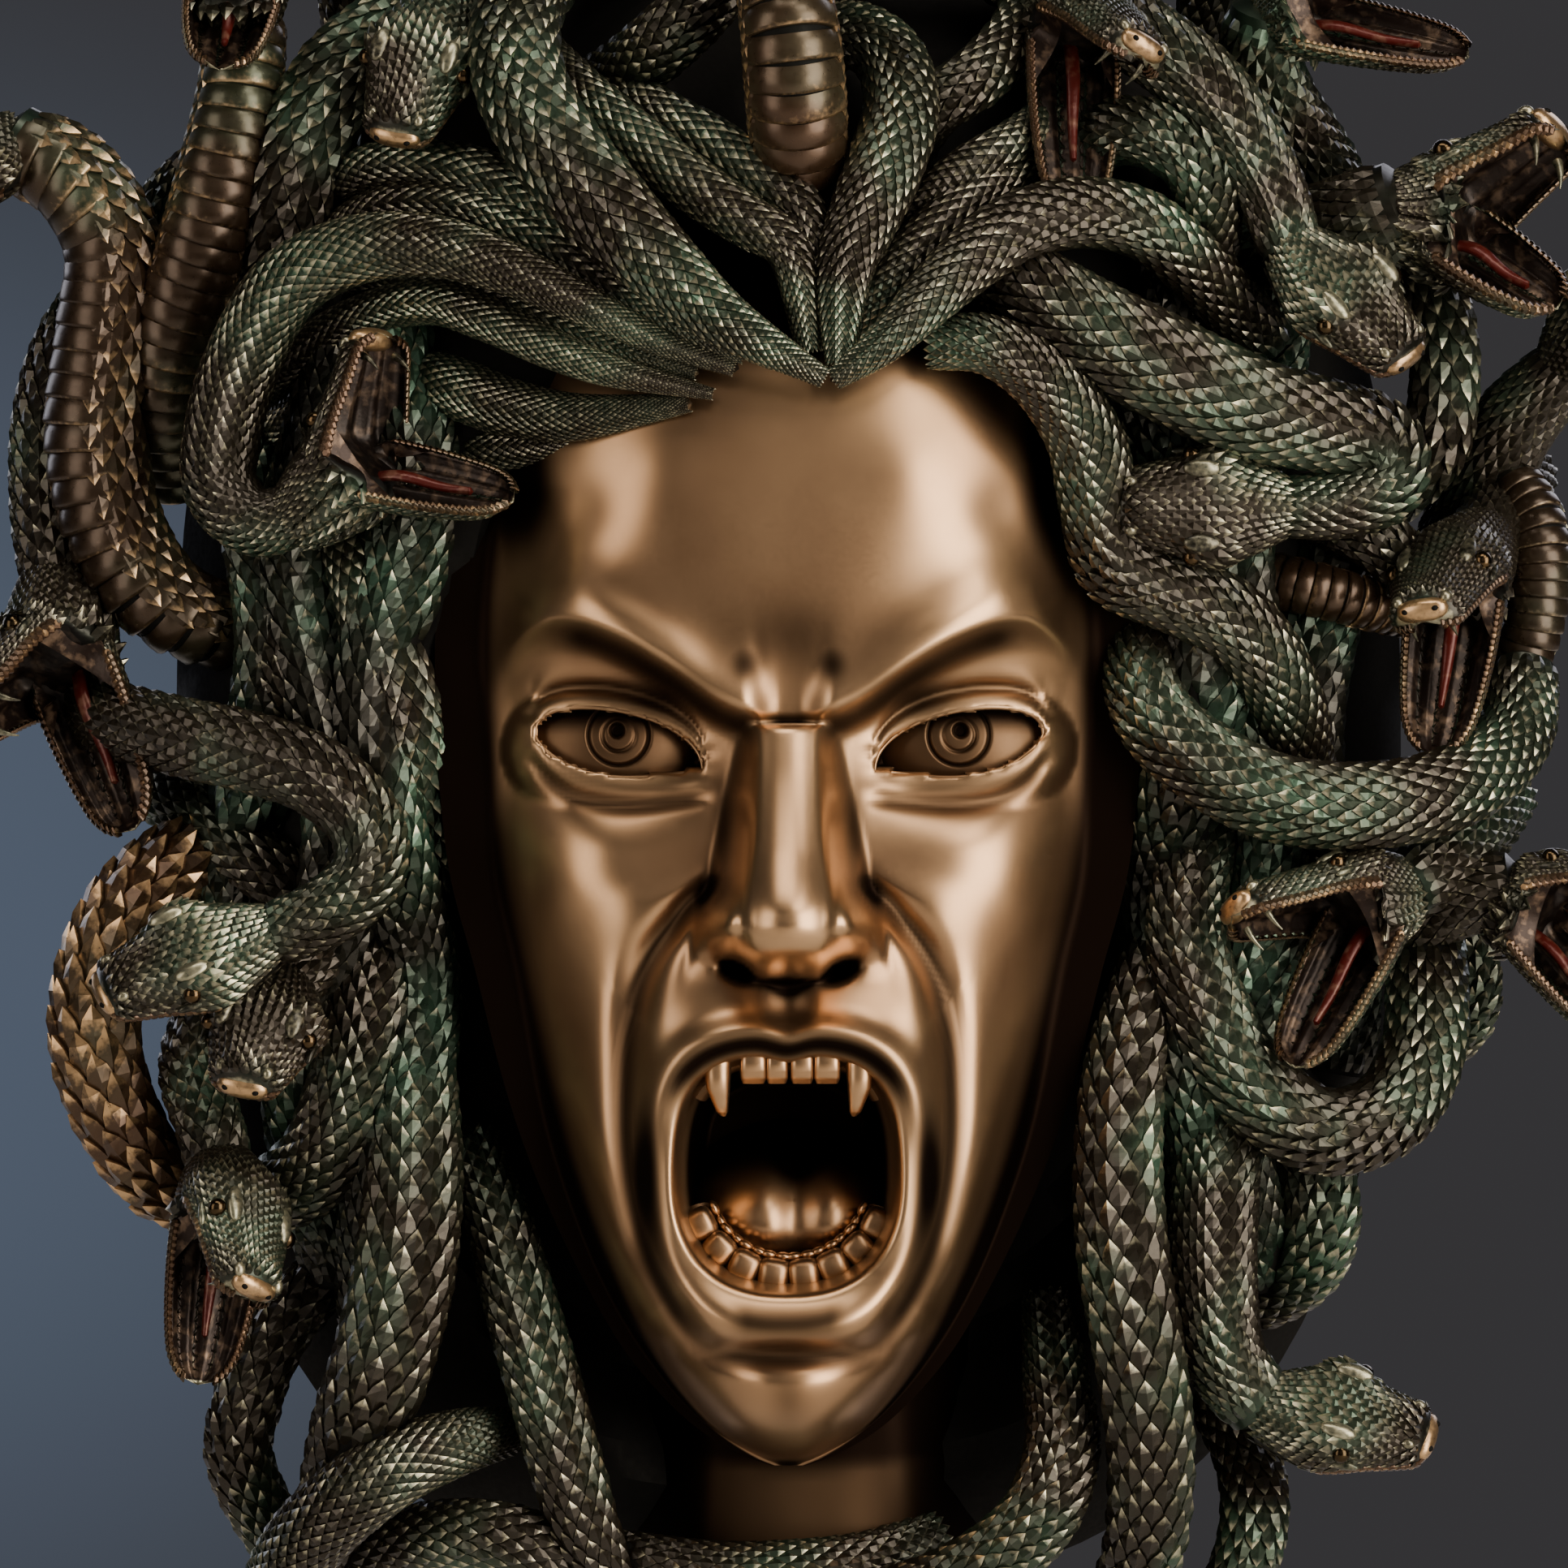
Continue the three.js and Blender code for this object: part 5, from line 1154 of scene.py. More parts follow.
    def snout(self, cast: Casting, tip: Array, upward: Array, forward: Array, k: float) -> None:
        """Rounds a snout off with its smooth gilt plate, and pits the nostrils into it."""
        sideways = np.cross(upward, forward)
        plate = k * np.array([sideways * 1.75, upward * 0.8, forward * 0.75])
        at = tip - 0.35 * k * forward + 0.15 * k * upward
        cast.ovoid(at, plate, sides=16, rings=10, rub=0.85, power=2.4, tone=0.3, gilt=0.5)
        for mirror in (-1, 1):
            pit = tip + k * (sideways * 1.0 * mirror + upward * 0.4 + forward * 0.12)
            axes = k * np.array([sideways * 0.26, upward * 0.2, forward * 0.3])
            # The nostril pits are near-black, as painted shade.
            cast.ovoid(pit, axes, sides=10, rings=6, recess=1.0)

    def lip_row(self, seats: Seats, points: Array, turn: Array, share: Array, angle: float,
                size: float, start: float) -> None:
        """Sets a row of lip plates along one angle of a head's grid."""
        column = nearest(turn, angle)
        line = points[:, column]
        normals = grid_normals(np.concatenate([points, points[:, :1]], axis=1))[:, column]
        run = run_along(line)
        first = np.interp(start, share, run)
        at = np.arange(first, run[-1], 0.78 * size)
        spot = sampled(at, run, line)
        out = unit(sampled(at, run, normals))
        back = -unit(np.gradient(spot, axis=0)) if len(at) > 1 else out
        seats.add(spot, out, back, np.full(len(at), size), Plate.BEAD, 0.8)

    def face_marks(self, cast: Casting, points: Array, share: Array, outward: Array,
                   upward: Array, forward: Array, mirror: int) -> None:
        """Adds an eye, the brow over it and the bump of a nostril to one side of a head.

        Args:
            cast: What they are added to.
            points: The head's grid.
            share: Where its rows are along the head.
            outward: Sideways, away from the head's middle.
            upward: Towards its crown.
            forward: Towards its snout.
            mirror: 1 or -1 for the side.
        """
        count = points.shape[1]

        def spot(row: float, turn: float) -> Array:
            """A point of the grid near an angle."""
            angle = turn if mirror > 0 else math.pi - turn
            column = round(angle / (2 * math.pi) * count) % count
            return points[nearest(share, row), column]

        eye = 0.62 * np.array([forward * mirror, outward, upward])
        cast.ovoid(spot(0.55, 0.5), eye, Finish.EYE.value, 14, 10, rub=0.2)
        slant = unit(forward - 0.12 * upward)
        brow = np.array([slant * 1.25 * mirror, outward * 0.6, upward * 0.4])
        cast.ovoid(spot(0.52, 0.92) + 0.05 * outward, brow, sides=16, rings=10, rub=0.9)
        under = np.array([forward * 1.25 * mirror, outward * 0.3, upward * 0.3])
        cast.ovoid(spot(0.55, 0.12), under, rub=0.8)
        nose = np.array([forward * 0.45 * mirror, outward * 0.36, upward * 0.34])
        cast.ovoid(spot(0.9, 0.75), nose, rub=1.0)

    def shell(self, centres: Array, sideways: Array, upward: Array, sizes: Array,
              arc: tuple[float, float], hollow: Array, columns: tuple[int, int]) -> Array:
        """Rings of a jaw: an outer arc from rim to rim, and an inner arc that may be hollow.

        Args:
            centres: The rings' middles.
            sideways: Their sideways directions.
            upward: Their upward directions.
            sizes: Half width, height above and height below of each.
            arc: The first and last angle of the outer arc.
            hollow: How far the inner arc rises above the rim at each ring.
            columns: Points on the outer and on the inner arc.

        Returns:
            The points, rings by columns by 3.
        """
        turn = np.linspace(*arc, columns[0])
        x = sizes[:, :1] * np.cos(turn)
        z = np.where(np.sin(turn) > 0, sizes[:, 1:2], sizes[:, 2:3]) * np.sin(turn)
        inner = np.linspace(0, math.pi, columns[1] + 2)[1:-1]
        rim = x[:, -1:]
        ribs = 1 + 0.16 * np.cos(inner * 11)
        x = np.hstack([x, rim * np.cos(inner)])
        z = np.hstack([z, z[:, -1:] + hollow[:, None] * np.sin(inner) ** 0.8 * ribs])
        return centres[:, None] + sideways[:, None] * x[..., None] + upward[:, None] * z[..., None]

    def open_head(self, cast: Casting, seats: Seats, head: OpenHead) -> None:
        """Adds a head with its mouth open: the skull, the scooped lower jaw and what is in the mouth."""
        upper, lower = heading(head.upper_aim), heading(head.lower_aim)
        across = unit(np.cross(upper, lower))
        viewer = np.array([0.0, -head.roll, 0.0])
        crown, chin = np.cross(upper, across) - viewer, np.cross(across, lower) - viewer
        crown, chin = unit(crown - upper * crown.dot(upper)), unit(chin - lower * chin.dot(lower))
        start, corner = place(*self.snake.route[-1]), place(*head.hinge)
        k = head.scale
        middle = corner + crown * k * head.skull_lift
        neck_way = unit(middle - start)

        share = np.concatenate([np.linspace(-1.25, 0, 16)[:-1], np.linspace(0, 0.94, 24), [0.97, 1.0]])
        table = np.array(head.skull, float)
        sizes = k * np.stack([along(table[:, [0, c]], share) for c in (1, 2, 3)], -1)
        sizes[:, 0] *= 1 - 0.12 * ease(0.9, 1, share)
        bend = ease(-0.35, 0.3, share)[:, None]
        forward = unit(neck_way * (1 - bend) + upper * bend)
        centres = np.where(share[:, None] <= 0, middle + (start - middle) * -share[:, None],
                           middle + upper * share[:, None] * head.upper_length)
        upward = unit(crown - forward * (forward @ crown)[:, None])
        sideways = np.cross(upward, forward)
        opened = ease(-0.08, 0.2, share)
        hollow = -0.85 * sizes[:, 2] * (1 - opened) + 0.75 * sizes[:, 1] * opened
        columns = (30, 22)
        arc = (math.radians(-24), math.radians(204))
        skull = self.shell(centres, sideways, upward, sizes, arc, hollow, columns)
        self.jaw_skin(cast, skull, share, columns, upper)
        spare = np.arange(sum(columns)) < columns[0]
        self.lattice(seats, skull, (share < 0.97)[:, None] & spare | (share < -0.04)[:, None])
        self.rim_rows(seats, skull, share, columns, crown * -1, 0.66 * k)

        self.snout(cast, skull[-1, : columns[0]].mean(0) + 0.3 * k * crown, crown, upper, k)
        turn = np.linspace(*arc, columns[0])
        for mirror in (-1, 1):
            self.open_marks(cast, skull, share, turn, crown, upper, k, mirror)

        below = np.concatenate([np.linspace(-0.55, -0.15, 9)[:-1], np.linspace(-0.15, 0.94, 27), [0.97, 1.0]])
        table = np.array(head.jaw, float)
        sizes = k * np.stack([along(table[:, [0, c]], below) for c in (1, 2, 3)], -1)
        jaw_up = -chin
        bend = ease(-0.5, 0.0, below)[:, None]
        ahead = unit(unit(corner - start) * (1 - bend) + lower * bend)
        above = unit(jaw_up - ahead * (ahead @ jaw_up)[:, None])
        centres = corner + np.where(below[:, None] < 0, (corner - start) * below[:, None] / 0.55 * 0.9,
                                    lower * below[:, None] * head.lower_length)
        hollow = -0.9 * sizes[:, 2] * ease(-0.1, 0.1, below) - 0.3 * sizes[:, 1]
        arc = (math.radians(158), math.radians(382))
        jaw = self.shell(centres, np.cross(above, ahead), above, sizes, arc, hollow, (26, 22))
        self.jaw_skin(cast, jaw, below + 0.1, (26, 22), lower)
        spare = ((below > -0.5) & (below < 0.97))[:, None] & np.ones((1, 26), bool)
        self.lattice(seats, jaw[:, :26], spare)
        self.rim_rows(seats, jaw, below, (26, 22), jaw_up, 0.66 * k)
        self.mouth_corners(cast, skull, share, jaw, below)
        self.tongue(cast, corner, lower, jaw_up, head, k)
        self.fangs(cast, skull, share, crown, upper, k)

    def jaw_skin(self, cast: Casting, points: Array, share: Array, columns: tuple[int, int],
                 forward: Array) -> None:
        """Adds a jaw's rings, scaled outside and lined inside."""
        outer, total = columns[0], sum(columns)
        slots = np.zeros((len(points) - 1, total), int)
        slots[:, outer - 1 :] = np.where(share[1:, None] > 0.02, Finish.LINING.value, Finish.SKIN.value)
        rub = np.zeros(points.shape[:2])
        rub[:, [0, outer - 1]] = ease(-0.05, 0.2, share)[:, None]
        rub[:, :outer] = np.maximum(rub[:, :outer], ease(0.9, 0.98, share)[:, None])
        # Painted shade: the outer skin between the scales is darkened except at the rubbed rims, and the
        # lining darkens towards the back of the mouth.
        recess = np.full(points.shape[:2], 0.5) * (1 - rub)
        recess[:, outer:] = np.where(share < -0.02, 0.5, 0.9 - 0.5 * share.clip(0, 1))[:, None]
        cast.grid(points, slots, wrap=True, rub=rub, recess=recess, tone=self.snake.gilt)
        cast.cap(points[-1], 0.3 * forward, rub=1.0)

    def rim_rows(self, seats: Seats, points: Array, share: Array, columns: tuple[int, int],
                 inward: Array, size: float) -> None:
        """Sets the beaded row of lip plates along both rims and round the snout."""
        outer = columns[0]
        for column, beside in ((0, 1), (outer - 1, outer - 2)):
            line = points[:, column][share > 0.03]
            out = unit(line - points[:, outer // 2][share > 0.03])
            side = unit(line - points[:, [outer + 3, outer + columns[1] - 4]].mean(1)[share > 0.03])
            run = run_along(line)
            at = np.arange(0, run[-1], 0.66 * size)
            spot = sampled(at, run, line)
            face = unit(sampled(at, run, out + side))
            back = -unit(np.gradient(spot, axis=0))
            seats.add(spot, face, back, np.full(len(at), size), Plate.BEAD, 0.85)
            second = unit(face - 0.6 * inward)
            up = points[:, beside][share > 0.03]
            spot = sampled(at + 0.33 * size, run, up)
            seats.add(spot, second, back, np.full(len(at), size * 0.95), Plate.BEAD, 0.55)

    def open_marks(self, cast: Casting, skull: Array, share: Array, turn: Array,
                   crown: Array, forward: Array, k: float, mirror: int) -> None:
        """Adds an eye, its brow and a nostril to one side of an open head."""

        def spot(row: float, angle: float) -> Array:
            """A point of the skull's outer arc near an angle."""
            column = nearest(turn, angle if mirror > 0 else math.pi - angle)
            return skull[nearest(share, row), column]

        out = unit(spot(0.3, 0.4) - spot(0.3, math.pi - 0.4))
        eye = spot(0.27, 0.5)
        order = [1, 0, 2] if mirror > 0 else [0, 1, 2]

        def lump(at: Array, ahead: float, high: float, wide: float, finish: Finish, rub: float) -> None:
            """Adds an egg that lies along the head."""
            axes = k * np.array([unit(forward - 0.12 * crown) * ahead, crown * high, out * wide])
            cast.ovoid(at, axes[order], finish.value, 16, 10, rub=rub)

        lump(eye, 0.6, 0.6, 0.6, Finish.EYE, 0.2)
        lump(spot(0.24, 0.95), 1.35, 0.42, 0.6, Finish.SKIN, 0.9)
        lump(spot(0.3, 0.12), 1.0, 0.26, 0.3, Finish.SKIN, 0.8)
        lump(spot(0.9, 0.8), 0.5, 0.36, 0.4, Finish.SKIN, 1.0)

    def mouth_corners(self, cast: Casting, skull: Array, share: Array, jaw: Array,
                      below: Array) -> None:
        """Adds the skin stretched between the jaws at each corner of the mouth, darkened a little as painted
        shade, and a near-black egg as the shade of the throat.
        """
        upper_rows = [nearest(share, s) for s in np.linspace(-0.1, 0.34, 8)]
        lower_rows = [nearest(below, s) for s in np.linspace(-0.05, 0.3, 8)]
        middle = jaw[lower_rows[0]].mean(0)
        for top, bottom, turned in ((29, 0, True), (0, 25, False)):
            a, b = skull[upper_rows, top], jaw[lower_rows, bottom]
            t = np.linspace(0, 1, 9)[None, :, None]
            depth = 0.42 * np.sin(math.pi * t) * np.linspace(0.2, 1, 8)[:, None, None]
            sheet = a[:, None] * (1 - t) + b[:, None] * t + (middle - (a + b) / 2)[:, None] * depth
            cast.grid(sheet, Finish.LINING.value, turned=turned, recess=0.35, rub=0.15)
        # The throat egg is near-black: painted shade at the back of the mouth.
        throat = skull[nearest(share, -0.05)]
        reach = 0.5 * float(np.linalg.norm(throat[0] - throat[29]))
        spot = (throat.mean(0) + middle) / 2
        back = unit(skull[0].mean(0) - throat.mean(0))
        cast.ovoid(spot + 0.5 * reach * back, 0.5 * reach * np.eye(3), Finish.LINING.value, 16, 10,
                   recess=1.0)

    def tongue(self, cast: Casting, corner: Array, lower: Array, up: Array, head: OpenHead,
               k: float) -> None:
        """Adds the red tongue lying in the lower jaw."""
        t = np.linspace(0.02, 0.72, 18)
        lift = -0.75 + 0.75 * np.sin(math.pi * t) + 0.25 * np.sin(9 * t)
        line = corner + lower * (t * head.lower_length)[:, None] + up * (k * lift)[:, None]
        side = unit(np.cross(up, lower))
        turn = circle(12)
        wide = k * (0.5 - 0.3 * (t / 0.72) ** 2)[:, None]
        ring = side * (wide * np.cos(turn))[..., None] + up * (0.3 * k * np.sin(turn))[None, :, None]
        points = line[:, None] + ring
        cast.grid(points, Finish.RED.value, wrap=True, rub=0.3)
        cast.cap(points[-1], 0.2 * lower, Finish.RED.value)

    def fangs(self, cast: Casting, skull: Array, share: Array, crown: Array, forward: Array,
              k: float) -> None:
        """Adds the two short fangs under the snout."""
        row = nearest(share, 0.86)
        for rim, other in ((0, 29), (29, 0)):
            root = skull[row, rim] * 0.8 + skull[row, other] * 0.2
            t = np.linspace(0, 1, 7)[:, None]
            line = root - crown * (1.7 * k * t) - forward * (0.5 * k * t * t) + crown * 0.3
            cast.grid(tube(line, k * (0.3 - 0.26 * t[:, 0]), 8), wrap=True, rub=0.9)

    def build(self, course: Course, cast: Casting, seats: Seats) -> None:
        """Adds the whole snake, which follows its course."""
        self.body(cast, course)
        self.cover(seats, course)
        if isinstance(self.snake.head, OpenHead):
            self.open_head(cast, seats, self.snake.head)
        elif self.snake.head:
            self.shut_head(cast, seats, self.snake.head)


SNAKES: dict[Region, list[Snake]] = {
    Region.CROWN: [
        Snake("crown_lock", (2.2, 2.9, 0.6), [(-9, 55, 14), (-13.5, 54.5, 20), (-17, 50.5, 25),
            (-17.4, 46, 28), (-15.5, 41.5, 30), (-12, 37.2, 31.5), (-8, 33, 32.5), (-4, 29.5, 33.3),
            (2, 26, 32.5)], leaf=1.15),
        Snake("crown_lock_inner", (1.4, 1.8, 0.8), [(-16, 47.5, 22), (-13, 44.2, 26), (-9.5, 41, 28.5),
            (-6, 38.2, 30), (-2.8, 36, 31), (0, 34, 31.3), (1.3, 28, 31)], leaf=0.75),
        Snake("crown_lock_upper", (1.4, 1.7, 0.8), [(-12, 46, 22), (-8.5, 43.3, 25.5), (-5, 41.2, 27.5),
            (-2, 39, 29), (0.8, 36.6, 29.8), (2, 30, 30.5)], leaf=0.75),
        Snake("crown_rear_left", (1.8, 2.2, 1.6), [(-14, 44.5, 18), (-10.5, 46, 23), (-7.5, 48.3, 25),
            (-5, 51, 24), (-3, 54.5, 20)], leaf=0.9),
        Snake("parting_left", (1.4, 1.7, 0.6), [(-31, 38, 17), (-27, 39.8, 21.5), (-22, 39.8, 24),
            (-17.5, 38.2, 26), (-13, 35.2, 28.5), (-9, 32, 30.5), (-4.5, 28.8, 31.8), (-1, 27, 32)],
            leaf=0.7),
        Snake("parting_left_lower", (1.2, 1.5, 0.5), [(-30, 35.5, 19), (-26, 37.3, 22.5), (-21, 37.2, 25),
            (-16.5, 35.3, 27.5), (-12, 32.3, 29.5), (-7.5, 29.6, 31.3), (-3, 27.3, 32)], leaf=0.65),
        Snake("brow_arc", (0.6, 2.5, 2), [(-3.5, 26.6, 31.5), (-8, 28.2, 31.5), (-13, 30.6, 31),
            (-18, 33, 30), (-23, 34.5, 28.5), (-28, 34.2, 27), (-32.3, 32, 25.5), (-34.8, 28, 24),
            (-36.3, 23.5, 23.5), (-36.5, 19, 24), (-34, 16.8, 25), (-31.2, 17.6, 26)], leaf=0.8, fullest=0.8,
            head=OpenHead((-26.8, 20.2, 27.5), (0.2, 0.95, 0.2), 8.3, (0.93, -0.2, 0.3), 9.6)),
        Snake("crown_cobra", (2.6, 3.1, 2.6), [(0.5, 38, 24), (0.6, 41, 28.5), (0.4, 44.5, 31),
            (0, 48.5, 31.8), (-0.6, 52.5, 30.5), (-0.8, 55.5, 30)], gilt=0.6, belly=Belly((0.1, 0, 1), 1.25),
            head=ShutHead((-0.8, 58.7, 38.5), (0, 0.94, -0.35))),
        Snake("parting_centre", (1.8, 2.4, 0.8), [(1, 46, 20), (3.5, 48.3, 23), (6.3, 46.8, 25.5),
            (7.2, 43.5, 27.5), (6.3, 40, 29), (4.9, 36.5, 30.2), (3.6, 33, 31.2), (3.2, 27, 32)], leaf=0.9),
        Snake("parting_right", (0.7, 2.2, 1.9), [(3, 25.9, 32.3), (6, 28, 32.8), (9, 31, 32.3),
            (12, 33.8, 31), (15.2, 35.8, 29.5), (19, 36.6, 28.3), (22.8, 35.8, 27), (26, 33.4, 25.5),
            (31, 28.5, 21)], leaf=0.95),
        Snake("crown_right_thin", (1, 1.5, 1.2), [(7, 35.5, 26), (9, 37.6, 27), (11.7, 39.6, 27),
            (14.5, 41.3, 26), (17, 43.5, 23)], leaf=0.75),
        Snake("crown_right_rear", (1.5, 1.9, 1.6), [(7.5, 40.5, 22), (9.5, 43.6, 24.5), (12.5, 45.8, 24.5),
            (15, 49, 22), (15.5, 52.5, 18)], leaf=0.9),
        Snake("parting_right_deep", (1, 1.7, 1.4), [(4, 29, 29), (6.8, 32.5, 29.3), (9.5, 35.5, 28.5),
            (13, 38.4, 26.5), (16.5, 40.5, 24)], leaf=0.75),
        Snake("temple_right_arch", (1.8, 2.2, 1.8), [(18, 40.5, 21), (21.5, 42, 24.5), (24.8, 41, 25.5),
            (26.8, 38.3, 25.3), (27, 31.5, 21.5)], leaf=0.95),
        Snake("right_shoulder", (2.4, 2.5, 2), [(20, 50.5, 20), (23.5, 47.6, 24), (26.8, 44.8, 25),
            (29.3, 41.3, 25.5), (31.2, 37.6, 25.5), (32.3, 34.2, 26)], leaf=0.95,
            head=ShutHead((39.6, 27, 28.5), (0.3, 0.45, 0.85))),
        Snake("right_band", (2.2, 3.2, 1.9), [(13, 33.5, 26), (15.8, 31.5, 28.5), (20, 28.8, 29),
            (25, 26.2, 28.5), (30, 24, 27.5), (34.5, 23, 26), (38, 21.9, 24.5), (38.3, 19.3, 24.5),
            (35, 18, 25.3), (31.5, 17.8, 26)], leaf=1.2, fullest=0.4, head=ShutHead((20.6, 17.8, 28),
            (0.35, 0, 0.93))),
        Snake("crown_left_head", (2, 2.2, 2.2), [(-23.5, 56.5, 14), (-22.3, 53.5, 19), (-22, 50.5, 22.5)],
            head=ShutHead((-25.3, 41.2, 27.5), (-0.1, 0.6, 0.8))),
        Snake("crown_top", (2, 2.5, 2), [(-15, 51, 12), (-10, 56, 15.5), (-4, 58.3, 16.5), (3, 57.8, 16),
            (8, 54, 14), (9.5, 49.5, 12)], leaf=1.1),
        Snake("crown_top_front", (1.8, 2.2, 1.8), [(2, 51.5, 18), (6, 53.6, 20.5), (11, 54, 20.5),
            (15, 51.5, 18)]),
        Snake("crown_right_head", (2.2, 2.4, 2.3), [(19.5, 57, 13), (18.6, 54, 17.5), (18, 51.5, 22)],
            head=OpenHead((18.3, 48, 24.5), (0.35, -0.35, 0.85), 8.5, (0, -0.95, 0.3), 11.5)),
        Snake("crown_top_left", (1.8, 2.2, 1.7), [(-27, 45, 9), (-28.5, 52, 11), (-24.5, 57.3, 12),
            (-18, 59.5, 12.5), (-11, 55.5, 9)], leaf=1.1),
        Snake("crown_top_right", (1.8, 2.2, 1.8), [(12, 55, 10), (17, 59, 12), (23, 58.5, 12.5),
            (27.5, 54, 12), (26.5, 46, 10)], leaf=1.1),
    ],
    Region.LEFT: [
        Snake("temple_lock", (1.3, 1.5, 0.4), [(-34.5, 25.5, 18), (-29, 29.5, 21.5), (-23.5, 31, 25),
            (-19.5, 29.9, 27.5), (-15.5, 28, 29.5), (-11.5, 26.4, 31), (-5, 24.9, 31.8)], leaf=0.55),
        Snake("temple_lock_deep", (1.2, 1.5, 0.5), [(-32.5, 31.5, 18), (-27, 32.8, 21.5), (-21, 32, 25),
            (-16, 30.2, 27.7), (-11, 28, 29.8), (-6, 26.3, 31)], leaf=0.6),
        Snake("temple_veil", (1.5, 2, 0.6), [(-35, 21.5, 15), (-29.5, 25, 18.5), (-23.5, 26, 22.5),
            (-18, 24.2, 26), (-13.5, 23.5, 28.3), (-6.5, 24.3, 30.8)], leaf=0.6),
        Snake("crown_back_left", (2.2, 2.9, 2.2), [(-34, 30, 14), (-32.6, 36, 18.5), (-31.3, 41.3, 20),
            (-28.8, 46, 20.3), (-25, 49.4, 19.5), (-20.5, 52.5, 16)], leaf=1.3),
        Snake("temple_veil_lower", (1.2, 1.6, 0.5), [(-30.5, 21, 13.5), (-25, 21.5, 18), (-20, 21.5, 22.5),
            (-16, 21.8, 25.5), (-12, 22.6, 28)], leaf=0.6),
        Snake("neck_ring", (1.6, 2, 1.6), [(9, -49, 17), (5, -50.3, 20), (0, -50.9, 21.5), (-5, -50.9, 21.5),
            (-10, -50.2, 20.5), (-14, -49.5, 18)], leaf=0.9),
        Snake("neck_left", (1.8, 2.3, 1.9), [(-20.5, -24, 16), (-18.6, -29, 20), (-17, -34.5, 22.5),
            (-15.4, -40, 23.3), (-14, -45, 23), (-12.3, -50, 21.5), (-8.5, -54.5, 18)], leaf=1.1),
        Snake("left_swag_low", (1.8, 2.2, 1.7), [(-31, -52, 13), (-27, -49.6, 18), (-22, -48.5, 21.5),
            (-17.5, -48.9, 22), (-13, -51, 20), (-9, -54, 17)]),
        Snake("jaw_left_fall", (2.2, 3.1, 2.2), [(-24.5, -14.5, 18), (-24.2, -20, 21), (-24.2, -26, 23),
            (-24.9, -32, 24), (-26.3, -37.5, 24), (-28, -42.5, 22.5), (-30.5, -52, 15)], leaf=1.35),
        Snake("left_outer_low", (1.6, 2.1, 1.8), [(-27.5, -28.5, 14), (-30.5, -32.3, 16), (-33.5, -36, 17),
            (-35.2, -40.5, 17.3), (-35.3, -45, 16.5), (-31, -53, 12)], leaf=1.2),
        Snake("left_fine_scaled", (1.6, 2.6, 2.4), [(-18.5, -42, 19), (-21.5, -42.5, 22.5),
            (-25, -43.8, 24.5), (-28.3, -46, 25), (-31.2, -48.9, 23), (-33, -52.5, 19), (-33, -56, 14)],
            leaf=0.8),
        Snake("left_inner_coil", (2.2, 2.9, 2.2), [(-27, -6.5, 15), (-26.8, -11, 19), (-27.5, -15.5, 21),
            (-28.3, -20, 21.5), (-30.3, -24.3, 20.5), (-33.6, -26.7, 18), (-37, -26.5, 14)], leaf=1.1),
        Snake("left_outer_coil", (2, 2.7, 2.2), [(-36, -3.8, 15), (-39.5, -5, 17.5), (-42.8, -8.3, 18),
            (-44.6, -12.8, 17.8), (-44.8, -17.5, 17.5), (-43.3, -22, 17), (-40.7, -25.7, 16),
            (-37.5, -27.5, 14)], leaf=1.8, gilt=0.75),
        Snake("left_s_curve", (2.2, 2.5, 2), [(-46, 5, 13), (-43, 4, 18), (-39, 3, 21.5), (-34.5, 2, 24),
            (-30.2, 0.4, 26), (-27.2, -2.6, 27), (-27.2, -6, 27.5), (-30, -8.4, 27.8), (-33.5, -9.8, 27)],
            head=ShutHead((-44, -13.6, 29), (-0.1, 0.6, 0.8))),
        Snake("left_under", (1.8, 2.2, 1.8), [(-42, 0, 12), (-38.5, -2, 16), (-35, -4.6, 18.5),
            (-31.8, -6.8, 19.5), (-29, -10, 18)]),
        Snake("left_small", (2, 2.1, 2.1), [(-29, -9, 20), (-31, -11.5, 22.5), (-32.6, -13, 24)], leaf=0.9,
            head=ShutHead((-35, -19.7, 29.5), (0, 0.7, 0.7))),
        Snake("left_low_biter", (2, 2.1, 2.1), [(-36.5, -12, 11), (-38.6, -18, 17.5), (-37.3, -22.5, 21),
            (-36.6, -25, 22)], head=OpenHead((-36.6, -28, 24), (0.1, -0.8, 0.6), 7, (-0.13, -0.98, 0),
            10.5)),
        Snake("cheek_left", (2.1, 2.6, 2), [(-29, 18, 20), (-27.7, 14.5, 22), (-26.4, 10.5, 23),
            (-25.3, 6, 23), (-24.3, 1.5, 21.5), (-24, -3.5, 19), (-24.3, -8, 16)]),
        Snake("cheek_left_ringed", (1.7, 1.9, 1.6), [(-22.5, 19, 19), (-21.8, 15, 20.5), (-21.7, 11, 20.5),
            (-22.3, 7, 19), (-23, 3, 16)], gilt=0.3, belly=Belly((0, 0, 1), 1.9)),
        Snake("left_pillar", (1.9, 2.2, 1.9), [(-34, 14.5, 16), (-33, 10.8, 19), (-32.2, 7, 20.5),
            (-30.7, 3.6, 20), (-29, 0.5, 17)]),
        Snake("far_left_arch", (2.4, 3.2, 2.8), [(-33.5, 10.5, 12), (-37.5, 10.4, 15.5), (-41.3, 12.6, 17),
            (-44, 17.2, 17), (-45, 23, 17), (-44.3, 29.5, 17), (-44, 35, 17.3), (-46.5, 39.3, 17.5),
            (-50.3, 41.6, 17)], leaf=1.45, gilt=0.4, belly=Belly((-0.85, 0, 0.55), 0.9),
            head=ShutHead((-57.3, 36.9, 20.8), (-0.3, 0.8, 0.5))),
        Snake("far_left_rear", (2, 2.3, 2.3), [(-43, 34, 8), (-46.5, 29.5, 11), (-48.2, 24, 12.5),
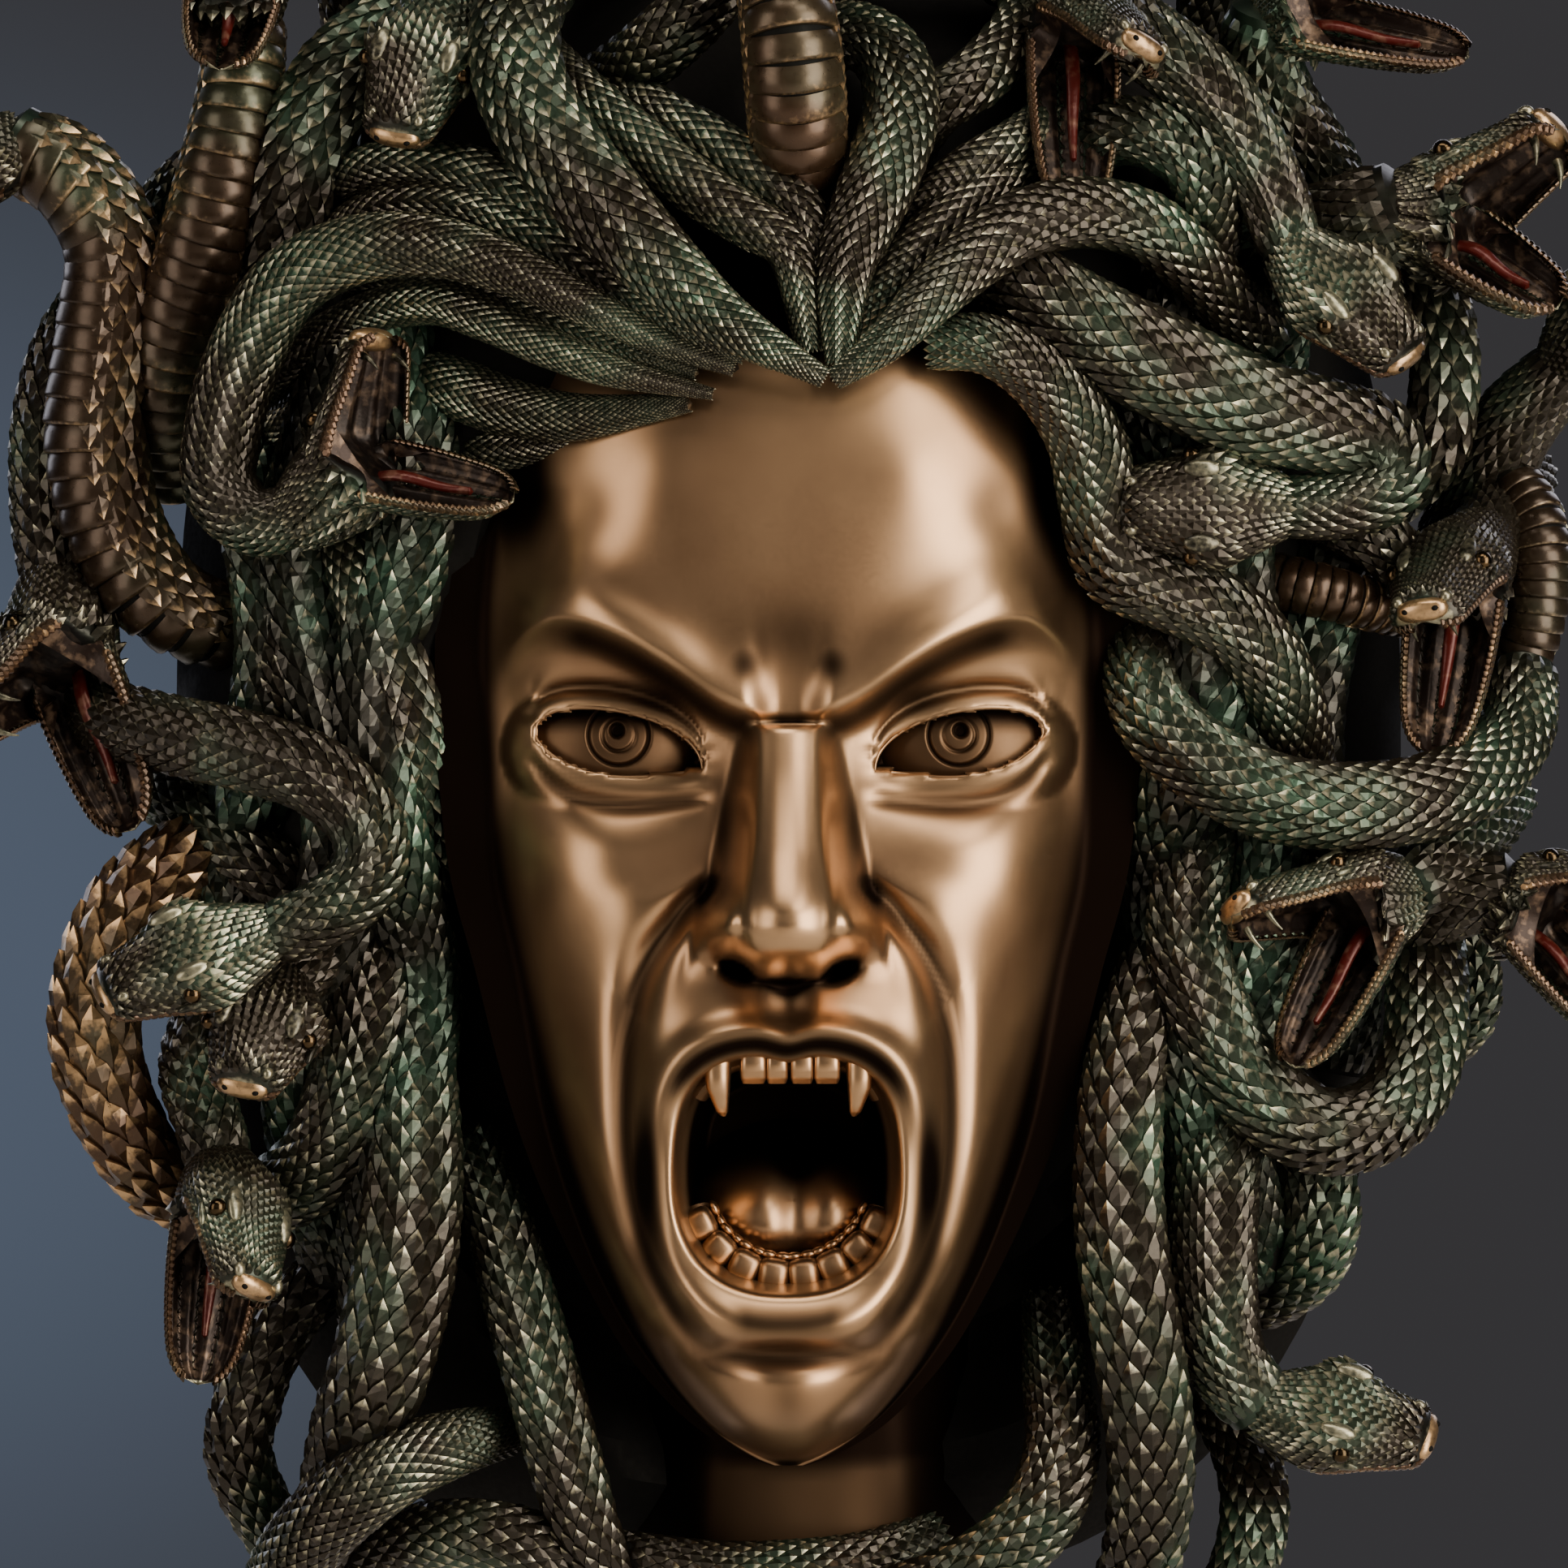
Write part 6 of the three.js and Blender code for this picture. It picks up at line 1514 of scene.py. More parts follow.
            (-48.3, 18, 13.5), (-47.5, 12.8, 15)], leaf=1.1, head=OpenHead((-46.6, 7.5, 17.5),
            (-0.55, -0.5, 0.6), 7.5, (0.36, -0.9, 0.3), 11.5, 1.15)),
        Snake("left_cobra", (2.2, 2.8, 2.6), [(-40, 20, 12), (-40.6, 25, 15.5), (-39.7, 30, 17.5),
            (-38, 35, 18.8), (-36.6, 40, 19.5), (-35.5, 45, 19.5), (-35.2, 49.5, 18.5)], gilt=0.4,
            belly=Belly((0.15, 0, 1), 1.15), head=OpenHead((-35.8, 51.5, 21.5), (0, 0.6, 0.8),
            8, (-0.1, -0.75, 0.65), 7)),
        Snake("left_rear_bridge", (2, 2.2, 1.8), [(-43, 33, 8), (-41.3, 36.5, 10.5), (-38.5, 39.5, 11.5),
            (-35, 42, 10)]),
    ],
    Region.RIGHT: [
        Snake("right_crown", (2, 2.4, 2.6), [(33.5, 36, 10), (35, 39.2, 13.5), (33.5, 41.8, 16),
            (31.6, 44.6, 18), (30.6, 47.5, 19.5), (31, 50, 20.5)], leaf=1.1, head=OpenHead((33, 49.5, 21.5),
            (0.75, 0.62, 0.2), 9, (0.97, -0.22, 0.15), 11)),
        Snake("right_striker", (2.8, 3.6, 3.3), [(28.5, 33, 13), (33.5, 34.8, 18.5), (36.8, 36, 21.5),
            (39.6, 37.2, 22.5)], leaf=1.15, head=OpenHead((43, 35.4, 23.2), (0.8, 0.55, 0.25),
            9, (0.8, -0.57, 0.25), 8, 1.2)),
        Snake("right_fall", (1.8, 2.1, 1.7), [(38.5, 37.5, 14), (41, 34, 16), (42.3, 30, 17),
            (42.5, 25.5, 17.2), (41.5, 21.5, 17), (37, 16.5, 12.5)], leaf=1.3),
        Snake("cheek_right", (1.6, 2.6, 2), [(9.5, 28.2, 30), (13, 28, 30.5), (16.5, 25.7, 29.8),
            (19, 22, 28.3), (20, 17.8, 27), (21.3, 14, 26), (25, 12.3, 25.5), (29, 10, 25), (31.8, 6, 23.5),
            (33, 1.5, 21), (33, -3, 17)], leaf=0.95),
        Snake("jaw_right_swag", (2.2, 2.7, 2.3), [(24.5, 11, 20), (22.8, 7.5, 23), (24, 3.8, 25),
            (27.5, 0.9, 26), (31.5, -0.9, 26.5), (36, -1.4, 26.3), (40.5, -0.9, 25), (44.5, 0.7, 22.8),
            (47, 3.5, 20.3), (47.6, 7.5, 18)], leaf=1.05),
        Snake("far_right_ringed", (1.8, 2, 1.8), [(46, 5.5, 15), (48, 9, 16), (48.8, 13, 16.5),
            (48.6, 17, 16), (47, 20, 14)], belly=Belly((0, 0, 1), 1.9)),
        Snake("far_right_rear", (2.4, 2.8, 2.3), [(43.5, 15.5, 9), (45.3, 19.5, 12), (47.3, 23.5, 14),
            (50.5, 27, 15.5)], head=ShutHead((55.5, 33.8, 18.7), (-0.6, 0.5, 0.6))),
        Snake("right_filler", (1.8, 2, 1.8), [(33, 17.5, 17), (36.5, 16.6, 20), (39.2, 14.8, 20.5),
            (41, 12.2, 18)], leaf=0.9),
        Snake("right_ringed", (1.6, 1.8, 1.6), [(29, 13.8, 18), (32.5, 12.9, 20.5), (36.5, 11.9, 20.5),
            (40, 11, 18)], gilt=0.5, belly=Belly((0, 0, 1), 1.9)),
        Snake("right_hanger", (2.2, 2.4, 2.2), [(48, 20, 8), (46.5, 18, 13), (45, 15.8, 18)],
            head=OpenHead((43.2, 12.5, 21), (-0.25, -0.45, 0.85), 8, (-0.15, -0.95, 0.3), 11)),
        Snake("jaw_right_biter", (2, 2.3, 2.3), [(46.5, -1, 14), (44.5, -3.2, 18), (42, -5.2, 21.5),
            (39.5, -6.9, 24)], head=OpenHead((37.3, -8.5, 25), (-0.8, -0.15, 0.55),
            9.8, (-0.45, -0.86, 0.28), 11)),
        Snake("far_right_biter", (1.9, 2.3, 2.4), [(38, -9.8, 16), (41, -8.6, 19), (44, -7.3, 20.5),
            (46.8, -6.6, 21)], head=OpenHead((48, -9, 22), (0.85, 0.15, 0.4), 8.5, (0.6, -0.75, 0.25), 10)),
        Snake("right_loop", (2.2, 2.7, 2.5), [(27.5, -2, 19), (26, -6, 22), (25.8, -10.5, 23),
            (27.2, -15, 23.5), (30, -19.5, 23.8), (34.5, -22.3, 23.5), (38.8, -21, 22.5), (41, -17, 21),
            (41.3, -12.5, 19), (41, -8, 16)], leaf=1.1),
        Snake("right_sliver", (1.3, 1.5, 1.3), [(39, -6, 9), (43.6, -8.6, 11), (44.9, -12.5, 12.5),
            (43.6, -16.5, 12.5), (36.5, -21, 9.5)], leaf=0.9),
        Snake("right_lower_loop", (2.2, 2.5, 2.2), [(31, -21.5, 12.5), (33.8, -25, 16), (34.4, -28.5, 17),
            (32.8, -31.8, 16), (28, -34.5, 11.5)], leaf=1.1),
        Snake("jaw_right_fall", (1.8, 2.7, 2.3), [(24.8, -9, 18), (23, -13.5, 21.5), (21.6, -19, 24),
            (21.2, -25, 25), (21.6, -31, 25.3), (22.6, -37, 25.3), (23.3, -43, 24), (23, -49, 21),
            (21.5, -54.5, 16)], leaf=1.5),
        Snake("right_low_crawler", (2.2, 2.8, 2.4), [(29.5, -18, 17), (28, -22.5, 20.5), (27.4, -27.5, 22.5),
            (27.4, -32.5, 23), (28.2, -37, 22.8), (30.5, -40.3, 22.3)], head=ShutHead((41.3, -42.2, 24.5),
            (0.1, 0.6, 0.8))),
        Snake("right_foot", (1.8, 2.1, 1.6), [(26.5, -38, 10.5), (29.5, -43, 15.5), (30.2, -47.5, 17),
            (29, -52, 15.5), (26, -55.5, 12)], leaf=1.1),
        Snake("neck_right", (1.5, 2.4, 2.2), [(16.8, -34, 17), (17.3, -38.5, 20), (17.6, -43, 22.5),
            (16, -47.2, 24), (12.8, -50.2, 24), (8.5, -52.3, 22.5), (3, -53.5, 20)], leaf=1.05),
    ],
}


@dataclass
class PlateShapes:
    """The few small meshes that are repeated as scales. Each is one unit wide, its tip along +Y."""

    objects: dict[Plate, bpy.types.Object] = field(default_factory=dict)

    def keep(self, kind: Plate, points: list[Vec], faces: list[tuple], rub: list[float],
             smooth: bool = False) -> None:
        """Stores one shape as an unlinked object."""
        mesh = bpy.data.meshes.new(f"plate_{kind.name.lower()}")
        mesh.from_pydata(points, [], faces, shade_flat=not smooth)
        mesh.attributes.new("rub", "FLOAT", "POINT").data.foreach_set("value", rub)
        mesh.update()
        self.objects[kind] = bpy.data.objects.new(mesh.name, mesh)

    def leaf(self) -> None:
        """A keeled leaf that ends in a blunt point."""
        points = [(-0.28, -0.1, -0.1), (0, -0.1, 0.02), (0.28, -0.1, -0.1), (-0.5, 0.5, 0), (0, 0.45, 0.24),
                  (0.5, 0.5, 0), (-0.36, 1.02, 0.1), (0, 1, 0.32), (0.36, 1.02, 0.1), (0, 1.52, 0.2),
                  (-0.5, 0.48, -0.16), (-0.36, 0.98, -0.1), (0, 1.46, -0.04), (0.36, 0.98, -0.1),
                  (0.5, 0.48, -0.16)]
        faces = [(0, 1, 4, 3), (1, 2, 5, 4), (3, 4, 7, 6), (4, 5, 8, 7), (6, 7, 9), (7, 8, 9),
                 (10, 3, 6, 11), (11, 6, 9, 12), (12, 9, 8, 13), (13, 8, 5, 14)]
        rub = [0, 0, 0, 0.25, 0.05, 0.25, 0.6, 0.4, 0.6, 1, 0, 0, 0.1, 0, 0]
        self.keep(Plate.LEAF, points, faces, rub)

    def fine(self) -> None:
        """The same leaf with fewer faces, for the smallest scales."""
        points = [(-0.28, -0.1, -0.06), (0.28, -0.1, -0.06), (-0.5, 0.56, 0.03), (0, 0.62, 0.27),
                  (0.5, 0.56, 0.03), (0, 1.45, 0.15), (-0.5, 0.54, -0.12), (0, 1.4, -0.06),
                  (0.5, 0.54, -0.12)]
        faces = [(0, 1, 3), (0, 3, 2), (1, 4, 3), (2, 3, 5), (3, 4, 5), (6, 2, 5, 7), (7, 5, 4, 8)]
        self.keep(Plate.FINE, points, faces, [0, 0, 0.4, 0.35, 0.4, 1, 0, 0.1, 0])

    def bead(self) -> None:
        """A low rounded bead for heads and lips."""
        turn = circle(6)
        top = [(0.3 * math.cos(a), 0.32 * math.sin(a) + 0.04, 0.24) for a in turn]
        rim = [(0.52 * math.cos(a), 0.54 * math.sin(a), 0.03) for a in turn]
        foot = [(0.54 * math.cos(a), 0.56 * math.sin(a), -0.12) for a in turn]
        faces = [tuple(range(6))]
        for k in range(6):
            j = (k + 1) % 6
            faces += [(k + 6, j + 6, j, k), (k + 12, j + 12, j + 6, k + 6)]
        self.keep(Plate.BEAD, top + rim + foot, faces, [0.42] * 6 + [0.2] * 6 + [0] * 6)

    def band(self, half_angle: float = 1.2) -> None:
        """A broad curved plate of the underside, on a cylinder of radius one."""
        turn = np.linspace(-half_angle, half_angle, 15)
        profile = [(-0.08, 0.96, 0.1), (0.08, 1.03, 0.15), (0.42, 1.07, 0.4), (0.5, 1.03, 0.6),
                   (0.52, 0.93, 0)]
        points = [(r * math.sin(a), y, r * math.cos(a)) for y, r, _ in profile for a in turn]
        rub = [value for _, _, value in profile for _ in turn]
        n = len(turn)
        corners = [i * n + j for i in range(4) for j in range(n - 1)]
        faces = [(c, c + 1, c + n + 1, c + n) for c in corners]
        self.keep(Plate.BAND, points, faces, rub, smooth=True)

    def make(self) -> dict[Plate, bpy.types.Object]:
        """Makes every kind and returns them."""
        self.leaf()
        self.fine()
        self.bead()
        self.band()
        return self.objects


@dataclass
class ScaleTree:
    """The node tree that sets a scale on every seat."""

    seed: int = 11
    tree: bpy.types.NodeTree | None = None

    def make(self) -> None:
        """Builds the tree with its named inputs."""
        tree = bpy.data.node_groups.new("scale_setting", "GeometryNodeTree")
        sockets = tree.interface
        sockets.new_socket("Seats", in_out="INPUT", socket_type="NodeSocketGeometry")
        for kind in Plate:
            sockets.new_socket(f"{kind.name.title()} plate", in_out="INPUT", socket_type="NodeSocketObject")
        sockets.new_socket("Finish", in_out="INPUT", socket_type="NodeSocketMaterial")
        sockets.new_socket("Seed", in_out="INPUT", socket_type="NodeSocketInt").default_value = self.seed
        sockets.new_socket("Scales", in_out="OUTPUT", socket_type="NodeSocketGeometry")
        start = add_node(tree, "NodeGroupInput")

        named = "GeometryNodeInputNamedAttribute"
        facing, tipward, which, size = (
            add_node(tree, named, {"data_type": kind}, Name=name).outputs["Attribute"]
            for name, kind in (("facing", "FLOAT_VECTOR"), ("heading", "FLOAT_VECTOR"), ("kind", "FLOAT"),
                               ("size", "FLOAT")))
        turn = add_node(tree, "FunctionNodeAxesToRotation", {"primary_axis": "Z", "secondary_axis": "Y"},
                        i0=facing, i1=tipward)
        joined = add_node(tree, "GeometryNodeJoinGeometry")
        for kind in Plate:
            shape = start.outputs[f"{kind.name.title()} plate"]
            plate = add_node(tree, "GeometryNodeObjectInfo", None, Object=shape)
            low = add_node(tree, "ShaderNodeMath", {"operation": "COMPARE"}, i0=which,
                           i1=float(kind.value), i2=0.1)
            sets = add_node(tree, "GeometryNodeInstanceOnPoints", None, Points=start.outputs["Seats"],
                            Selection=low.outputs[0], Instance=plate.outputs["Geometry"],
                            Rotation=turn.outputs[0], Scale=size)
            tree.links.new(sets.outputs[0], joined.inputs[0])
        chance = add_node(tree, "FunctionNodeRandomValue", {"data_type": "FLOAT"})
        tree.links.new(start.outputs["Seed"], chance.inputs["Seed"])
        toned = add_node(tree, "GeometryNodeStoreNamedAttribute",
                         {"data_type": "FLOAT", "domain": "INSTANCE"},
                         Geometry=joined.outputs[0], Name="tone", Value=chance.outputs[1])
        real = add_node(tree, "GeometryNodeRealizeInstances", None, i0=toned.outputs[0])
        done = add_node(tree, "GeometryNodeSetMaterial", None, Geometry=real.outputs[0],
                        Material=start.outputs["Finish"])
        end = add_node(tree, "NodeGroupOutput")
        tree.links.new(done.outputs[0], end.inputs[0])
        self.tree = tree

    def run(self, cloud: bpy.types.Object, plates: dict[Plate, bpy.types.Object], finish: bpy.types.Material,
            name: str) -> bpy.types.Mesh:
        """Sets the scales and returns them as one plain mesh.

        Args:
            cloud: The seats.
            plates: The shape of each kind.
            finish: The scales' material.
            name: The mesh's name.

        Returns:
            The realised scales.
        """
        bpy.context.scene.collection.objects.link(cloud)
        settings = cloud.modifiers.new("scales", "NODES")
        settings.node_group = self.tree
        values = {f"{kind.name.title()} plate": plates[kind] for kind in Plate} | {"Finish": finish}
        for item in self.tree.interface.items_tree:
            if item.item_type == "SOCKET" and item.in_out == "INPUT" and item.name in values:
                settings[item.identifier] = values[item.name]
        bpy.context.view_layer.update()
        ready = cloud.evaluated_get(bpy.context.evaluated_depsgraph_get())
        mesh = bpy.data.meshes.new_from_object(ready)
        mesh.name = name
        cloud.modifiers.remove(settings)
        bpy.data.objects.remove(cloud, do_unlink=True)
        for spare in ("facing", "heading", "size", "kind"):
            if spare in mesh.attributes:
                mesh.attributes.remove(mesh.attributes[spare])
        return mesh


@dataclass
class Nest:
    """All the snakes: their bodies and heads as one piece a region, and their scales as another."""

    face: Face
    body: Body
    buried: float = 0.3
    step: float = 1.05
    courses: dict[str, Course] = field(default_factory=dict)

    def free(self, owners: Array, position: Array) -> Array:
        """Which seats aren't buried in the face, the body or another snake.

        Args:
            owners: The snake that each seat belongs to.
            position: The seats' places.

        Returns:
            True for a free seat.
        """
        u, d, w = position[:, 0], -position[:, 1], position[:, 2]
        body = self.body
        inside = body.reach(u, w, body.half_width, body.half_height, body.middle) < 1
        free = ~(inside & (d < body.front(u, w) - self.buried))
        within = (np.abs(u) < along(self.face.half_widths, w)) & (w < self.face.top) & (w > self.face.foot)
        free &= ~(within & (d < self.face.form(u, w) - self.buried))
        names = list(self.courses)
        line = np.vstack([self.courses[n].line for n in names]).astype(np.float32)
        radius = np.concatenate([self.courses[n].radius for n in names]).astype(np.float32) - self.buried
        whose = np.concatenate([np.full(len(self.courses[n].line), k) for k, n in enumerate(names)])
        spots = position.astype(np.float32)
        for start in range(0, len(spots), 4000):
            part = spots[start : start + 4000]
            apart = (part**2).sum(1)[:, None] + (line**2).sum(1)[None] - 2 * part @ line.T
            hit = (apart < (radius**2)[None]) & (whose[None] != owners[start : start + 4000, None])
            free[start : start + 4000] &= ~hit.any(1)
        return free

    def build(self, bodies: list[bpy.types.Material], scales: bpy.types.Material) -> list[bpy.types.Object]:
        """Makes every region.

        Args:
            bodies: The snakes' skin, mouth lining, red paint and eyes.
            scales: The scales' finish.

        Returns:
            The pieces.
        """
        plates = PlateShapes().make()
        tree = ScaleTree()
        tree.make()
        table = SNAKES | {Region.DEEP: self.body.coils()}
        for snakes in table.values():
            for snake in snakes:
                self.courses[snake.name] = Course.of(snake, self.step)
        names = list(self.courses)
        pieces = []
        for region, snakes in table.items():
            cast, seats, owners = Casting(), Seats(), []
            for snake in snakes:
                before = sum(map(len, seats.rows["size"]))
                SnakeMaker(snake).build(self.courses[snake.name], cast, seats)
                added = sum(map(len, seats.rows["size"])) - before
                owners.append(np.full(added, names.index(snake.name)))
            chosen = self.free(np.concatenate(owners), seats.joined("position"))
            chosen |= seats.joined("kind") == Plate.BAND.value
            seats.keep(chosen)
            pieces.append(cast.build(f"snakes_{region.value}", bodies))
            mesh = tree.run(seats.cloud(f"seats_{region.value}"), plates, scales, f"scales_{region.value}")
            pieces.append(hang(f"scales_{region.value}", mesh, []))
            LOG.info("%s: %d scales, %d triangles", region.value, int(chosen.sum()), triangles(pieces[-1]))
        for plate in plates.values():
            bpy.data.objects.remove(plate)
        return pieces


def triangles(piece: bpy.types.Object) -> int:
    """How many triangles a piece has."""
    return len(piece.data.loops) - 2 * len(piece.data.polygons)


@dataclass(frozen=True)
class PolishedBronze:
    """Statuary bronze, chased smooth and waxed.

    It gives a soft satin mirror, mixed towards near-black by the darkening trait: patina in the hollows, and
    painted shade where shade falls on the face, teeth and neck.
    """

    name: str = "polished_statuary_bronze"
    bright: str = "#c9a680"
    brown: str = "#8b6a50"
    # Near-black of the patina and of the painted shade.
    dark: str = "#160f0b"
    roughness: float = 0.31
    cloud_mm: float = 500 / 11
    grain_mm: float = 0.7

    def make(self) -> bpy.types.Material:
        """Builds the material."""
        material, tree = new_material(self.name)
        brown, bright, dark = linear(self.brown), linear(self.bright), linear(self.dark)
        where = add_node(tree, "ShaderNodeTexCoord").outputs["Object"]
        recess, rub = (add_node(tree, "ShaderNodeAttribute", {"attribute_name": name}).outputs["Fac"]
                       for name in ("recess", "rub"))
        cloud, fine = (
            add_node(tree, "ShaderNodeTexNoise", None, Vector=where, Scale=1000 / size_mm,
                     Detail=detail).outputs["Fac"]
            for size_mm, detail in ((self.cloud_mm, 4.0), (self.grain_mm, 2.0)))
        worn = add_node(tree, "ShaderNodeMapRange", None, i0=cloud, i1=0.2, i2=0.8).outputs[0]
        colour = add_node(tree, *MIX, i0=worn, i6=brown, i7=bright).outputs[2]
        colour = add_node(tree, *MIX, i0=rub, i6=colour, i7=bright).outputs[2]
        # Patina and painted shade: the darkening trait mixes in the near-black dark colour and dulls the
        # surface.
        deep = add_node(tree, *SMOOTH, i0=recess, i1=0.02, i2=0.85).outputs[0]
        colour = add_node(tree, *MIX, i0=deep, i6=colour, i7=dark).outputs[2]
        rough = add_node(tree, "ShaderNodeMapRange", None, i0=fine, i1=0.3, i2=0.7,
                         i3=self.roughness - 0.01, i4=self.roughness + 0.02)
        dull = add_node(tree, *MUL_ADD, i0=deep, i1=0.2, i2=rough.outputs[0]).outputs[0]
        bump = add_node(tree, "ShaderNodeBump", None, Strength=0.006, Distance=0.00005, Height=fine)
        shader = add_node(tree, "ShaderNodeBsdfPrincipled", None, Base_Color=colour, Metallic=1.0,
                          Roughness=dull, Normal=bump.outputs[0])
        add_node(tree, "ShaderNodeOutputMaterial", None, Surface=shader.outputs[0])
        return material


@dataclass(frozen=True)
class SnakePatina:
    """Bronze under a green-black liver patina.

    Verdigris stands in patches, and bare metal shows where hands and cloth rub the edges. Where the darkening
    trait is high, the colour goes near-black, rougher and without coat, as painted shade.
    """

    name: str = "green_black_patina"
    dark: str = "#1f1f18"
    green: str = "#283a2e"
    verdigris: str = "#3a6350"
    brown: str = "#5c402a"
    bare: str = "#c6c3a6"
    gilded: str = "#e0bb8c"
    # Near-black, used as painted shade.
    painted_shade: str = "#060605"
    roughness: float = 0.32
    patch_mm: float = 26.0
    grain_mm: float = 10 / 9
    rub_from: float = 0.7

    def make(self) -> bpy.types.Material:
        """Builds the material."""
        material, tree = new_material(self.name)
        where = add_node(tree, "ShaderNodeTexCoord").outputs["Object"]
        tone, rub, gilt, recess = (
            add_node(tree, "ShaderNodeAttribute", {"attribute_name": name}).outputs["Fac"]
            for name in ("tone", "rub", "gilt", "recess"))
        patch, fine = (
            add_node(tree, "ShaderNodeTexNoise", None, Vector=where, Scale=1000 / size_mm,
                     Detail=3.0).outputs["Fac"]
            for size_mm in (self.patch_mm, self.grain_mm))
        greened, grown = (
            add_node(tree, *SMOOTH, i0=patch, i1=low, i2=low + 0.2).outputs[0] for low in (0.42, 0.52))
        colour = add_node(tree, *MIX, i0=greened, i6=linear(self.dark), i7=linear(self.green)).outputs[2]
        grown = add_node(tree, *PRODUCT, i0=grown, i1=tone).outputs[0]
        for source, most, shade in ((grown, 0.7, self.verdigris), (gilt, 0.75, self.brown)):
            share = add_node(tree, *PRODUCT, i0=source, i1=most).outputs[0]
            colour = add_node(tree, *MIX, i0=share, i6=colour, i7=linear(shade)).outputs[2]
        # The two noises add 0.7 to the wear on average
        wear = rub
        for source, share in ((tone, 0.25), (gilt, 0.35), (patch, 0.8), (fine, 0.6)):
            wear = add_node(tree, *MUL_ADD, i0=source, i1=share, i2=wear).outputs[0]
        wear = add_node(tree, *SMOOTH, i0=wear, i1=self.rub_from + 0.7, i2=self.rub_from + 1.2).outputs[0]
        polished = add_node(tree, *SMOOTH, i0=gilt, i1=0.1, i2=0.5).outputs[0]
        metal = add_node(tree, *MIX, i0=polished, i6=linear(self.bare), i7=linear(self.gilded)).outputs[2]
        share = add_node(tree, *PRODUCT, i0=wear, i1=0.8).outputs[0]
        colour = add_node(tree, *MIX, i0=share, i6=colour, i7=metal).outputs[2]
        # Painted shade: the darkening trait mixes in the near-black shade colour, roughens the surface and
        # takes the coat away.
        deep = add_node(tree, *SMOOTH, i0=recess, i1=0.3, i2=0.8).outputs[0]
        colour = add_node(tree, *MIX, i0=deep, i6=colour, i7=linear(self.painted_shade)).outputs[2]
        rough = add_node(tree, *MUL_ADD, i0=fine, i1=0.3, i2=self.roughness - 0.15).outputs[0]
        rough = add_node(tree, *MUL_ADD, i0=deep, i1=0.4, i2=rough).outputs[0]
        metallic = add_node(tree, *MUL_ADD, i0=wear, i1=0.25, i2=0.72).outputs[0]
        coat = add_node(tree, *MUL_ADD, i0=deep, i1=-0.35, i2=0.35).outputs[0]
        bump = add_node(tree, "ShaderNodeBump", None, Strength=0.12, Distance=0.0003, Height=fine)
        shader = add_node(tree, "ShaderNodeBsdfPrincipled", None, Base_Color=colour, Metallic=metallic,
                          Roughness=rough, Normal=bump.outputs[0], Coat_Weight=coat, Coat_Roughness=0.25)
        add_node(tree, "ShaderNodeOutputMaterial", None, Surface=shader.outputs[0])
        return material


@dataclass(frozen=True)
class WornPaint:
    """A thin coat over the casting: the brown wash inside the snakes' mouths, or the red of their tongues."""

    name: str
    colour: str
    rubbed: str
    metallic: float
    roughness: float
    # Near-black, used as painted shade.
    painted_shade: str = "#080504"
    fleck_mm: float = 50 / 21

    def make(self) -> bpy.types.Material:
        """Builds the material."""
        material, tree = new_material(self.name)
        where = add_node(tree, "ShaderNodeTexCoord").outputs["Object"]
        recess = add_node(tree, "ShaderNodeAttribute", {"attribute_name": "recess"}).outputs["Fac"]
        worn = add_node(tree, "ShaderNodeTexNoise", None, Vector=where, Scale=1000 / self.fleck_mm,
                        Detail=4.0).outputs["Fac"]
        share = add_node(tree, "ShaderNodeMapRange", None, i0=worn, i1=0.5, i2=0.72).outputs[0]
        colour = add_node(tree, *MIX, i0=share, i6=linear(self.colour), i7=linear(self.rubbed)).outputs[2]
        # Painted shade: the darkening trait mixes the paint towards near-black.
        colour = add_node(tree, *MIX, i0=recess, i6=colour, i7=linear(self.painted_shade)).outputs[2]
        bump = add_node(tree, "ShaderNodeBump", None, Strength=0.35, Distance=0.0005, Height=worn)
        shader = add_node(tree, "ShaderNodeBsdfPrincipled", None, Base_Color=colour, Metallic=self.metallic,
                          Roughness=self.roughness, Normal=bump.outputs[0])
        add_node(tree, "ShaderNodeOutputMaterial", None, Surface=shader.outputs[0])
        return material


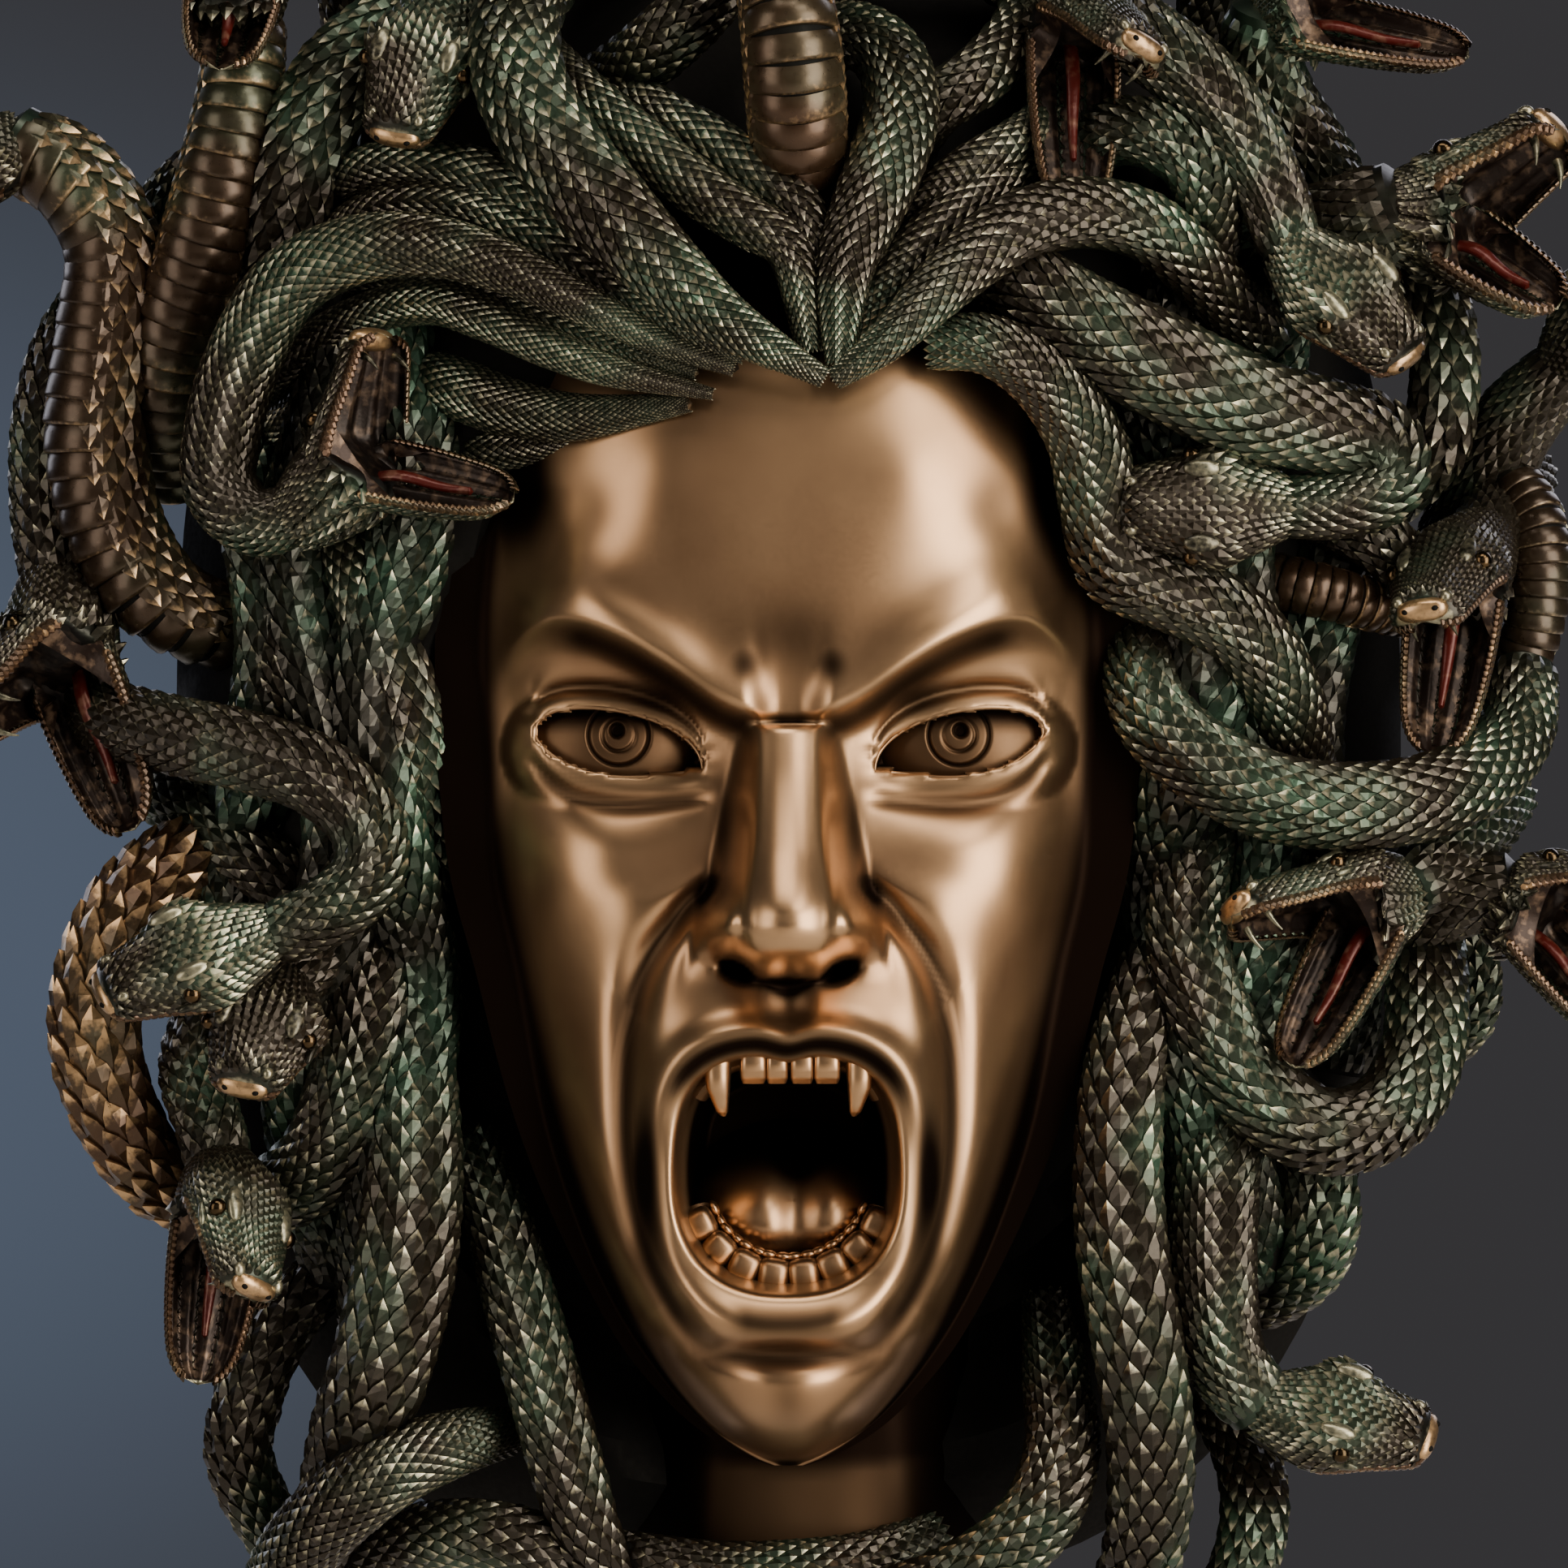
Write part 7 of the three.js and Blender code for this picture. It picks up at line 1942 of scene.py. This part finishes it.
@dataclass
class Studio:
    """The camera, a dark backdrop, a pale floor below the frame, and soft boxes."""

    distance: float = 2.5
    aim: tuple[float, float] = (-0.0009, 0.0)
    frame_width: float = 0.2998
    face_plane: float = -0.096
    floor_z: float = -0.5
    square: tuple = ((-1, -1), (1, -1), (1, 1), (-1, 1))
    lit: Vec = (0.0, -0.06, 0.0)

    def camera(self) -> None:
        """Puts the camera level with the face, straight in front of it."""
        lens = bpy.data.cameras.new("camera")
        lens.sensor_fit = "HORIZONTAL"
        lens.angle = 2 * math.atan(self.frame_width / 2 / self.distance)
        lens.dof.use_dof = False
        eye = bpy.data.objects.new("camera", lens)
        eye.location = (self.aim[0], self.face_plane - self.distance, self.aim[1])
        eye.rotation_euler = (math.pi / 2, 0, 0)
        bpy.context.scene.collection.objects.link(eye)
        bpy.context.scene.camera = eye

    def soft_box(self, name: str, at: Vec, size: tuple[float, float], power: float, colour: str) -> None:
        """Adds a rectangular light that faces the mask.

        Args:
            name: Its name.
            at: Where it stands.
            size: Its width and height.
            power: Its power in watts.
            colour: Its colour.
        """
        lamp = bpy.data.lights.new(name, "AREA")
        lamp.shape = "RECTANGLE"
        lamp.size, lamp.size_y = size
        lamp.energy = power
        lamp.color = linear(colour)[:3]
        box = bpy.data.objects.new(name, lamp)
        box.location = at
        way = np.array(self.lit) - np.array(at)
        yaw, pitch = math.atan2(way[1], way[0]), math.atan2(way[2], math.hypot(way[0], way[1]))
        box.rotation_euler = (math.pi / 2 + pitch, 0, yaw - math.pi / 2)
        box.visible_camera = False
        bpy.context.scene.collection.objects.link(box)

    def world(self) -> None:
        """Leaves the surroundings almost dark, so that the bronze shows its soft boxes."""
        world = bpy.data.worlds.new("studio")
        world.use_nodes = True
        shade = world.node_tree.nodes["Background"]
        shade.inputs["Color"].default_value = linear("#27292d")
        bpy.context.scene.world = world

    def sheet(self, name: str, corners: list[Vec], finish: bpy.types.Material) -> None:
        """Adds a flat sheet to the stage."""
        mesh = bpy.data.meshes.new(name)
        mesh.from_pydata(corners, [], [(0, 1, 2, 3)])
        mesh.materials.append(finish)
        piece = bpy.data.objects.new(name, mesh)
        bpy.context.scene.collection.objects.link(piece)

    def backdrop(self) -> None:
        """Hangs a glowing slate-grey backdrop far behind the mask, with a painted pool of lighter, bluer
        light on the left.
        """
        half, away = 1.1, 8.0
        paper, tree = new_material("slate_backdrop")
        where = add_node(tree, "ShaderNodeTexCoord").outputs["Object"]
        # Painted light: the glow is lighter and bluer near a spot on the left and fades round it.
        apart = add_node(tree, "ShaderNodeVectorMath", {"operation": "DISTANCE"}, i0=where,
                         i1=(-0.8, away, -0.13))
        share = add_node(tree, *SMOOTH, i0=apart.outputs["Value"], i1=0.15, i2=0.95).outputs[0]
        colour = add_node(tree, *MIX, i0=share, i6=linear("#525c6c"), i7=linear("#39383a")).outputs[2]
        glow = add_node(tree, "ShaderNodeEmission", None, Color=colour)
        add_node(tree, "ShaderNodeOutputMaterial", None, Surface=glow.outputs[0])
        self.sheet("backdrop", [(u * half, away, w * half) for u, w in self.square], paper)

    def floor(self) -> None:
        """Lays a plain pale floor."""
        matt, tree = new_material("matt_pale_floor")
        shader = add_node(tree, "ShaderNodeBsdfPrincipled", None, Base_Color=linear("#d8d5d0"), Roughness=0.8)
        add_node(tree, "ShaderNodeOutputMaterial", None, Surface=shader.outputs[0])
        self.sheet("floor", [(x * 1.6, y * 1.6, self.floor_z) for x, y in self.square], matt)

    def build(self) -> None:
        """Sets up the studio."""
        self.camera()
        self.world()
        self.floor()
        self.backdrop()
        self.soft_box("key_right", (0.96, -0.98, 0.16), (0.85, 1.4), 31, "#fff0de")
        self.soft_box("key_left", (-1.05, -0.85, 0.2), (0.6, 1.2), 6.8, "#ffeedc")
        self.soft_box("high_right", (0.5, -0.8, 0.98), (0.5, 0.35), 4, "#fff0de")
        self.soft_box("top", (-0.1, -0.5, 1.1), (0.7, 0.3), 4.5, "#fff0de")
        self.soft_box("front_fill", (0.1, -3.1, 0.85), (2.6, 2.2), 4.4, "#ffeedd")
        self.soft_box("behind", (0.35, 2.4, 0.75), (1.7, 1.1), 7, "#f4f2ff")
        self.soft_box("back_right", (1.6, 2.0, 1.5), (1.3, 1.3), 14, "#f4f2ff")
        self.soft_box("back_left", (-1.8, 1.7, 0.6), (1.2, 1.2), 8, "#eef0ff")


def main() -> None:
    """Loads the cast body, builds the mask round it and lights it."""
    logging.basicConfig(level=logging.INFO, format="%(message)s")
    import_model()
    bronze = PolishedBronze().make()
    patina = SnakePatina().make()
    lining = WornPaint("brown_mouth_wash", "#2c1f19", "#8b7460", 0.6, 0.36).make()
    red = WornPaint("red_tongue_paint", "#48130e", "#6e4c3e", 0.3, 0.32).make()
    eye = PolishedBronze("dark_polished_eyes", "#5b4a35", "#2c2a20", "#050505", 0.18).make()
    face, body = Face(), Body()
    pieces = [face.build([bronze]), Mouth().build([bronze]), body.build_neck([bronze]),
              body.build_back([patina])]
    pieces += Nest(face, body).build([patina, lining, red, eye], patina)
    Studio().build()
    for piece in pieces:
        LOG.info("piece %s: %d triangles", piece.name, triangles(piece))
    LOG.info("in all: %d triangles", sum(map(triangles, pieces)))


if __name__ == "__main__":
    main()
